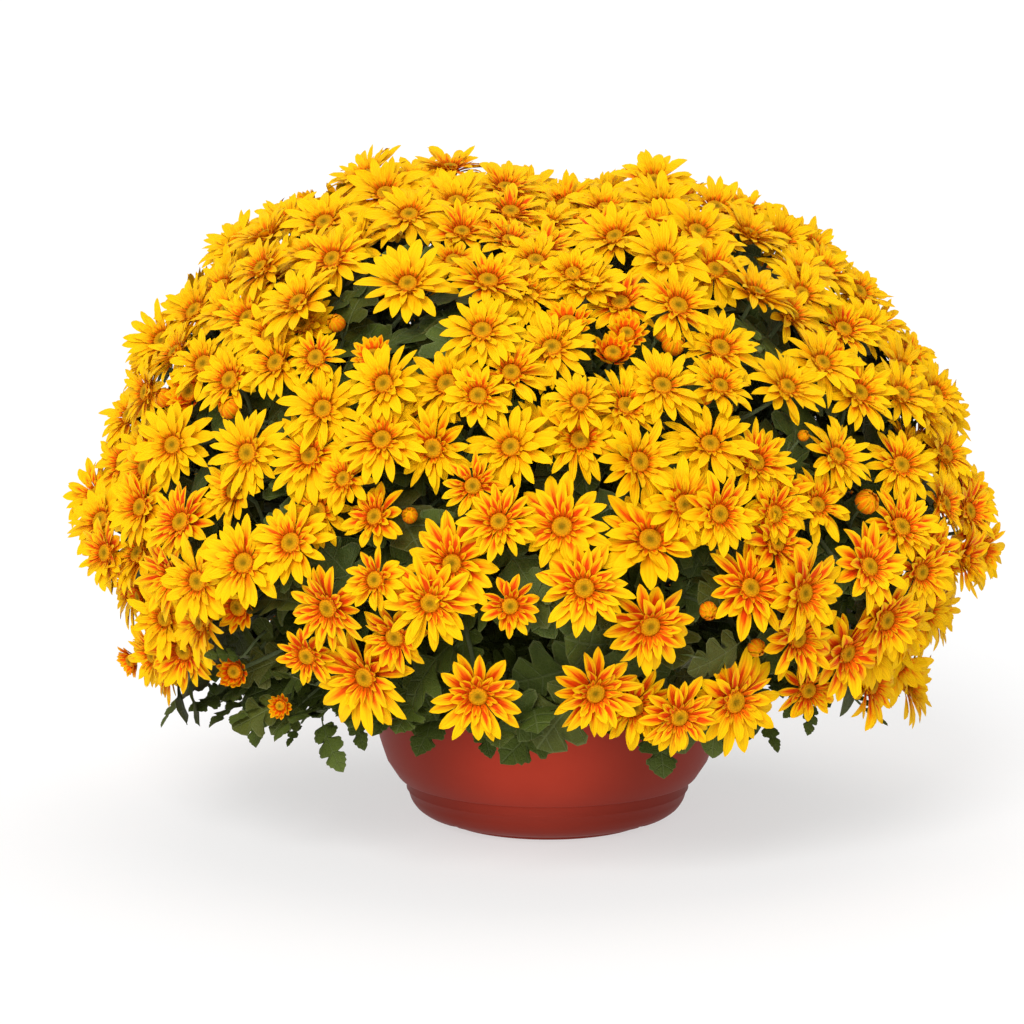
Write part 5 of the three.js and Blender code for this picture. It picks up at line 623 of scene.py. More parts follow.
# ------------------------------------------------------------------ materials
def petal_material():
    w = Web("petal_tissue")
    along, across, under = w.three("at")
    red, chance, row = w.three("of")
    wide = w.math("ABSOLUTE", across)
    # long streaks that run with the petal
    streaks = w.noise(w.join(w.mul(across, 2.6), w.add(w.mul(along, 0.8), w.mul(chance, 23.0)), w.mul(chance, 61.0)), 1.6, 3.0, 0.6)
    veins = w.noise(w.join(w.mul(across, 9.0), w.add(w.mul(along, 0.7), w.mul(chance, 41.0)), w.mul(chance, 11.0)), 1.5, 1.0)
    # the blotch is a spear: wide at the petal's base and narrow where it ends, with clear yellow margins
    reach = w.add(w.add(w.mul(red, 0.62), 0.28), w.mul(w.sub(chance, 0.5), 0.26))
    spear = w.add(w.math("DIVIDE", along, reach), w.mul(w.math("POWER", wide, 1.4), 0.86))
    spear = w.add(spear, w.mul(w.sub(streaks, 0.5), 1.00))
    spear = w.add(spear, w.mul(w.sub(veins, 0.5), 0.45))
    collar = w.math("SUBTRACT", row, 0.6, clamp=True)
    hot = w.math("ADD", w.mul(w.fade(spear, 0.50, 1.55, 1.0, 0.0), w.fade(red, -0.2, 0.5, 0.50, 1.0)), w.mul(collar, 0.30), clamp=True)
    core = w.mul(w.fade(w.sub(spear, w.mul(row, 0.10)), 0.62, 1.00, 1.0, 0.0), w.fade(red, 0.05, 0.62, 0.05, 1.0))
    yellow = w.mix(w.fade(w.add(along, w.mul(wide, 0.20)), 0.15, 0.95), (0.880, 0.400, 0.002), (0.895, 0.510, 0.002))
    tissue = w.mix(hot, yellow, (0.860, 0.190, 0.002))
    # partly painted light: near the disc the red core is painted brighter orange, standing in for light shining through
    # the petals into the shade there; on the collar petals the brighter orange-red is their own colour
    painted_base_glow = w.math("MAXIMUM", collar, w.fade(along, 0.0, 0.34, 0.9, 0.0))
    tissue = w.mix(core, tissue, w.mix(painted_base_glow, (0.69, 0.050, 0.002), (0.98, 0.165, 0.002)))
    # the back of a petal is duller and redder
    tissue = w.mix(w.mul(under, w.add(0.16, w.mul(red, 0.34))), tissue, (0.84, 0.260, 0.003))
    grooves = w.math("COSINE", w.mul(across, 11.0))
    height = w.add(w.mul(grooves, 0.5), w.mul(veins, 0.8))
    return w.finish(
        Base_Color=tissue,
        Roughness=0.60,
        Specular_IOR_Level=0.14,
        Specular_Tint=(1.0, 0.80, 0.30, 1.0),
        Normal=w.bump(height, 0.00025, 0.8),
    )


def disc_material():
    w = Web("disc_florets")
    out, turn, under = w.three("at")
    red, chance, row = w.three("of")
    grain = w.cells(w.place(), 900.0)
    middle = (0.190, 0.115, 0.001)
    ring = (0.580, 0.275, 0.002)
    rim = (1.0, 0.330, 0.003)
    shade = w.mix(w.fade(w.add(out, w.mul(w.sub(grain, 0.4), 0.12)), 0.12, 0.55), middle, ring)
    shade = w.mix(w.fade(out, 0.62, 1.0), shade, rim)
    shade = w.mix(w.mul(w.fade(grain, 0.25, 0.7), 0.42), shade, (0.36, 0.15, 0.003))
    shade = w.mix(w.mul(w.fade(grain, 0.22, 0.0), 0.35), shade, (0.88, 0.50, 0.02))
    return w.finish(
        Base_Color=shade,
        Roughness=0.65,
        Specular_IOR_Level=0.05,
        Normal=w.bump(w.math("SUBTRACT", 1.0, grain), 0.0006, 0.8),
    )


def calyx_material():
    w = Web("green_bracts")
    out, turn, under = w.three("at")
    red, chance, row = w.three("of")
    patch = w.noise(w.place(), 240.0, 3.0)
    shade = w.mix(patch, (0.062, 0.090, 0.020), (0.15, 0.185, 0.045))
    shade = w.mix(w.mul(w.fade(out, 0.6, 1.0), 0.55), shade, (0.26, 0.21, 0.06))
    return w.finish(Base_Color=shade, Roughness=0.62, Specular_IOR_Level=0.3, Normal=w.bump(patch, 0.0003, 0.6))


def stem_material():
    w = Web("stem_skin")
    along, turn, wood = w.three("at")
    chance, b, c = w.three("of")
    spot = w.place()
    ribs = w.math("COSINE", w.mul(turn, 62.83))
    patch = w.noise(spot, 90.0, 3.0)
    fresh = w.mix(patch, (0.085, 0.112, 0.036), (0.155, 0.190, 0.075))
    old = w.mix(w.noise(spot, 260.0, 4.0), (0.060, 0.045, 0.022), (0.150, 0.115, 0.060))
    shade = w.mix(wood, fresh, old)
    shade = w.mix(w.mul(w.fade(w.noise(spot, 900.0, 2.0), 0.55, 0.75), 0.22), shade, (0.33, 0.35, 0.21))
    return w.finish(Base_Color=shade, Roughness=0.6, Specular_IOR_Level=0.3, Normal=w.bump(w.add(ribs, w.mul(patch, 2.0)), 0.00025, 0.7))


def leaf_material():
    w = Web("leaf_blade")
    along, out, edge = w.three("at")
    under, chance, young = w.three("of")
    spot = w.place()
    side = w.math("ABSOLUTE", out)
    wobble = w.mul(w.sub(w.noise(spot, 120.0, 2.0), 0.5), 0.03)
    rank = w.add(w.sub(along, w.mul(side, 0.58)), wobble)
    near = w.math("ABSOLUTE", w.sub(rank, 0.10))
    for level in (0.335, 0.62, 0.80):
        near = w.math("MINIMUM", near, w.math("ABSOLUTE", w.sub(rank, level)))
    main = w.math("MINIMUM", side, w.add(w.mul(near, 1.25), w.mul(side, 0.012)))
    vein = w.fade(main, 0.004, 0.020, 1.0, 0.0)
    mesh = w.cells(spot, 420.0, "DISTANCE_TO_EDGE")
    small = w.fade(mesh, 0.02, 0.14, 1.0, 0.0)
    patch = w.noise(spot, 60.0, 3.0)
    blade = w.mix(w.fade(w.add(patch, w.mul(chance, 0.35)), 0.35, 0.95), (0.034, 0.051, 0.005), (0.078, 0.108, 0.013))
    blade = w.mix(w.math("MULTIPLY", young, 0.6, clamp=True), blade, (0.100, 0.136, 0.022))
    blade = w.mix(w.math("MULTIPLY", young, -1.0, clamp=True), blade, (0.070, 0.058, 0.004))
    blade = w.mix(w.mul(small, 0.20), blade, (0.105, 0.135, 0.030))
    blade = w.mix(w.mul(vein, 0.26), blade, (0.165, 0.195, 0.080))
    blade = w.mix(w.mul(w.fade(edge, 0.90, 1.0), 0.35), blade, (0.18, 0.190, 0.075))
    back = w.mix(w.fade(patch, 0.3, 0.8), (0.140, 0.150, 0.070), (0.215, 0.225, 0.130))
    back = w.mix(w.mul(vein, 0.6), back, (0.30, 0.31, 0.20))
    shade = w.mix(under, blade, back)
    height = w.add(w.mul(small, -0.5), w.add(w.mul(vein, -1.2), w.mul(patch, 0.8)))
    return w.finish(Base_Color=shade, Roughness=0.55, Specular_IOR_Level=0.17, Normal=w.bump(height, 0.0005, 0.7))


def pot_material():
    w = Web("satin_terracotta_plastic")
    spot = w.place()
    cloud = w.noise(spot, 9.0, 4.0, 0.6)
    grain = w.noise(spot, 700.0, 3.0, 0.6)
    split = w.node("ShaderNodeSeparateXYZ")
    w.put(spot, split.inputs[0])
    wear = w.noise(w.join(w.mul(split.outputs[0], 6.0), w.mul(split.outputs[1], 6.0), w.mul(split.outputs[2], 90.0)), 3.2, 4.0, 0.65)
    shade = w.mix(w.fade(cloud, 0.30, 0.72), (0.452, 0.037, 0.0165), (0.512, 0.047, 0.0215))
    shade = w.mix(w.mul(w.fade(wear, 0.52, 0.80), 0.20), shade, (0.48, 0.058, 0.033))
    shade = w.mix(w.mul(w.fade(grain, 0.58, 0.80), 0.16), shade, (0.50, 0.075, 0.048))
    # painted shade: darker towards its sides, standing in for the front light falling off round the pot, and darker
    # towards its foot
    off = w.math("ABSOLUTE", w.add(split.outputs[0], float(0.010 - AXIS[0])))
    shade = w.mix(w.mul(w.fade(off, 0.006, 0.067), 0.68), shade, (0.130, 0.014, 0.008))
    # painted shade: the colour darkens towards the foot
    low = w.mul(w.fade(split.outputs[2], 0.004, 0.060, 1.0, 0.0), 0.84)
    shade = w.mix(low, shade, (0.150, 0.016, 0.009))
    gloss = w.add(0.50, w.mul(w.sub(cloud, 0.5), 0.12))
    height = w.add(w.mul(grain, 0.5), w.mul(wear, 0.8))
    return w.finish(Base_Color=shade, Roughness=gloss, Specular_IOR_Level=0.10, Normal=w.bump(height, 0.00012, 0.6))


def soil_material():
    w = Web("peat_compost")
    spot = w.place()
    crumbs = w.cells(spot, 260.0)
    fine = w.noise(spot, 900.0, 5.0, 0.7)
    shade = w.mix(w.fade(w.noise(spot, 130.0, 4.0, 0.7), 0.35, 0.7), (0.014, 0.009, 0.006), (0.060, 0.038, 0.022))
    shade = w.mix(w.mul(w.fade(fine, 0.55, 0.75), 0.4), shade, (0.11, 0.075, 0.045))
    shade = w.mix(w.fade(w.cells(spot, 95.0), 0.10, 0.055), shade, (0.50, 0.47, 0.42))
    height = w.add(w.mul(crumbs, -1.0), w.mul(fine, 0.6))
    return w.finish(Base_Color=shade, Roughness=0.9, Specular_IOR_Level=0.2, Normal=w.bump(height, 0.0018, 1.0))


def floor_material():
    w = Web("pale_floor")
    spot = w.place()
    cloud = w.noise(spot, 3.0, 3.0)
    shade = w.mix(cloud, (0.400, 0.400, 0.400), (0.412, 0.412, 0.411))
    # a light table: it shines a little itself, so the shade beneath the plant stays soft
    return w.finish(Base_Color=shade, Roughness=0.85, Specular_IOR_Level=0.1, Emission_Color=(1.0, 1.0, 1.0, 1.0), Emission_Strength=0.575)


PETAL, DISC, CALYX = petal_material(), disc_material(), calyx_material()
STEM, LEAF = stem_material(), leaf_material()
POT, SOIL = pot_material(), soil_material()

floor_mesh = bpy.data.meshes.new("floor")
floor_mesh.from_pydata([(-60, -60, 0), (60, -60, 0), (60, 60, 0), (-60, 60, 0)], [], [(0, 1, 2, 3)])
floor_mesh.materials.append(floor_material())
floor = bpy.data.objects.new("floor", floor_mesh)
floor.location = (0, 0, -0.0002)
scene.collection.objects.link(floor)

world = bpy.data.worlds.new("soft_white_room")
world.use_nodes = True
world.node_tree.nodes["Background"].inputs["Color"].default_value = (1, 1, 1, 1)
world.node_tree.nodes["Background"].inputs["Strength"].default_value = 0.48
scene.world = world


# ------------------------------------------------------------------ mesh helper
def unit(v):
    v = np.asarray(v, float)
    return v / np.maximum(np.linalg.norm(v, axis=-1, keepdims=True), 1e-9)


def ease(t):
    t = np.clip(t, 0.0, 1.0)
    return t * t * (3 - 2 * t)


class Piece:
    """Gathers the vertices and faces of one piece in millimetres from the pot's axis. Each face's corners also have a place in a cell of the piece's UV map."""

    def __init__(self, name, materials):
        self.name, self.materials = name, materials
        self.co, self.at, self.of, self.crease = [], [], [], []
        self.faces = {3: [], 4: []}
        self.cells = []
        self.n = 0

    def points(self, co, at, of, crease=None):
        co = np.asarray(co, float).reshape(-1, 3)
        first = self.n
        self.co.append(co)
        self.at.append(np.broadcast_to(np.asarray(at, float).reshape(-1, 3), co.shape))
        self.of.append(np.broadcast_to(np.asarray(of, float).reshape(-1, 3), co.shape))
        self.crease.append(np.zeros(len(co), bool) if crease is None else np.asarray(crease, bool).reshape(-1))
        self.n += len(co)
        return first

    def cell(self, wide, high, count=1):
        """Numbers of count new cells of this size."""
        first = len(self.cells)
        self.cells += [(wide, high)] * count
        return first + np.arange(count)

    def skin(self, corners, places, cells, material=0):
        """corners: faces by 3 or 4 vertices. places: the same, with two numbers from 0 to 1 each. cells: one for each face."""
        corners = np.asarray(corners, int)
        width = corners.shape[-1]
        places = np.broadcast_to(np.asarray(places, float), corners.shape + (2,)).reshape(-1, width, 2)
        corners = corners.reshape(-1, width)
        cells = np.broadcast_to(np.asarray(cells, int), (len(corners),))
        self.faces[width].append((corners, places, cells, np.full(len(corners), material)))

    def packed(self):
        """Each cell's corner and size on the map, by rows of cells of like height."""
        size = np.array(self.cells, float)
        order = np.lexsort((-size[:, 0], -size[:, 1]))
        gap = 0.35
        lo, hi = math.sqrt(((size + gap).prod(1)).sum()), 4 * math.sqrt(((size + gap).prod(1)).sum()) + size.max() + 5
        best = None
        for _ in range(9):
            side = (lo + hi) / 2
            corner = np.zeros_like(size)
            x, y, row = gap, gap, 0.0
            for i in order:
                wide, high = size[i]
                if x + wide + gap > side:
                    x, y, row = gap, y + row + gap, 0.0
                corner[i] = x, y
                x += wide + gap
                row = max(row, high)
            if y + row + gap <= side and size[:, 0].max() + 2 * gap <= side:
                best, hi = (corner / side, size / side), side
            else:
                lo = side
        if best is None:
            raise ValueError(f"{self.name}: the map's cells don't fit")
        return best

    def build(self, smooth=True):
        mesh = bpy.data.meshes.new(self.name)
        co = np.concatenate(self.co) * MM + AXIS
        corners, starts, totals, kinds, uvs = [], [], [], [], []
        corner, size = self.packed()
        first = 0
        for width, groups in self.faces.items():
            for faces, places, cells, material in groups:
                corners.append(faces.reshape(-1))
                starts.append(first + width * np.arange(len(faces)))
                totals.append(np.full(len(faces), width))
                kinds.append(material)
                uvs.append((corner[cells][:, None] + places * size[cells][:, None]).reshape(-1, 2))
                first += faces.size
        corners = np.concatenate(corners)
        mesh.vertices.add(len(co))
        mesh.vertices.foreach_set("co", co.astype(np.float32).reshape(-1))
        mesh.loops.add(len(corners))
        mesh.loops.foreach_set("vertex_index", corners.astype(np.int32))
        mesh.polygons.add(sum(map(len, starts)))
        mesh.polygons.foreach_set("loop_start", np.concatenate(starts).astype(np.int32))
        mesh.polygons.foreach_set("loop_total", np.concatenate(totals).astype(np.int32))
        mesh.polygons.foreach_set("material_index", np.concatenate(kinds).astype(np.int32))
        mesh.update(calc_edges=True)
        mesh.polygons.foreach_set("use_smooth", np.full(len(mesh.polygons), smooth))
        for name, values in (("at", self.at), ("of", self.of)):
            kept = mesh.attributes.new(name, "FLOAT_VECTOR", "POINT")
            kept.data.foreach_set("vector", np.concatenate(values).astype(np.float32).reshape(-1))
        crease = np.concatenate(self.crease)
        if crease.any():
            ends = np.zeros(len(mesh.edges) * 2, np.int32)
            mesh.edges.foreach_get("vertices", ends)
            ends = ends.reshape(-1, 2)
            kept = mesh.attributes.new("sharp_edge", "BOOLEAN", "EDGE")
            kept.data.foreach_set("value", crease[ends[:, 0]] & crease[ends[:, 1]])
        mesh.uv_layers.new(name="OFBake")
        mesh.uv_layers["OFBake"].uv.foreach_set("vector", np.concatenate(uvs).astype(np.float32).reshape(-1))
        for material in self.materials:
            mesh.materials.append(material)
        made = bpy.data.objects.new(self.name, mesh)
        scene.collection.objects.link(made)
        return made


# ------------------------------------------------------------------ petals
# A cross-section goes across the top and back beneath: how far across from -1 to 1, and whether it is on the underside.
KEEL = dict(v=(-1.0, -0.42, 0.42, 1.0, 0.0), under=(0, 0, 0, 0, 1), cap=((0, 1, 4), (1, 2, 4), (2, 3, 4)))
SLIM = dict(v=(-1.0, 0.0, 1.0, 0.0), under=(0, 0, 0, 1), cap=((0, 1, 2, 3),))
OUTER_RINGS = ((0.0, 0.30), (0.20, 0.54), (0.42, 0.90), (0.62, 1.0), (0.80, 0.80), (0.93, 0.40))
INNER_RINGS = ((0.0, 0.36), (0.30, 0.72), (0.58, 1.0), (0.84, 0.66))
FAR_RINGS = ((0.0, 0.30), (0.24, 0.61), (0.52, 0.98), (0.75, 0.90), (0.92, 0.46))
COLLAR_RINGS = ((0.0, 0.60), (0.50, 1.0), (0.85, 0.60))


def petals(piece, seat, phi, length, width, start, rise, sway, twist, cup, rings, cross, of, thick, material=0):
    """Adds petals round a seat, which is an origin and three directions. rise holds each petal's slope at its base, middle and tip; start, the radius and height that it springs from."""
    origin, ex, ey, ez = seat
    k, m, q = len(phi), len(rings), len(cross["v"])
    u = np.array([r[0] for r in rings] + [1.0])
    wide = np.array([r[1] for r in rings])
    fine = np.linspace(0, 1, 25)
    slope = rise[:, :1] + (rise[:, 1:2] - rise[:, :1]) * ease(fine / 0.45) + (rise[:, 2:] - rise[:, 1:2]) * ease((fine - 0.45) / 0.55)
    step = length[:, None] / 24
    run = np.concatenate([np.zeros((k, 1)), np.cumsum((np.cos(slope[:, 1:]) + np.cos(slope[:, :-1])) / 2 * step, 1)], 1)
    climb = np.concatenate([np.zeros((k, 1)), np.cumsum((np.sin(slope[:, 1:]) + np.sin(slope[:, :-1])) / 2 * step, 1)], 1)
    i = np.minimum((u * 24).astype(int), 23)
    f = u * 24 - i
    run, climb, slope = (a[:, i] * (1 - f) + a[:, i + 1] * f for a in (run, climb, slope))
    er = np.cos(phi)[:, None] * ex + np.sin(phi)[:, None] * ey
    et = -np.sin(phi)[:, None] * ex + np.cos(phi)[:, None] * ey
    centre = (
        origin
        + (start[:, :1] + run)[..., None] * er[:, None]
        + (start[:, 1:] + climb)[..., None] * ez
        + (sway[:, None] * u**2 * length[:, None])[..., None] * et[:, None]
    )
    normal = -np.sin(slope)[..., None] * er[:, None] + np.cos(slope)[..., None] * ez
    turn = (twist[:, None] * u)[..., None]
    side = np.cos(turn) * et[:, None] + np.sin(turn) * normal
    up = -np.sin(turn) * et[:, None] + np.cos(turn) * normal
    half = (width[:, None] / 2 * wide)[..., None, None]
    v, under = np.array(cross["v"]), np.array(cross["under"], float)
    lift = cup[:, None, None, None] * half * (np.abs(v) ** 1.8)[:, None]
    body = (thick * (0.45 + 0.55 * np.sin(np.pi * np.clip(u[:m], 0.08, 0.92))))[None, :, None, None] * under[:, None]
    ring = centre[:, :m, None] + side[:, :m, None] * half * v[:, None] + up[:, :m, None] * (lift - body)
    co = np.concatenate([ring.reshape(k, m * q, 3), centre[:, m:]], 1)
    at = np.zeros((k, m * q + 1, 3))
    at[:, : m * q, 0] = np.repeat(u[:m], q)
    at[:, : m * q, 1] = np.tile(v, m)
    at[:, : m * q, 2] = np.tile(under, m)
    at[:, -1] = 1.0, 0.0, 0.0
    crease = np.zeros((k, m * q + 1), bool)
    crease[:, : m * q] = np.tile(np.abs(v) > 0.9, m)
    crease[:, -1] = True
    first = piece.points(co, at, np.repeat(of, m * q + 1, axis=0), crease)
    base = first + (m * q + 1) * np.arange(k)
    top_cells = piece.cell(float(width.mean()), float(length.mean()), k)
    low_cells = piece.cell(float(width.mean()) * 0.55, float(length.mean()) * 0.6, k)
    j, c = np.meshgrid(np.arange(m - 1), np.arange(q), indexing="ij")
    j, c = j.ravel(), c.ravel()
    d = (c + 1) % q
    quad = np.stack([j * q + c, (j + 1) * q + c, (j + 1) * q + d, j * q + d], 1)
    below = (under[c] + under[d]) > 0
    place = np.zeros((len(quad), 4, 2))
    for n, (row, col) in enumerate(((j, c), (j + 1, c), (j + 1, d), (j, d))):
        place[:, n, 0] = (v[col] + 1) / 2
        place[:, n, 1] = u[row]
    cells = np.where(below[None], low_cells[:, None], top_cells[:, None])
    piece.skin(base[:, None, None] + quad, np.broadcast_to(place, (k,) + place.shape), cells.reshape(-1), material)
    c = np.arange(q)
    d = (c + 1) % q
    fan = np.stack([(m - 1) * q + c, np.full(q, m * q), (m - 1) * q + d], 1)
    below = (under[c] + under[d]) > 0
    place = np.zeros((q, 3, 2))
    place[:, 0, 0], place[:, 1, 0], place[:, 2, 0] = (v[c] + 1) / 2, 0.5, (v[d] + 1) / 2
    place[:, 0, 1], place[:, 1, 1], place[:, 2, 1] = u[m - 1], 1.0, u[m - 1]
    cells = np.where(below[None], low_cells[:, None], top_cells[:, None])
    piece.skin(base[:, None, None] + fan, np.broadcast_to(place, (k,) + place.shape), cells.reshape(-1), material)
    for face in cross["cap"]:
        n = len(face)
        place = np.stack([(v[list(face)] + 1) / 2, 0.04 * under[list(face)]], 1)
        piece.skin(base[:, None] + np.array(face), np.broadcast_to(place, (k, n, 2)), low_cells, material)


def lathe(piece, seat, profile, sides, of, ripple=0.0, split=None, materials=(0, 0), notch=None):
    """A closed turned body round a seat: profile is rows of radius and height from the top's centre to the bottom's. Rows from split on wear the second material."""
    origin, ex, ey, ez = seat
    r, z = np.array(profile, float).T
    a = 2 * np.pi * np.arange(sides) / sides
    rows = len(r) - 2
    wave = ripple * (((np.arange(sides)[None] + np.arange(rows)[:, None]) % 2) * 2 - 1)
    if split:
        wave[split - 1 :] *= 0.4
    ring_r, ring_z = np.broadcast_to(r[1:-1, None], (rows, sides)), z[1:-1, None] + wave
    ring = origin + (ring_r * np.cos(a))[..., None] * ex + (ring_r * np.sin(a))[..., None] * ey + ring_z[..., None] * ez
    co = np.concatenate([[origin + z[0] * ez], ring.reshape(-1, 3), [origin + z[-1] * ez]])
    far = max(r[: split + 1].max() if split else r.max(), 1e-6)
    out = np.minimum(r / far, 1.0)
    if split:
        out[split:] = np.linspace(1, 0, len(r) - split)
    at = np.zeros((len(co), 3))
    at[1:-1, 0] = np.repeat(out[1:-1], sides)
    at[0, 0], at[-1, 0] = out[0], out[-1]
    at[1:-1, 1] = np.tile(a / (2 * np.pi), rows)
    first = piece.points(co, at, of)
    big = float(r.max())
    top, low_cell = piece.cell(2 * big, 2 * big), piece.cell(1.2 * big, 1.2 * big)
    polar = 0.5 + 0.5 * np.stack([np.cos(a), np.sin(a)], 1)
    c = np.arange(sides)
    d = (c + 1) % sides
    split = split or len(r)
    travel = np.concatenate([[0], np.cumsum(np.hypot(np.diff(r), np.diff(z)))])

    def spot(row, col):
        """The place on its own cell of a ring's corner, as seen from above or below."""
        if row < split:
            share = travel[row] / max(travel[min(split, len(r) - 1)], 1e-6)
        else:
            share = (travel[-1] - travel[row]) / max(travel[-1] - travel[split - 1], 1e-6)
        return 0.5 + (polar[col] - 0.5) * share

    mid = np.broadcast_to(np.array([0.5, 0.5]), (sides, 2))
    piece.skin(first + np.stack([np.zeros(sides, int), 1 + c, 1 + d], 1), np.stack([mid, spot(1, c), spot(1, d)], 1), top[0], materials[0])
    for row in range(rows - 1):
        p, s = 1 + row * sides, 1 + (row + 1) * sides
        lower = row + 2 >= split + 1
        here = materials[1] if lower else materials[0]
        if lower:
            base = max(travel[-1] - travel[split - 1], 1e-6)
            g0, g1 = (travel[-1] - travel[row + 1]) / base, (travel[-1] - travel[row + 2]) / base
            uv = [0.5 + (polar[c] - 0.5) * g0, 0.5 + (polar[c] - 0.5) * g1, 0.5 + (polar[d] - 0.5) * g1, 0.5 + (polar[d] - 0.5) * g0]
        else:
            base = max(travel[min(split, len(r) - 1)], 1e-6)
            g0, g1 = travel[row + 1] / base, travel[row + 2] / base
            uv = [0.5 + (polar[c] - 0.5) * g0, 0.5 + (polar[c] - 0.5) * g1, 0.5 + (polar[d] - 0.5) * g1, 0.5 + (polar[d] - 0.5) * g0]
        piece.skin(first + np.stack([p + c, s + c, s + d, p + d], 1), np.stack(uv, 1), low_cell[0] if lower else top[0], here)
    p = 1 + (rows - 1) * sides
    last = np.full(sides, 1 + rows * sides)
    base = max(travel[-1] - travel[min(split, len(r)) - 1], 1e-6)
    g0 = min((travel[-1] - travel[-2]) / base, 1.0)
    piece.skin(first + np.stack([p + c, last, p + d], 1), np.stack([0.5 + (polar[c] - 0.5) * g0, mid, 0.5 + (polar[d] - 0.5) * g0], 1), low_cell[0], materials[1])


def tube(piece, path, radius, sides, wood, chance, material=0):
    """A closed tube along a path of points."""
    path, radius = np.asarray(path, float), np.asarray(radius, float)
    n = len(path)
    way = unit(np.gradient(path, axis=0))
    x = np.cross(way[0], [0.31, 0.77, 0.55])
    frames = []
    for t in way:
        x = unit(x - (x @ t) * t)
        frames.append((x, np.cross(t, x)))
    ex, ey = np.array([f[0] for f in frames]), np.array([f[1] for f in frames])
    a = 2 * np.pi * np.arange(sides) / sides
    ring = path[:, None] + radius[:, None, None] * (np.cos(a)[None, :, None] * ex[:, None] + np.sin(a)[None, :, None] * ey[:, None])
    co = np.concatenate([ring.reshape(-1, 3), path[:1] - way[:1] * radius[0] * 0.3, path[-1:] + way[-1:] * radius[-1] * 0.3])
    gone = np.concatenate([[0], np.cumsum(np.linalg.norm(np.diff(path, axis=0), axis=1))])
    at = np.zeros((len(co), 3))
    at[: n * sides, 0] = np.repeat(gone / gone[-1], sides)
    at[: n * sides, 1] = np.tile(np.abs(a / np.pi - 1), n)
    at[: n * sides, 2] = np.repeat(np.broadcast_to(wood, (n,)), sides)
    at[-2, 2], at[-1, 2] = np.broadcast_to(wood, (n,))[0], np.broadcast_to(wood, (n,))[-1]
    first = piece.points(co, at, (chance, 0, 0))
    cell = piece.cell(2 * np.pi * float(radius.mean()), float(gone[-1]) * 0.4 + 0.5)[0]
    j, c = (g.ravel() for g in np.meshgrid(np.arange(n - 1), np.arange(sides), indexing="ij"))
    d = (c + 1) % sides
    share = gone / gone[-1]
    quad = np.stack([j * sides + c, j * sides + d, (j + 1) * sides + d, (j + 1) * sides + c], 1)
    uv = np.stack([np.stack([c / sides, share[j]], 1), np.stack([(c + 1) / sides, share[j]], 1), np.stack([(c + 1) / sides, share[j + 1]], 1), np.stack([c / sides, share[j + 1]], 1)], 1)
    piece.skin(first + quad, uv, cell, material)
    c = np.arange(sides)
    d = (c + 1) % sides
    low_fan = np.stack([d, c, np.full(sides, n * sides)], 1)
    top_fan = np.stack([(n - 1) * sides + c, (n - 1) * sides + d, np.full(sides, n * sides + 1)], 1)
    piece.skin(first + low_fan, np.stack([np.stack([d / sides, 0 * c], 1), np.stack([c / sides, 0 * c], 1), np.stack([(c + 0.5) / sides, 0 * c + 0.02], 1)], 1), cell, material)
    piece.skin(first + top_fan, np.stack([np.stack([c / sides, 0 * c + 1], 1), np.stack([d / sides, 0 * c + 1], 1), np.stack([(c + 0.5) / sides, 0 * c + 0.98], 1)], 1), cell, material)


def bow(a, b, c, d, n):
    """n points of the cubic curve with these four controls."""
    t = np.linspace(0, 1, n)[:, None]
    return (1 - t) ** 3 * a + 3 * (1 - t) ** 2 * t * b + 3 * (1 - t) * t**2 * c + t**3 * d


# ------------------------------------------------------------------ leaves
# Half outlines: along from 0 to 1, out as a share of the length, and where on the midrib that the point's rib starts.
FULL = (
    (0.000, 0.014, 0.00), (0.130, 0.022, 0.12), (0.175, 0.070, 0.14), (0.165, 0.165, 0.14), (0.150, 0.235, 0.14),
    (0.195, 0.285, 0.14), (0.235, 0.275, 0.14), (0.255, 0.335, 0.14), (0.315, 0.350, 0.20), (0.335, 0.305, 0.20),
    (0.375, 0.290, 0.20), (0.390, 0.215, 0.28), (0.412, 0.130, 0.36), (0.440, 0.205, 0.38), (0.455, 0.315, 0.38),
    (0.505, 0.370, 0.38), (0.545, 0.345, 0.38), (0.585, 0.375, 0.44), (0.630, 0.330, 0.44), (0.640, 0.250, 0.52),
    (0.662, 0.150, 0.60), (0.700, 0.185, 0.62), (0.725, 0.265, 0.62), (0.775, 0.270, 0.66), (0.800, 0.225, 0.66),
    (0.845, 0.225, 0.72), (0.875, 0.165, 0.80), (0.915, 0.150, 0.84), (0.950, 0.085, 0.90), (1.000, 0.000, 1.00),
)
PLAIN = (
    (0.000, 0.016, 0.00), (0.150, 0.040, 0.12), (0.190, 0.240, 0.14), (0.300, 0.335, 0.20), (0.400, 0.150, 0.34),
    (0.470, 0.340, 0.40), (0.600, 0.350, 0.46), (0.665, 0.150, 0.60), (0.760, 0.260, 0.66), (0.880, 0.160, 0.82),
    (1.000, 0.000, 1.00),
)

MIDDLING = (
    (0.000, 0.014, 0.00), (0.140, 0.030, 0.12), (0.162, 0.130, 0.14), (0.150, 0.225, 0.14), (0.215, 0.300, 0.14), (0.290, 0.335, 0.20),
    (0.358, 0.296, 0.20), (0.398, 0.150, 0.32), (0.436, 0.240, 0.38), (0.470, 0.342, 0.38), (0.550, 0.372, 0.38), (0.628, 0.318, 0.46),
    (0.658, 0.160, 0.58), (0.712, 0.232, 0.62), (0.770, 0.268, 0.66), (0.850, 0.212, 0.74), (0.918, 0.138, 0.84), (0.968, 0.062, 0.92),
    (1.000, 0.000, 1.00),
)


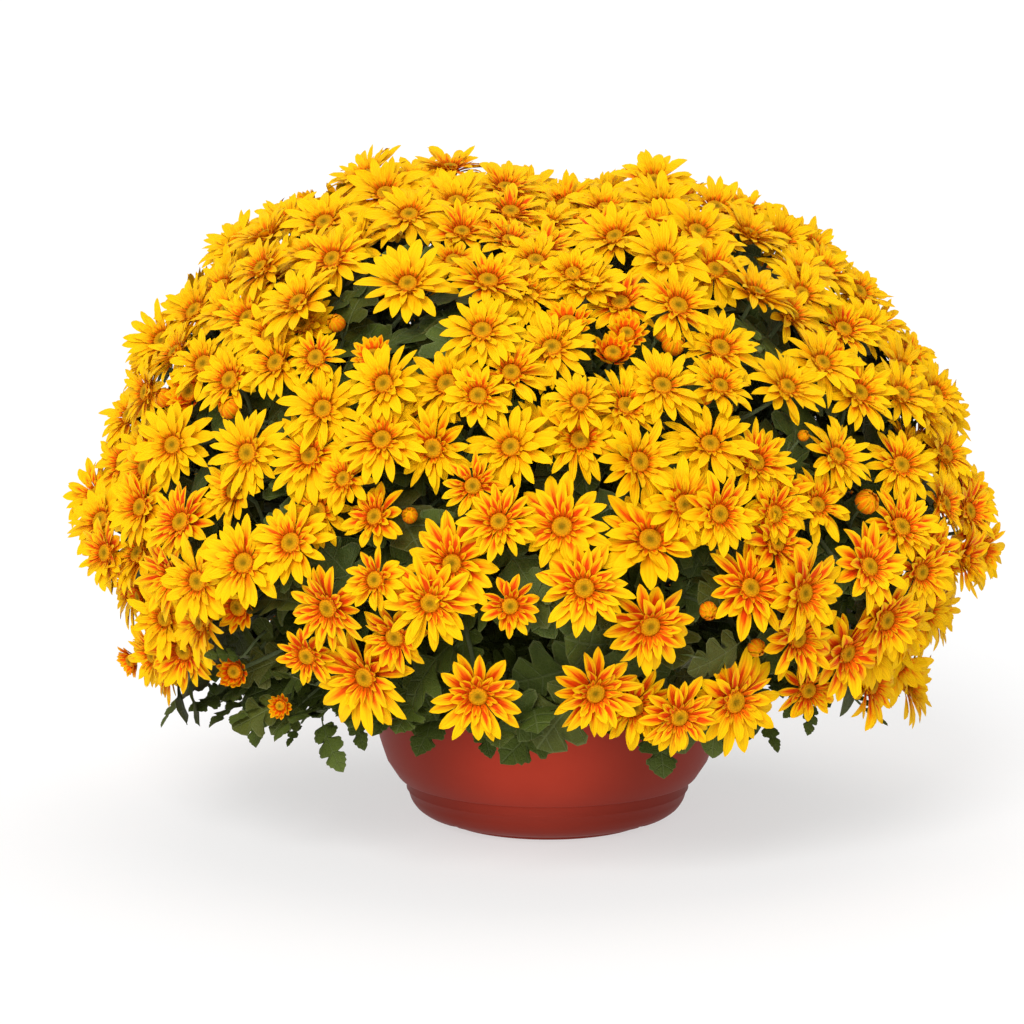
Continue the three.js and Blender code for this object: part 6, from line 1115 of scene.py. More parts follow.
def leaf_parts(half, between):
    """Flat points (along, out, edge) and triangles of a leaf's upper face, the right half first. between adds a row of points halfway out."""
    ribs = sorted({p[2] for p in half})
    at = [(r, 0.0, 0.0) for r in ribs]
    tip = len(ribs) - 1
    faces = []
    for sign in (-1.0, 1.0):
        rim = []
        for x, y, r in half[:-1]:
            rim.append(len(at))
            at.append((x, sign * y, 1.0))
        rim.append(tip)
        inner = []
        if between:
            for (x, y, r), n in zip(half[:-1], rim):
                inner.append(len(at))
                at.append((r + (x - r) * 0.52, sign * y * 0.52, 0.5))
            inner.append(tip)
        spine = [ribs.index(p[2]) for p in half]

        def strip(near, far):
            for i in range(len(half) - 1):
                a, b, c, d = near[i], near[i + 1], far[i], far[i + 1]
                for face in ((a, c, d), (a, d, b)):
                    if len(set(face)) == 3:
                        faces.append(face if sign < 0 else face[::-1])

        if between:
            strip(spine, inner)
            strip(inner, rim)
        else:
            strip(spine, rim)
    return np.array(at), np.array(faces)


FULL_LEAF, LOBED_LEAF, MIDDLING_LEAF, PLAIN_LEAF = leaf_parts(FULL, True), leaf_parts(FULL, False), leaf_parts(MIDDLING, False), leaf_parts(PLAIN, False)


def leaf(piece, base, tip, facing, width, droop, chance, young, shape, seed, fold=0.22, material=0):
    """A lobed leaf from base to tip. width is its full width as a share of its length, and facing is the side that its upper face looks to."""
    base, tip = np.asarray(base, float), np.asarray(tip, float)
    size = float(np.linalg.norm(tip - base))
    x = (tip - base) / size
    z = unit(np.asarray(facing, float) - (np.asarray(facing, float) @ x) * x)
    y = np.cross(z, x)
    flat, faces = shape
    roll = np.random.RandomState(seed)
    along, out, edge = flat[:, 0].copy(), flat[:, 1] * (width / 0.74), flat[:, 2]
    along = along + np.where(edge > 0.9, roll.uniform(-0.012, 0.012, len(flat)), 0) * (flat[:, 0] < 0.99) * (flat[:, 0] > 0.16)
    skew = roll.uniform(-0.10, 0.10)
    lift = droop * (0.5 - 2 * (along - 0.5) ** 2)
    lift = lift + np.abs(out) * fold
    lift = lift - out**2 * roll.uniform(0.2, 0.9)
    wave, phase = roll.uniform(0.018, 0.05), roll.uniform(0, 6.28)
    lift = lift + wave * np.sin(along * roll.uniform(9, 14) + phase + np.sign(out) * 1.1) * (np.abs(out) / 0.3)
    lift = lift + roll.uniform(-0.06, 0.06) * out * 2 * along
    sway = skew * along * (1 - along)
    side_point = edge > 0.9
    body = np.where(side_point | (flat[:, 0] > 0.99), 0.0, 0.45)
    mid = base + size * (along[:, None] * x + (out + sway)[:, None] * y + lift[:, None] * z)
    rim = side_point | (flat[:, 0] > 0.99)
    n = len(flat)
    upper = mid + body[:, None] * 0.5 * z
    lower = mid - body[:, None] * 0.5 * z
    index_low = np.arange(n)
    inner = np.where(~rim)[0]
    index_low[inner] = n + np.arange(len(inner))
    co = np.concatenate([upper, lower[inner]])
    at = np.stack([flat[:, 0], flat[:, 1], np.where(rim, 1.0, flat[:, 2])], 1)
    at = np.concatenate([at, at[inner]])
    of = np.zeros((len(co), 3))
    of[n:, 0] = 1.0
    of[:, 1], of[:, 2] = chance, young
    crease = np.zeros(len(co), bool)
    crease[:n] = rim
    first = piece.points(co, at, of, crease)
    cells = piece.cell(size * 0.75, size, 1), piece.cell(size * 0.6, size * 0.8, 1)
    place = np.stack([0.5 + flat[:, 1] / 0.76, flat[:, 0]], 1)
    piece.skin(first + faces, place[faces], cells[0][0], material)
    piece.skin(first + index_low[faces][:, ::-1], place[faces][:, ::-1], cells[1][0], material)


# ------------------------------------------------------------------ the plant's layout
KIND_BLOOM, KIND_HALF, KIND_SMALL, KIND_BUD = 0, 1, 2, 3
rows, owner = [], []
for s, (name, foot, fork, branches) in enumerate(SHOOTS):
    for b, (at, heads) in enumerate(branches):
        for head in heads:
            rows.append(head)
            owner.append((s, b))
rows = np.array(rows, float)
P, N, R = rows[:, :3].copy(), unit(rows[:, 3:6]), rows[:, 6]
TONE, KIND, SEEN = rows[:, 7], rows[:, 8].astype(int), rows[:, 9] > 0
TONE = np.clip(TONE * 1.05 - 0.47 * ease((P[:, 2] - 170) / 120) + 0.17 - 0.10 * ease((P[:, 0] - 60) / 120) - 0.16 * ease((-90 - P[:, 0]) / 80) * ease((P[:, 2] - 120) / 40) + 0.12 * ease((200 - P[:, 2]) / 50) * ease((160 - np.abs(P[:, 0])) / 40), 0, 1)  # the upper heads are yellower
COUNT = len(rows)

# Heads at the plant's outline stand back a little (out, where it is below zero), so that their petals end where its edge is.
eye = (EYE - AXIS) / MM
skin = unit(np.stack([P[:, 0] / 277**2, P[:, 1] / 252**2, (P[:, 2] - 170) / 231**2], 1))
edge_on = 1 - ease((np.abs((skin * unit(eye - P)).sum(1)) - 0.20) / 0.35)
left_in = np.interp(
    P[:, 2],
    (70, 78, 92, 104, 115, 127, 138, 150, 163, 180, 195, 225, 240, 262, 285, 300, 315, 330, 350, 380, 401),
    (0, 10, 6, 1, 6, 12, 11, 9, 2, 0, 5, 6, 2, -5, -6, -2, 3, 5, 6, 6, 6),
)
right_in = np.interp(P[:, 2], (95, 115, 130, 142, 155, 200, 225, 245, 262, 272, 310, 350, 385, 401), (0, 9, 9, 6, 0, 1, 3, 5, 5, 7, 7, 8, 7, 6))
P -= (edge_on * np.where(P[:, 0] < 0, left_in, right_in))[:, None] * skin
R = np.where(SEEN | (P[:, 1] < 60), R * (1 + 0.04 * ease((P[:, 2] - 300) / 50)), R * 1.06)  # the far side has fewer heads for its size
rng = np.random.RandomState(20260)
KIND = np.where((KIND == KIND_SMALL) & (R < 10), KIND_HALF, KIND)
opened = (KIND == KIND_BLOOM) | (KIND == KIND_SMALL)
CUPPED = rng.uniform(-0.06, 0.19, COUNT)

# Open heads look outwards from the plant more than its surface does, some of them far more.
to_eye = unit(eye - P)
outwards = unit(np.stack([P[:, 0], P[:, 1], 0 * P[:, 0] + 12], 1))
facing_now = np.where(SEEN, (N * to_eye).sum(1), (N * outwards).sum(1))
lean_by = rng.uniform(0.0, 0.50, COUNT) * (1 - ease((facing_now - 0.40) / 0.55)) + 0.03
N = unit(N + lean_by[:, None] * np.where(SEEN[:, None], to_eye, outwards) + rng.normal(0, 0.07, (COUNT, 3)))
turned = np.maximum(np.clip(0.30 - (N * to_eye).sum(1), 0, 0.6) * ease((P[:, 2] - 280) / 60) * (P[:, 1] < 75), np.clip(0.21 - (N * to_eye).sum(1), 0, 0.6) * (SEEN | (P[:, 1] < 50) & (P[:, 2] < 215)))
N = unit(N + (1.3 * turned + 0.9 * (SEEN & (KIND == KIND_HALF) & (P[:, 2] < 120) & (P[:, 0] > -200)))[:, None] * to_eye)
CUPPED = np.minimum(CUPPED + 0.11 * ease((0.62 - np.abs((N * to_eye).sum(1))) / 0.4), 0.27)

# Blooms that crowd each other lie one over the other. Those placed one by one move only along the line that they are
# seen on.
shift_way = np.where(SEEN[:, None], unit(eye - P), N)
gaps = np.linalg.norm(P[:, None] - P[None], axis=2)
pairs = [(a, b) for a in range(COUNT) for b in range(a + 1, COUNT) if opened[a] and opened[b] and gaps[a, b] < R[a] + R[b] - 1]
moved = np.zeros(COUNT)
rank = rng.uniform(-1, 1, COUNT) - (R - 25) / 2.0
for _ in range(24):
    for a, b in pairs:
        between = unit(N[a] + N[b])
        apart = (P[a] + moved[a] * shift_way[a] - P[b] - moved[b] * shift_way[b]) @ between
        over = np.clip((R[a] + R[b] - gaps[a, b]) / 14, 0, 1)
        want = 5.0 * over
        if abs(apart) < want:
            sign = np.sign(apart + 1.2 * (rank[a] - rank[b])) or 1.0
            push = (want - abs(apart)) * 0.25 * sign
            moved[a] += push
            moved[b] -= push
    moved = np.clip(moved, -6.0, 6.0)
P = P + moved[:, None] * shift_way


def seat_of(i, spin):
    z = N[i]
    x = unit(np.cross(z, [0.13, 0.29, 0.95]) if abs(z[2]) < 0.95 else np.cross(z, [0.2, 0.97, 0.1]))
    y = np.cross(z, x)
    return P[i], math.cos(spin) * x + math.sin(spin) * y, -math.sin(spin) * x + math.cos(spin) * y, z


def yielding(i, seat, phi, length, start, slope):
    """How much each petal of head i tips up over a lower neighbour or down under a higher one, and what share of its length is left."""
    origin, ex, ey, ez = seat
    way = np.cos(phi)[:, None] * ex + np.sin(phi)[:, None] * ey
    tipped, kept = np.zeros(len(phi)), np.ones(len(phi))
    near = [j for j in range(COUNT) if j != i and KIND[j] != KIND_BUD and np.linalg.norm(P[i] - P[j]) < R[i] + R[j] + 3]
    for j in near:
        level = (P[i] - P[j]) @ unit(N[i] + N[j])
        for share in (1.0, 0.7):
            spot = origin + way * (start + length * share * np.cos(slope))[:, None] + ez * (length * share * np.sin(slope))[:, None]
            off = spot - P[j]
            high = off @ N[j]
            far = np.linalg.norm(off - high[:, None] * N[j], axis=1)
            hit = far < R[j] * 0.96
            top = 1.5 + CUPPED[j] * np.maximum(far - 5, 0)
            reach = np.maximum(length * share, 4.0)
            if level >= 0:
                need = np.where(hit, np.maximum(top + 1.2 - high, 0), 0)
                tipped = np.maximum(tipped, np.arctan2(need, reach) * (share == 1.0))
            else:
                need = np.where(hit, np.maximum(high - (top - 3.4), 0), 0)
                tipped = np.where(need > 0, np.minimum(tipped, -np.arctan2(need, reach)), tipped)
                if share == 1.0:
                    pierce = hit & (far < 8.0)
                    kept = np.where(pierce, np.minimum(kept, 0.78), kept)
    return np.clip(tipped, -0.75, 0.5), kept


def bloom(piece, i, seed):
    """An open head: rows of ray petals, a collar of short ones round the disc, the disc's florets and the green cup below."""
    roll = np.random.RandomState(seed)
    r, tone = R[i], TONE[i]
    scale = r / 25.0
    disc = (5.6 + roll.uniform(-0.35, 0.45)) * (scale if scale < 0.64 else 0.55 + 0.45 * scale)
    seat = seat_of(i, roll.uniform(0, 6.283))
    ex, ey, ez = seat[1:]
    cup = CUPPED[i]
    few = roll.uniform(0, 1)
    wild = 0.55 + 1.0 * roll.uniform(0, 1) ** 1.5

    def sag(phi):
        """How far down each petal's tip is pulled sideways."""
        return 0.09 * (np.sin(phi) * ex[2] - np.cos(phi) * ey[2])

    def redder(phi, spread):
        """How red each petal is: on the red heads the upper ones are redder."""
        high = np.cos(phi) * ex[2] + np.sin(phi) * ey[2]
        return np.clip(tone + 0.30 * high * ease((tone - 0.15) / 0.4) + roll.uniform(-spread, spread, len(phi)), 0, 1)

    # outer rays
    sparse = ease((21.5 - r) / 2.5)
    fine = ease((P[i, 2] - 205) / 60) * (P[i, 1] < 60)  # the upper heads have more and narrower petals
    n = int(round((14 + 4 * few) * (1 - 0.30 * sparse + 0.12 * fine)))
    phi = (np.arange(n) + roll.uniform(-0.34, 0.34, n)) * 2 * np.pi / n
    length = (r - disc * 0.80) * roll.uniform(0.86, 1.10, n)
    length[roll.uniform(0, 1, n) < 0.10] *= 0.80
    width = (7.4 - 1.4 * few + 1.2 * sparse) * (1 - 0.15 * fine + 0.07 * ease((P[i, 2] - 300) / 50)) * scale * roll.uniform(0.78, 1.12, n)
    turn = np.arange(n) % 2
    start = np.stack([np.full(n, disc * 0.84), -1.5 - 0.7 * turn], 1)
    rise = np.stack(
        [
            0.42 + cup + roll.uniform(-0.10, 0.12, n) - 0.10 * turn,
            0.12 + cup + roll.uniform(-0.16, 0.18, n) * wild - 0.06 * turn,
            -0.12 - 0.10 * max(ez[2], 0) + cup + roll.uniform(-0.46, 0.34, n) * wild,
        ],
        1,
    )
    tip, kept = yielding(i, seat, phi, length, start[:, 0], 0.10 + cup + 0 * phi)
    rise += tip[:, None] * np.array([0.75, 1.05, 1.0])
    length = length * kept
    of = np.stack([redder(phi, 0.17), roll.uniform(0, 1, n), np.zeros(n)], 1)
    petals(piece, seat, phi, length, width, start, rise, sag(phi) + roll.uniform(-0.14, 0.14, n) * wild, roll.uniform(-0.45, 0.45, n) * wild, roll.uniform(0.04, 0.28, n), OUTER_RINGS if SEEN[i] or P[i, 1] < 0 else FAR_RINGS, KEEL, of, 0.6)
    # inner rays
    n = int(round((11 + 3 * roll.uniform(0, 1)) * (1 - 0.45 * sparse)))
    phi = (np.arange(n) + 0.5 + roll.uniform(-0.36, 0.36, n)) * 2 * np.pi / n
    length = (r - disc * 0.9) * roll.uniform(0.50, 0.88, n)
    width = (6.1 - 1.1 * few + 0.6 * sparse) * (1 - 0.12 * fine) * scale * roll.uniform(0.76, 1.12, n)
    start = np.stack([np.full(n, disc * 0.88), np.full(n, 0.0)], 1)
    rise = np.stack([0.62 + cup + roll.uniform(-0.10, 0.14, n), 0.36 + cup + roll.uniform(-0.16, 0.24, n) * wild, 0.10 + cup + roll.uniform(-0.40, 0.42, n) * wild], 1)
    tip, kept = yielding(i, seat, phi, length, start[:, 0], 0.34 + cup + 0 * phi)
    rise += np.minimum(tip, 0.25)[:, None] * 0.9
    of = np.stack([redder(phi, 0.15), roll.uniform(0, 1, n), np.full(n, 0.6)], 1)
    petals(piece, seat, phi, length, width, start, rise, sag(phi) + roll.uniform(-0.18, 0.18, n) * wild, roll.uniform(-0.55, 0.55, n) * wild, roll.uniform(0.05, 0.28, n), INNER_RINGS, KEEL, of, 0.55)
    # the collar
    n = int(round(12 + 3 * roll.uniform(0, 1)))
    phi = (np.arange(n) + roll.uniform(-0.25, 0.25, n)) * 2 * np.pi / n
    length = roll.uniform(4.0, 8.5, n) * scale
    width = roll.uniform(1.9, 3.1, n) * scale
    start = np.stack([np.full(n, disc * 0.92), np.full(n, 1.5)], 1)
    rise = np.stack([0.74 + roll.uniform(-0.1, 0.1, n), 0.60 + cup + roll.uniform(-0.18, 0.18, n), 0.40 + cup + roll.uniform(-0.35, 0.25, n)], 1)
    of = np.stack([np.clip(tone * 0.65 + 0.22 + roll.uniform(-0.1, 0.1, n), 0, 1), roll.uniform(0, 1, n), np.full(n, 1.3)], 1)
    petals(piece, seat, phi, length, width, start, rise, roll.uniform(-0.12, 0.12, n), roll.uniform(-0.2, 0.2, n), np.full(n, 0.25), COLLAR_RINGS, SLIM, of, 0.4)
    core(piece, seat, disc, tone, roll.uniform(0, 1), 12)


def core(piece, seat, disc, tone, chance, sides, top=2.1):
    d = disc
    profile = [
        (0, top - 0.9), (0.30 * d, top - 0.45), (0.62 * d, top), (0.86 * d, top - 0.55), (1.0 * d, top - 1.9),
        (0.99 * d, -2.2), (0.66 * d, -5.2), (1.3, -7.6), (0, -7.8),
    ]
    lathe(piece, seat, profile, sides, (tone, chance, 0.0), ripple=0.14, split=6, materials=(1, 2))


def half_open(piece, i, seed):
    """A button: a ring of short upright petals round a disc that still fills it, redder outside."""
    roll = np.random.RandomState(seed)
    r, tone = R[i], TONE[i]
    scale = r / 9.6
    seat = seat_of(i, roll.uniform(0, 6.283))
    open_by = roll.uniform(0.0, 1.0)
    disc = 4.1 * scale
    for n, near, tall, lean, deep in ((13, 0.98, 8.6, 0.55, -2.4), (12, 0.94, 6.4, 0.80, -1.0)):
        phi = (np.arange(n) + roll.uniform(-0.22, 0.22, n)) * 2 * np.pi / n
        length = tall * scale * roll.uniform(0.82, 1.10, n)
        width = 3.9 * scale * roll.uniform(0.85, 1.12, n)
        start = np.stack([np.full(n, disc * near), np.full(n, deep * scale)], 1)
        rise = np.stack([lean + 0 * phi, lean + 0.42 - 0.30 * open_by + roll.uniform(-0.10, 0.10, n), lean + 0.62 - 0.75 * open_by + roll.uniform(-0.30, 0.2, n)], 1)
        of = np.stack([np.clip(0.62 + 0.28 * tone + roll.uniform(-0.12, 0.12, n), 0, 1), roll.uniform(0, 1, n), np.full(n, 1.0)], 1)
        petals(piece, seat, phi, length, width, start, rise, roll.uniform(-0.08, 0.08, n), roll.uniform(-0.25, 0.25, n), roll.uniform(0.1, 0.28, n), INNER_RINGS, KEEL, of, 0.5)
    core(piece, seat, disc, 0.6, roll.uniform(0, 1), 14, 1.2)


def bud(piece, i, seed):
    """A closed head: petals folded over a core, with green bracts below."""
    roll = np.random.RandomState(seed)
    r, tone = R[i], TONE[i]
    seat = seat_of(i, roll.uniform(0, 6.283))
    origin, ex, ey, ez = seat
    ripe = np.clip((r - 1.8) / 4.0, 0, 1)
    body = [(0, 0.93), (0.34, 0.86), (0.62, 0.64), (0.82, 0.30), (0.88, -0.08), (0.80, -0.42), (0.62, -0.70), (0.34, -0.92), (0.0, -1.0)]
    lathe(piece, seat, [(a * r, b * r) for a, b in body], 10, (0.10, roll.uniform(0, 1), 0.0), ripple=0.02 * r, split=6, materials=(0 if ripe > 0.2 else 2, 2))
    if ripe > 0.2:
        n = 11
        phi = (np.arange(n) + roll.uniform(-0.12, 0.12, n)) * 2 * np.pi / n
        start = np.stack([np.full(n, 0.62 * r), np.full(n, -0.66 * r)], 1)
        rise = np.stack([0.75 + 0 * phi, 1.62 + roll.uniform(-0.05, 0.08, n), 2.75 + roll.uniform(-0.35, 0.15, n)], 1)
        of = np.stack([np.clip(0.80 + 0.2 * tone + roll.uniform(-0.1, 0.1, n), 0, 1), roll.uniform(0, 1, n), np.full(n, 2.4)], 1)
        petals(piece, seat, phi, 2.15 * r * roll.uniform(0.9, 1.08, n), 0.66 * r * roll.uniform(0.9, 1.1, n), start, rise, roll.uniform(-0.08, 0.08, n), np.zeros(n), np.full(n, -0.25), INNER_RINGS, KEEL, of, 0.35)
    n = 9
    phi = (np.arange(n) + roll.uniform(-0.1, 0.1, n)) * 2 * np.pi / n
    start = np.stack([np.full(n, 0.34 * r), np.full(n, -0.98 * r)], 1)
    rise = np.stack([0.30 + 0 * phi, 1.20 + 0 * phi, 1.85 + roll.uniform(-0.1, 0.1, n)], 1)
    of = np.stack([np.full(n, 0.3), roll.uniform(0, 1, n), np.zeros(n)], 1)
    petals(piece, seat, phi, 1.25 * r * roll.uniform(0.9, 1.1, n), 0.60 * r + 0 * phi, start, rise, 0 * phi, 0 * phi, np.full(n, -0.2), COLLAR_RINGS, SLIM, of, 0.3, material=2)


# ------------------------------------------------------------------ stems, with where leaves may sit on them
def depth_under(q):
    """How far a point is below the blooms near it."""
    off = P - q
    far = np.linalg.norm(off, axis=1)
    near = np.argsort(far)[:4]
    return float(((off[near] * N[near]).sum(1)).mean())


def before_a_head(base, tip, half):
    """Whether a leaf from base to tip would cover the front of a head."""
    side = unit(np.cross(tip - base, [0.1, 0.2, 1.0])) * half
    mid = (base + tip) / 2
    for q in (base + 0.3 * (tip - base), mid + side, mid - side, base + 0.75 * (tip - base), tip):
        off = q - P
        high = (off * N).sum(1)
        across = np.linalg.norm(off - high[:, None] * N, axis=1)
        if ((high > -3.5) & (high < 45) & (across < R * 0.95)).any():
            return True
    return False


HANG = np.array([  # how low the foliage hangs: across and down the picture
    (0, 600), (60, 610), (100, 650), (130, 690), (160, 724), (200, 731), (240, 746), (290, 746), (312, 736), (328, 768), (362, 768), (384, 738), (420, 746), (455, 756), (480, 750),
    (501, 763), (540, 756), (567, 740), (612, 733), (640, 768), (680, 776), (700, 764), (760, 751), (780, 749), (805, 733), (830, 722), (880, 724), (900, 703), (935, 690), (965, 640), (1024, 560),
], float)


def in_picture(q):
    """Where points are in the picture, and how far they are from the camera."""
    off = np.asarray(q, float) - eye
    away = off[..., 1] * math.cos(PITCH) - off[..., 2] * math.sin(PITCH)
    up = off[..., 1] * math.sin(PITCH) + off[..., 2] * math.cos(PITCH)
    zoom = LENS / 36 * 1024
    return 512 + zoom * off[..., 0] / away, 512 - zoom * up / away, away


HEAD_X, HEAD_Y, HEAD_AWAY = in_picture(P)


def in_the_way(base, tip, half):
    """Whether a leaf would hang too low, or lie before a bloom."""
    if before_a_head(base, tip, half):
        return True
    side = unit(np.cross(tip - base, [0.1, 0.2, 1.0])) * half
    spots = [base + k * (tip - base) + w * side for k, w in ((0.3, 0), (0.3, 0.9), (0.3, -0.9), (0.5, 0.8), (0.5, -0.8), (0.65, 0), (0.75, 0.7), (0.75, -0.7), (0.88, 0), (1.0, 0))]
    x, y, away = in_picture(spots)
    if ((y > np.interp(x, HANG[:, 0], HANG[:, 1]) - 2) & (away < 2480)).any():
        return True
    if half > 12.2 and ((x > 215) & (x < 312) & (y > 684) & (away < 2480)).any():
        return True
    near = np.hypot(x[:, None] - HEAD_X, y[:, None] - HEAD_Y) * 0.6 < np.maximum(R * 0.86, 12.5)
    return bool((near & (away[:, None] < HEAD_AWAY - 2) & SEEN).any())


heads_of = {}
for i, who in enumerate(owner):
    heads_of.setdefault(who, []).append(i)

# Side shoots, each from the stem that stands nearest: direction, how far out, how high its end is, how many leaves.
SIDE_SHOOTS = {}
side_roll = np.random.RandomState(41)
feet = np.array([foot for _, foot, _, _ in SHOOTS], float)
ways = [(2 * math.pi * (k + side_roll.uniform(-0.3, 0.3)) / 48, k % 2) for k in range(48)]
ways += [(math.radians(a), 2) for a in (190, 196, 202, 208, 214, 220, 226, 232, 239, 246, 255, 266, 280, 292, 304, 316, 328)]
ways += [(math.radians(a), 2) for a in (203, 206, 209, 212, 216, 219, 223, 227)]
ways += [(math.radians(a), 3) for a in (233, 243, 252, 260, 269, 278, 287, 296, 306)]
for az, kind in ways:
    reach = (side_roll.uniform(134, 156), side_roll.uniform(176, 212), side_roll.uniform(136, 204), side_roll.uniform(118, 134))[kind]
    low_end = (side_roll.uniform(96, 114), side_roll.uniform(106, 126), side_roll.uniform(92, 118), side_roll.uniform(108, 120))[kind]
    nearest = int(np.argmin(np.hypot(feet[:, 0] - 66 * math.cos(az), feet[:, 1] - 66 * math.sin(az))))
    SIDE_SHOOTS.setdefault(nearest, []).append((az, reach, low_end, (7, 8, 8, 6)[kind]))

made = []
total_leaves = fine_leaves = 0
for s, (name, foot, fork, branches) in enumerate(SHOOTS):
    blooms = Piece(name.replace("flowering_shoot", "blooms"), [PETAL, DISC, CALYX])
    greens = Piece(name.replace("flowering_shoot", "stems_and_leaves"), [STEM, LEAF])
    roll = np.random.RandomState(900 + s)
    fork, ground = np.array(fork, float), np.array([foot[0], foot[1], 97.0])
    lean = fork - ground
    tall = np.linalg.norm(lean)
    stem = bow(ground, ground + [0, 0, 0.35 * tall], fork - 0.3 * unit(lean) * tall, fork, 8)
    tube(greens, stem, np.linspace(3.1, 2.4, 8), 8, np.linspace(1.0, 0.55, 8), roll.uniform(0, 1))
    spots = []  # on a stem: where, which way it runs, how leafy
    for b, (at, _) in enumerate(branches):
        at = np.array(at, float)
        members = heads_of[s, b]
        out = unit(P[members].mean(0) - at)
        way = np.linalg.norm(at - fork)
        arm = bow(fork, fork + unit(lean) * way * 0.30, at - out * way * 0.30, at, 7)
        tube(greens, arm, np.linspace(2.3, 1.7, 7), 7, np.linspace(0.55, 0.1, 7), roll.uniform(0, 1))
        for t in np.linspace(0.25, 0.95, max(2, int(way / 22))):
            k = int(t * 6)
            spots.append((arm[k] + (arm[min(k + 1, 6)] - arm[k]) * (t * 6 - k), unit(arm[min(k + 1, 6)] - arm[max(k - 1, 0)]), 0.8))
        for i in members:
            small = KIND[i] == KIND_BUD
            base = P[i] - N[i] * (R[i] * 0.9 if small else 7.2)
            d = np.linalg.norm(base - at)
            stalk = bow(at, at + unit(out + unit(base - at)) * d * 0.35, base - N[i] * d * 0.36, base, 7)
            tube(greens, stalk, np.linspace(1.35, 0.75 if small else 1.15, 7), 6, np.zeros(7), roll.uniform(0, 1))
            if d > 22:
                for t in np.linspace(0.22, 0.86, max(2, int(d / 17))):
                    k = int(t * 6)
                    spots.append((stalk[k] + (stalk[min(k + 1, 6)] - stalk[k]) * (t * 6 - k), unit(stalk[min(k + 1, 6)] - stalk[max(k - 1, 0)]), 1.0))
            # the head itself
            if KIND[i] in (KIND_BLOOM, KIND_SMALL):
                bloom(blooms, i, 5000 + i)
            elif KIND[i] == KIND_HALF:
                half_open(blooms, i, 5000 + i)
            else:
                bud(blooms, i, 5000 + i)
    # side shoots over the pot's rim, and under the blooms
    for az, reach, low, many in SIDE_SHOOTS.get(s, ()):
        out = np.array([math.cos(az), math.sin(az), 0.0])
        first = stem[1]
        mid = out * (reach * 0.72) + [0, 0, max(low + 30, 128)]
        twig = bow(first, first + out * 12 + [0, 0, 20], mid, out * reach + [0, 0, low], 9)
        tube(greens, twig, np.linspace(1.7, 0.9, 9), 6, np.linspace(0.3, 0, 9), roll.uniform(0, 1))
        for k, t in enumerate(np.linspace(0.36, 1.0, many)):
            j = min(int(t * 8), 7)
            at = twig[j] + (twig[j + 1] - twig[j]) * (t * 8 - j)
            side = np.array([-out[1], out[0], 0.0]) * (1 if k % 2 else -1)
            for go_down in np.linspace(1.0, 0.0, 20):
                spread = roll.uniform(0.20, 1.25) if t < 0.97 else roll.uniform(-0.3, 0.3)
                size = roll.uniform(27, 46)
                go = unit(math.cos(spread) * out + math.sin(spread) * side + [0, 0, 0.45 - 1.3 * go_down * roll.uniform(0.5, 1.0)])
                end = at + go * (size + 4)
                if math.hypot(end[0], end[1]) > 121 and end[2] > 36 and not in_the_way(at + go * 4, end, size * 0.33):
                    facing = unit(out * 0.9 + np.array([0, 0, 0.8]) + 0.25 * roll.normal(size=3))
                    leaf(greens, at + go * 4, end, facing, roll.uniform(0.66, 0.82), roll.uniform(0.0, 0.30), roll.uniform(0, 1), roll.uniform(-0.3, 0.4), LOBED_LEAF if end[1] < -40 or end[0] < -120 and end[1] < 40 else MIDDLING_LEAF, roll.randint(1 << 30), roll.uniform(0.05, 0.30), 1)
                    tube(greens, [at, at + go * 2.5, at + go * 5.5], [0.8, 0.7, 0.6], 3, np.zeros(3), 0.5)
                    total_leaves += 1
                    break
    # leaves along the stems, under the blooms
    for at, way, leafy in spots:
        if at[2] < 118 and math.hypot(at[0], at[1]) < 112:
            continue
        outward = unit(at - np.array([0, 0, 120.0]))
        for _ in range(12):
            size = roll.uniform(32, 56)
            turn = roll.uniform(0, 2 * math.pi)
            a = unit(np.cross(way, [0.3, 0.2, 0.9]))
            c = np.cross(way, a)
            lean_out = roll.uniform(0.7, 1.5)
            go = math.cos(lean_out) * way + math.sin(lean_out) * (math.cos(turn) * a + math.sin(turn) * c)
            go = unit(go + 0.10 * outward)
            end = at + go * (size + 4)
            deep = depth_under(end)
            far = math.hypot(end[0], end[1])
            if far < 121 and end[2] < 126 or (deep > 36 and roll.uniform() < 0.45):
                continue
            if end[2] > 66 and (deep > 6 + 0.09 * size or (end[2] < 135 and far < 240 and deep > -3)) and not in_the_way(at + go * 4, end, size * 0.28):
                facing = unit(outward + 0.35 * roll.normal(size=3) + np.array([0, 0, 0.25]))
                shape = MIDDLING_LEAF if deep < 21 or end[2] < 130 else PLAIN_LEAF
                fine_leaves += shape is MIDDLING_LEAF
                leaf(greens, at + go * 4, end, facing, roll.uniform(0.66, 0.84), roll.uniform(-0.05, 0.28), roll.uniform(0, 1), roll.uniform(-0.75, 0.35), shape, roll.randint(1 << 30), roll.uniform(0.05, 0.35), 1)
                tube(greens, [at, at + go * 2.5, at + go * 5.5], [0.75, 0.6, 0.5], 3, np.zeros(3), 0.5)
                total_leaves += 1
                break
    for piece, slot in ((blooms, "petal_yellow_orange"), (greens, "leaf_green")):
        thing = piece.build()
        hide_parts(name)
        made.append(thing)

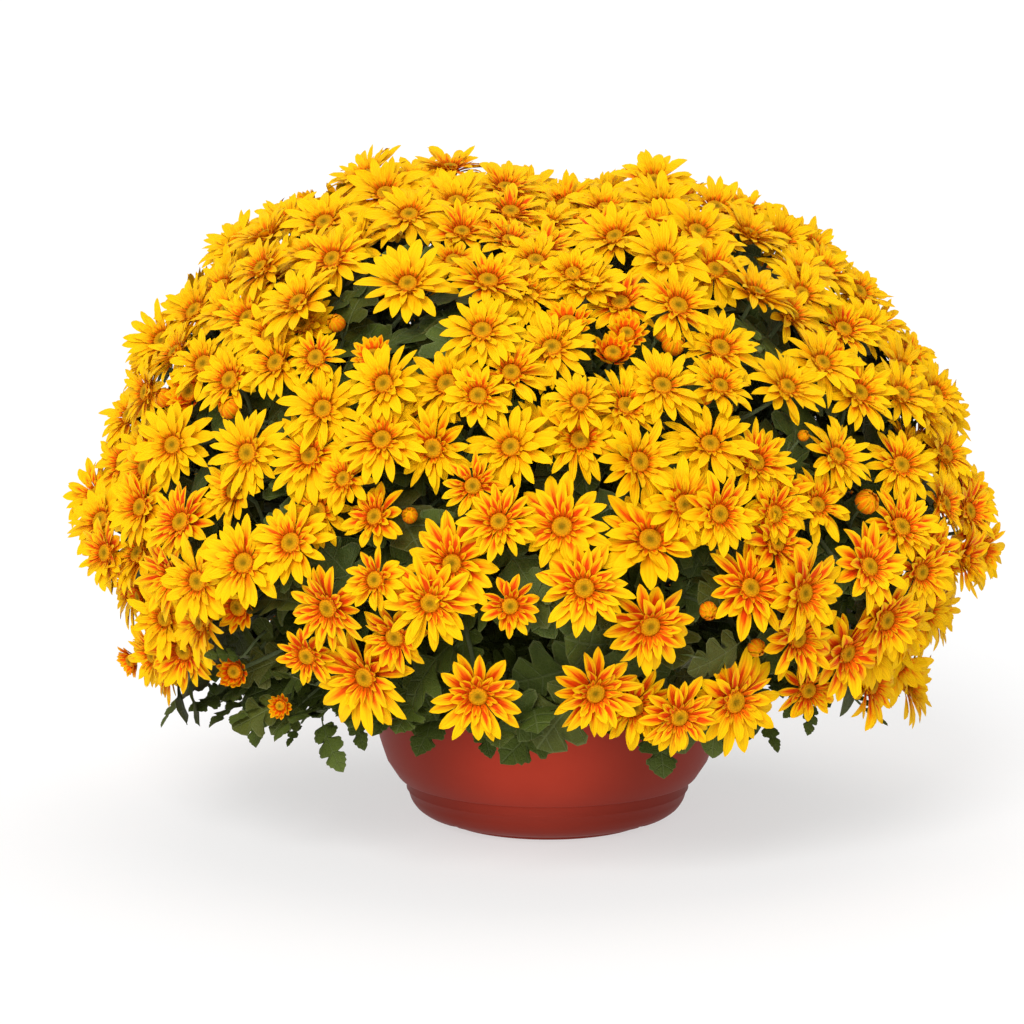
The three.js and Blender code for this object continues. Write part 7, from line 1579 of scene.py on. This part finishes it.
# ------------------------------------------------------------------ the leaves of the skirt
for n, (name, base, tip, facing, width, droop) in enumerate(LEAVES):
    piece = Piece("blade_" + name.replace("leaf_", ""), [LEAF, STEM])
    leaf(piece, base, tip, facing, max(width * (1.22 if "front" in name else 1.0), 0.4), droop, (n * 0.37) % 1.0, 0.25 if n % 3 else 0.5, FULL_LEAF, 300 + n, 0.18)
    base, tip = np.array(base, float), np.array(tip, float)
    inward = unit(np.array([-base[0], -base[1], 0.0]))
    stalk = bow(base + 0.05 * (tip - base), base - 0.10 * (tip - base), base + inward * 8 + [0, 0, 9], base + inward * 17 + [0, 0, 13], 6)
    tube(piece, stalk, np.linspace(0.65, 1.0, 6), 5, np.zeros(6), 0.4, 1)
    thing = piece.build()
    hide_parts(name)
    made.append(thing)


# ------------------------------------------------------------------ the pot
def rounded(points, cut):
    """The same line of points, with each corner cut by a short arc of two or three points."""
    points = np.array(points, float)
    out = [points[0]]
    for a, b, c in zip(points[:-2], points[1:-1], points[2:]):
        near = min(cut, 0.42 * np.linalg.norm(b - a))
        far = min(cut, 0.42 * np.linalg.norm(c - b))
        p, q = b + unit(a - b) * near, b + unit(c - b) * far
        out += [p, (p + 2 * b + q) / 4, q]
    return np.array(out + [points[-1]])


OUTSIDE = [
    (61, 0), (61.8, 2.2), (68.5, 3), (74.8, 5), (79.2, 8.2), (82.2, 12.6), (83.8, 18.2), (84.7, 18.9), (84.6, 19.8), (85.0, 25.2), (88.9, 26.0), (90.0, 27.2),
    (96.4, 37), (100.8, 50), (104.4, 68), (107.4, 90), (109.2, 104.5), (112, 105.6), (112, 113.8), (110.8, 115),
]
INSIDE = [
    (109.4, 114.6), (109.1, 110.0), (107.0, 104.2), (105.1, 89.6), (102.1, 68.2), (98.4, 50.6), (93.9, 37.6), (86.6, 29.5), (82.8, 25.4), (81.2, 16), (76.8, 8.8), (70, 6.6), (8, 6.4), (0, 6.4),
]
SIDES = 144
outer = np.array(OUTSIDE)
low_part = outer[outer[:, 1] <= 18.5]
smooth_low = rounded(low_part, 1.6)
step_part = rounded(outer[(outer[:, 1] > 18.5) & (outer[:, 1] <= 27.3)], 0.5)
wall_part = rounded(outer[(outer[:, 1] > 27.3) & (outer[:, 1] <= 104.6)], 5.0)
rim_part = rounded(outer[outer[:, 1] > 104.6], 0.8)
under = np.array([(0.0, 2.6), (8, 2.6), (53.0, 2.6), (54.0, 2.2), (54.6, 0.0)])
profile = np.concatenate([under, smooth_low, step_part, wall_part, rim_part, rounded(INSIDE, 1.2)])
angle = 2 * np.pi * np.arange(SIDES) / SIDES
pot_mesh = bpy.data.meshes.new("bowl_pot")
ring_points = profile[1:-1]
r, z = ring_points[:, 0][:, None], ring_points[:, 1][:, None]
z = np.broadcast_to(z, (len(ring_points), SIDES)).copy()
for centre in (90.0, 210.0, 330.0):
    away = np.abs((np.degrees(angle) - centre + 180) % 360 - 180) * math.pi / 180 * 58.0
    z = np.where((r < 65)[:, :1] & (np.arange(len(ring_points)) < 16)[:, None] & (away < 4.6)[None] & (z < 4.9), 4.9, z)
    skewed = {90.0: 90.0, 210.0: 220.5, 330.0: 319.5}[centre]
    away = np.abs((np.degrees(angle) - skewed + 180) % 360 - 180)
    z = np.where(((r > 65) & (r < 78))[:, :1] & (np.arange(len(ring_points)) < 26)[:, None] & (away < 2.9)[None] & (z < 6.6), 6.6, z)
co = np.stack([r * np.cos(angle), r * np.sin(angle), z], -1).reshape(-1, 3)
co = np.concatenate([co, [[0, 0, profile[0, 1]], [0, 0, profile[-1, 1]]]]) * MM + AXIS
k = len(ring_points)
c = np.arange(SIDES)
d = (c + 1) % SIDES
faces = []
for j in range(k - 1):
    faces += np.stack([j * SIDES + c, j * SIDES + d, (j + 1) * SIDES + d, (j + 1) * SIDES + c], 1).tolist()
faces += np.stack([d, c, np.full(SIDES, k * SIDES)], 1).tolist()
faces += np.stack([(k - 1) * SIDES + c, (k - 1) * SIDES + d, np.full(SIDES, k * SIDES + 1)], 1).tolist()
pot_mesh.from_pydata(co.tolist(), [], faces)
pot_mesh.polygons.foreach_set("use_smooth", np.ones(len(pot_mesh.polygons), bool))
pot_mesh.materials.append(POT)
pot = bpy.data.objects.new("bowl_pot", pot_mesh)
scene.collection.objects.link(pot)
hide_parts("pot")
made.append(pot)

# ------------------------------------------------------------------ the soil
roll = np.random.RandomState(77)
rings, spokes = 22, 72
top_r = np.linspace(0, 105.2, rings + 1)[1:]
a = 2 * np.pi * np.arange(spokes) / spokes
clods = np.array([(roll.uniform(0, 103) ** 1.0, roll.uniform(0, 2 * math.pi), roll.uniform(3, 9), roll.uniform(0.6, 2.6)) for _ in range(150)])
cx, cy = clods[:, 0] * np.cos(clods[:, 1]), clods[:, 0] * np.sin(clods[:, 1])


def soil_height(x, y):
    r = np.hypot(x, y)
    z = 99 + 2.4 * (1 - (r / 105) ** 2)
    d2 = (x[..., None] - cx) ** 2 + (y[..., None] - cy) ** 2
    z = z + (clods[:, 3] * np.exp(-d2 / clods[:, 2] ** 2)).sum(-1) * 0.7 - 0.6
    return z - 1.0 * ease((r - 97) / 8)


x, y = top_r[:, None] * np.cos(a), top_r[:, None] * np.sin(a)
z = soil_height(x, y) + roll.uniform(-0.35, 0.35, x.shape)
walls = [(104.6, 92.0), (101.6, 75.0), (97.6, 56.0), (93.0, 39.0), (81.8, 24.0), (78.0, 12.0), (68.0, 7.0)]
wall = np.array([np.stack([r * np.cos(a), r * np.sin(a), np.full(spokes, h)], 1) for r, h in walls])
co = np.concatenate([np.stack([x, y, z], -1), wall]).reshape(-1, 3)
centre = soil_height(np.zeros(1), np.zeros(1))[0]
co = np.concatenate([co, [[0, 0, centre], [0, 0, 7.0]]]) * MM + AXIS
k = rings + len(walls)
c = np.arange(spokes)
d = (c + 1) % spokes
faces = np.stack([c, d, np.full(spokes, k * spokes)], 1).tolist()
for j in range(k - 1):
    faces += np.stack([j * spokes + d, j * spokes + c, (j + 1) * spokes + c, (j + 1) * spokes + d], 1).tolist()
faces += np.stack([(k - 1) * spokes + d, (k - 1) * spokes + c, np.full(spokes, k * spokes + 1)], 1).tolist()
soil_mesh = bpy.data.meshes.new("peat")
soil_mesh.from_pydata(co.tolist(), [], faces)
soil_mesh.polygons.foreach_set("use_smooth", np.ones(len(soil_mesh.polygons), bool))
soil_mesh.materials.append(SOIL)
soil = bpy.data.objects.new("peat", soil_mesh)
scene.collection.objects.link(soil)
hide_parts("potting_soil")
made.append(soil)

for thing in made:
    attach(thing, "root")

count = {o.name: sum(len(p.vertices) - 2 for p in o.data.polygons) for o in made}
print("triangles", sum(count.values()), "most", max(count.values()), "leaves", total_leaves, "finer", fine_leaves)
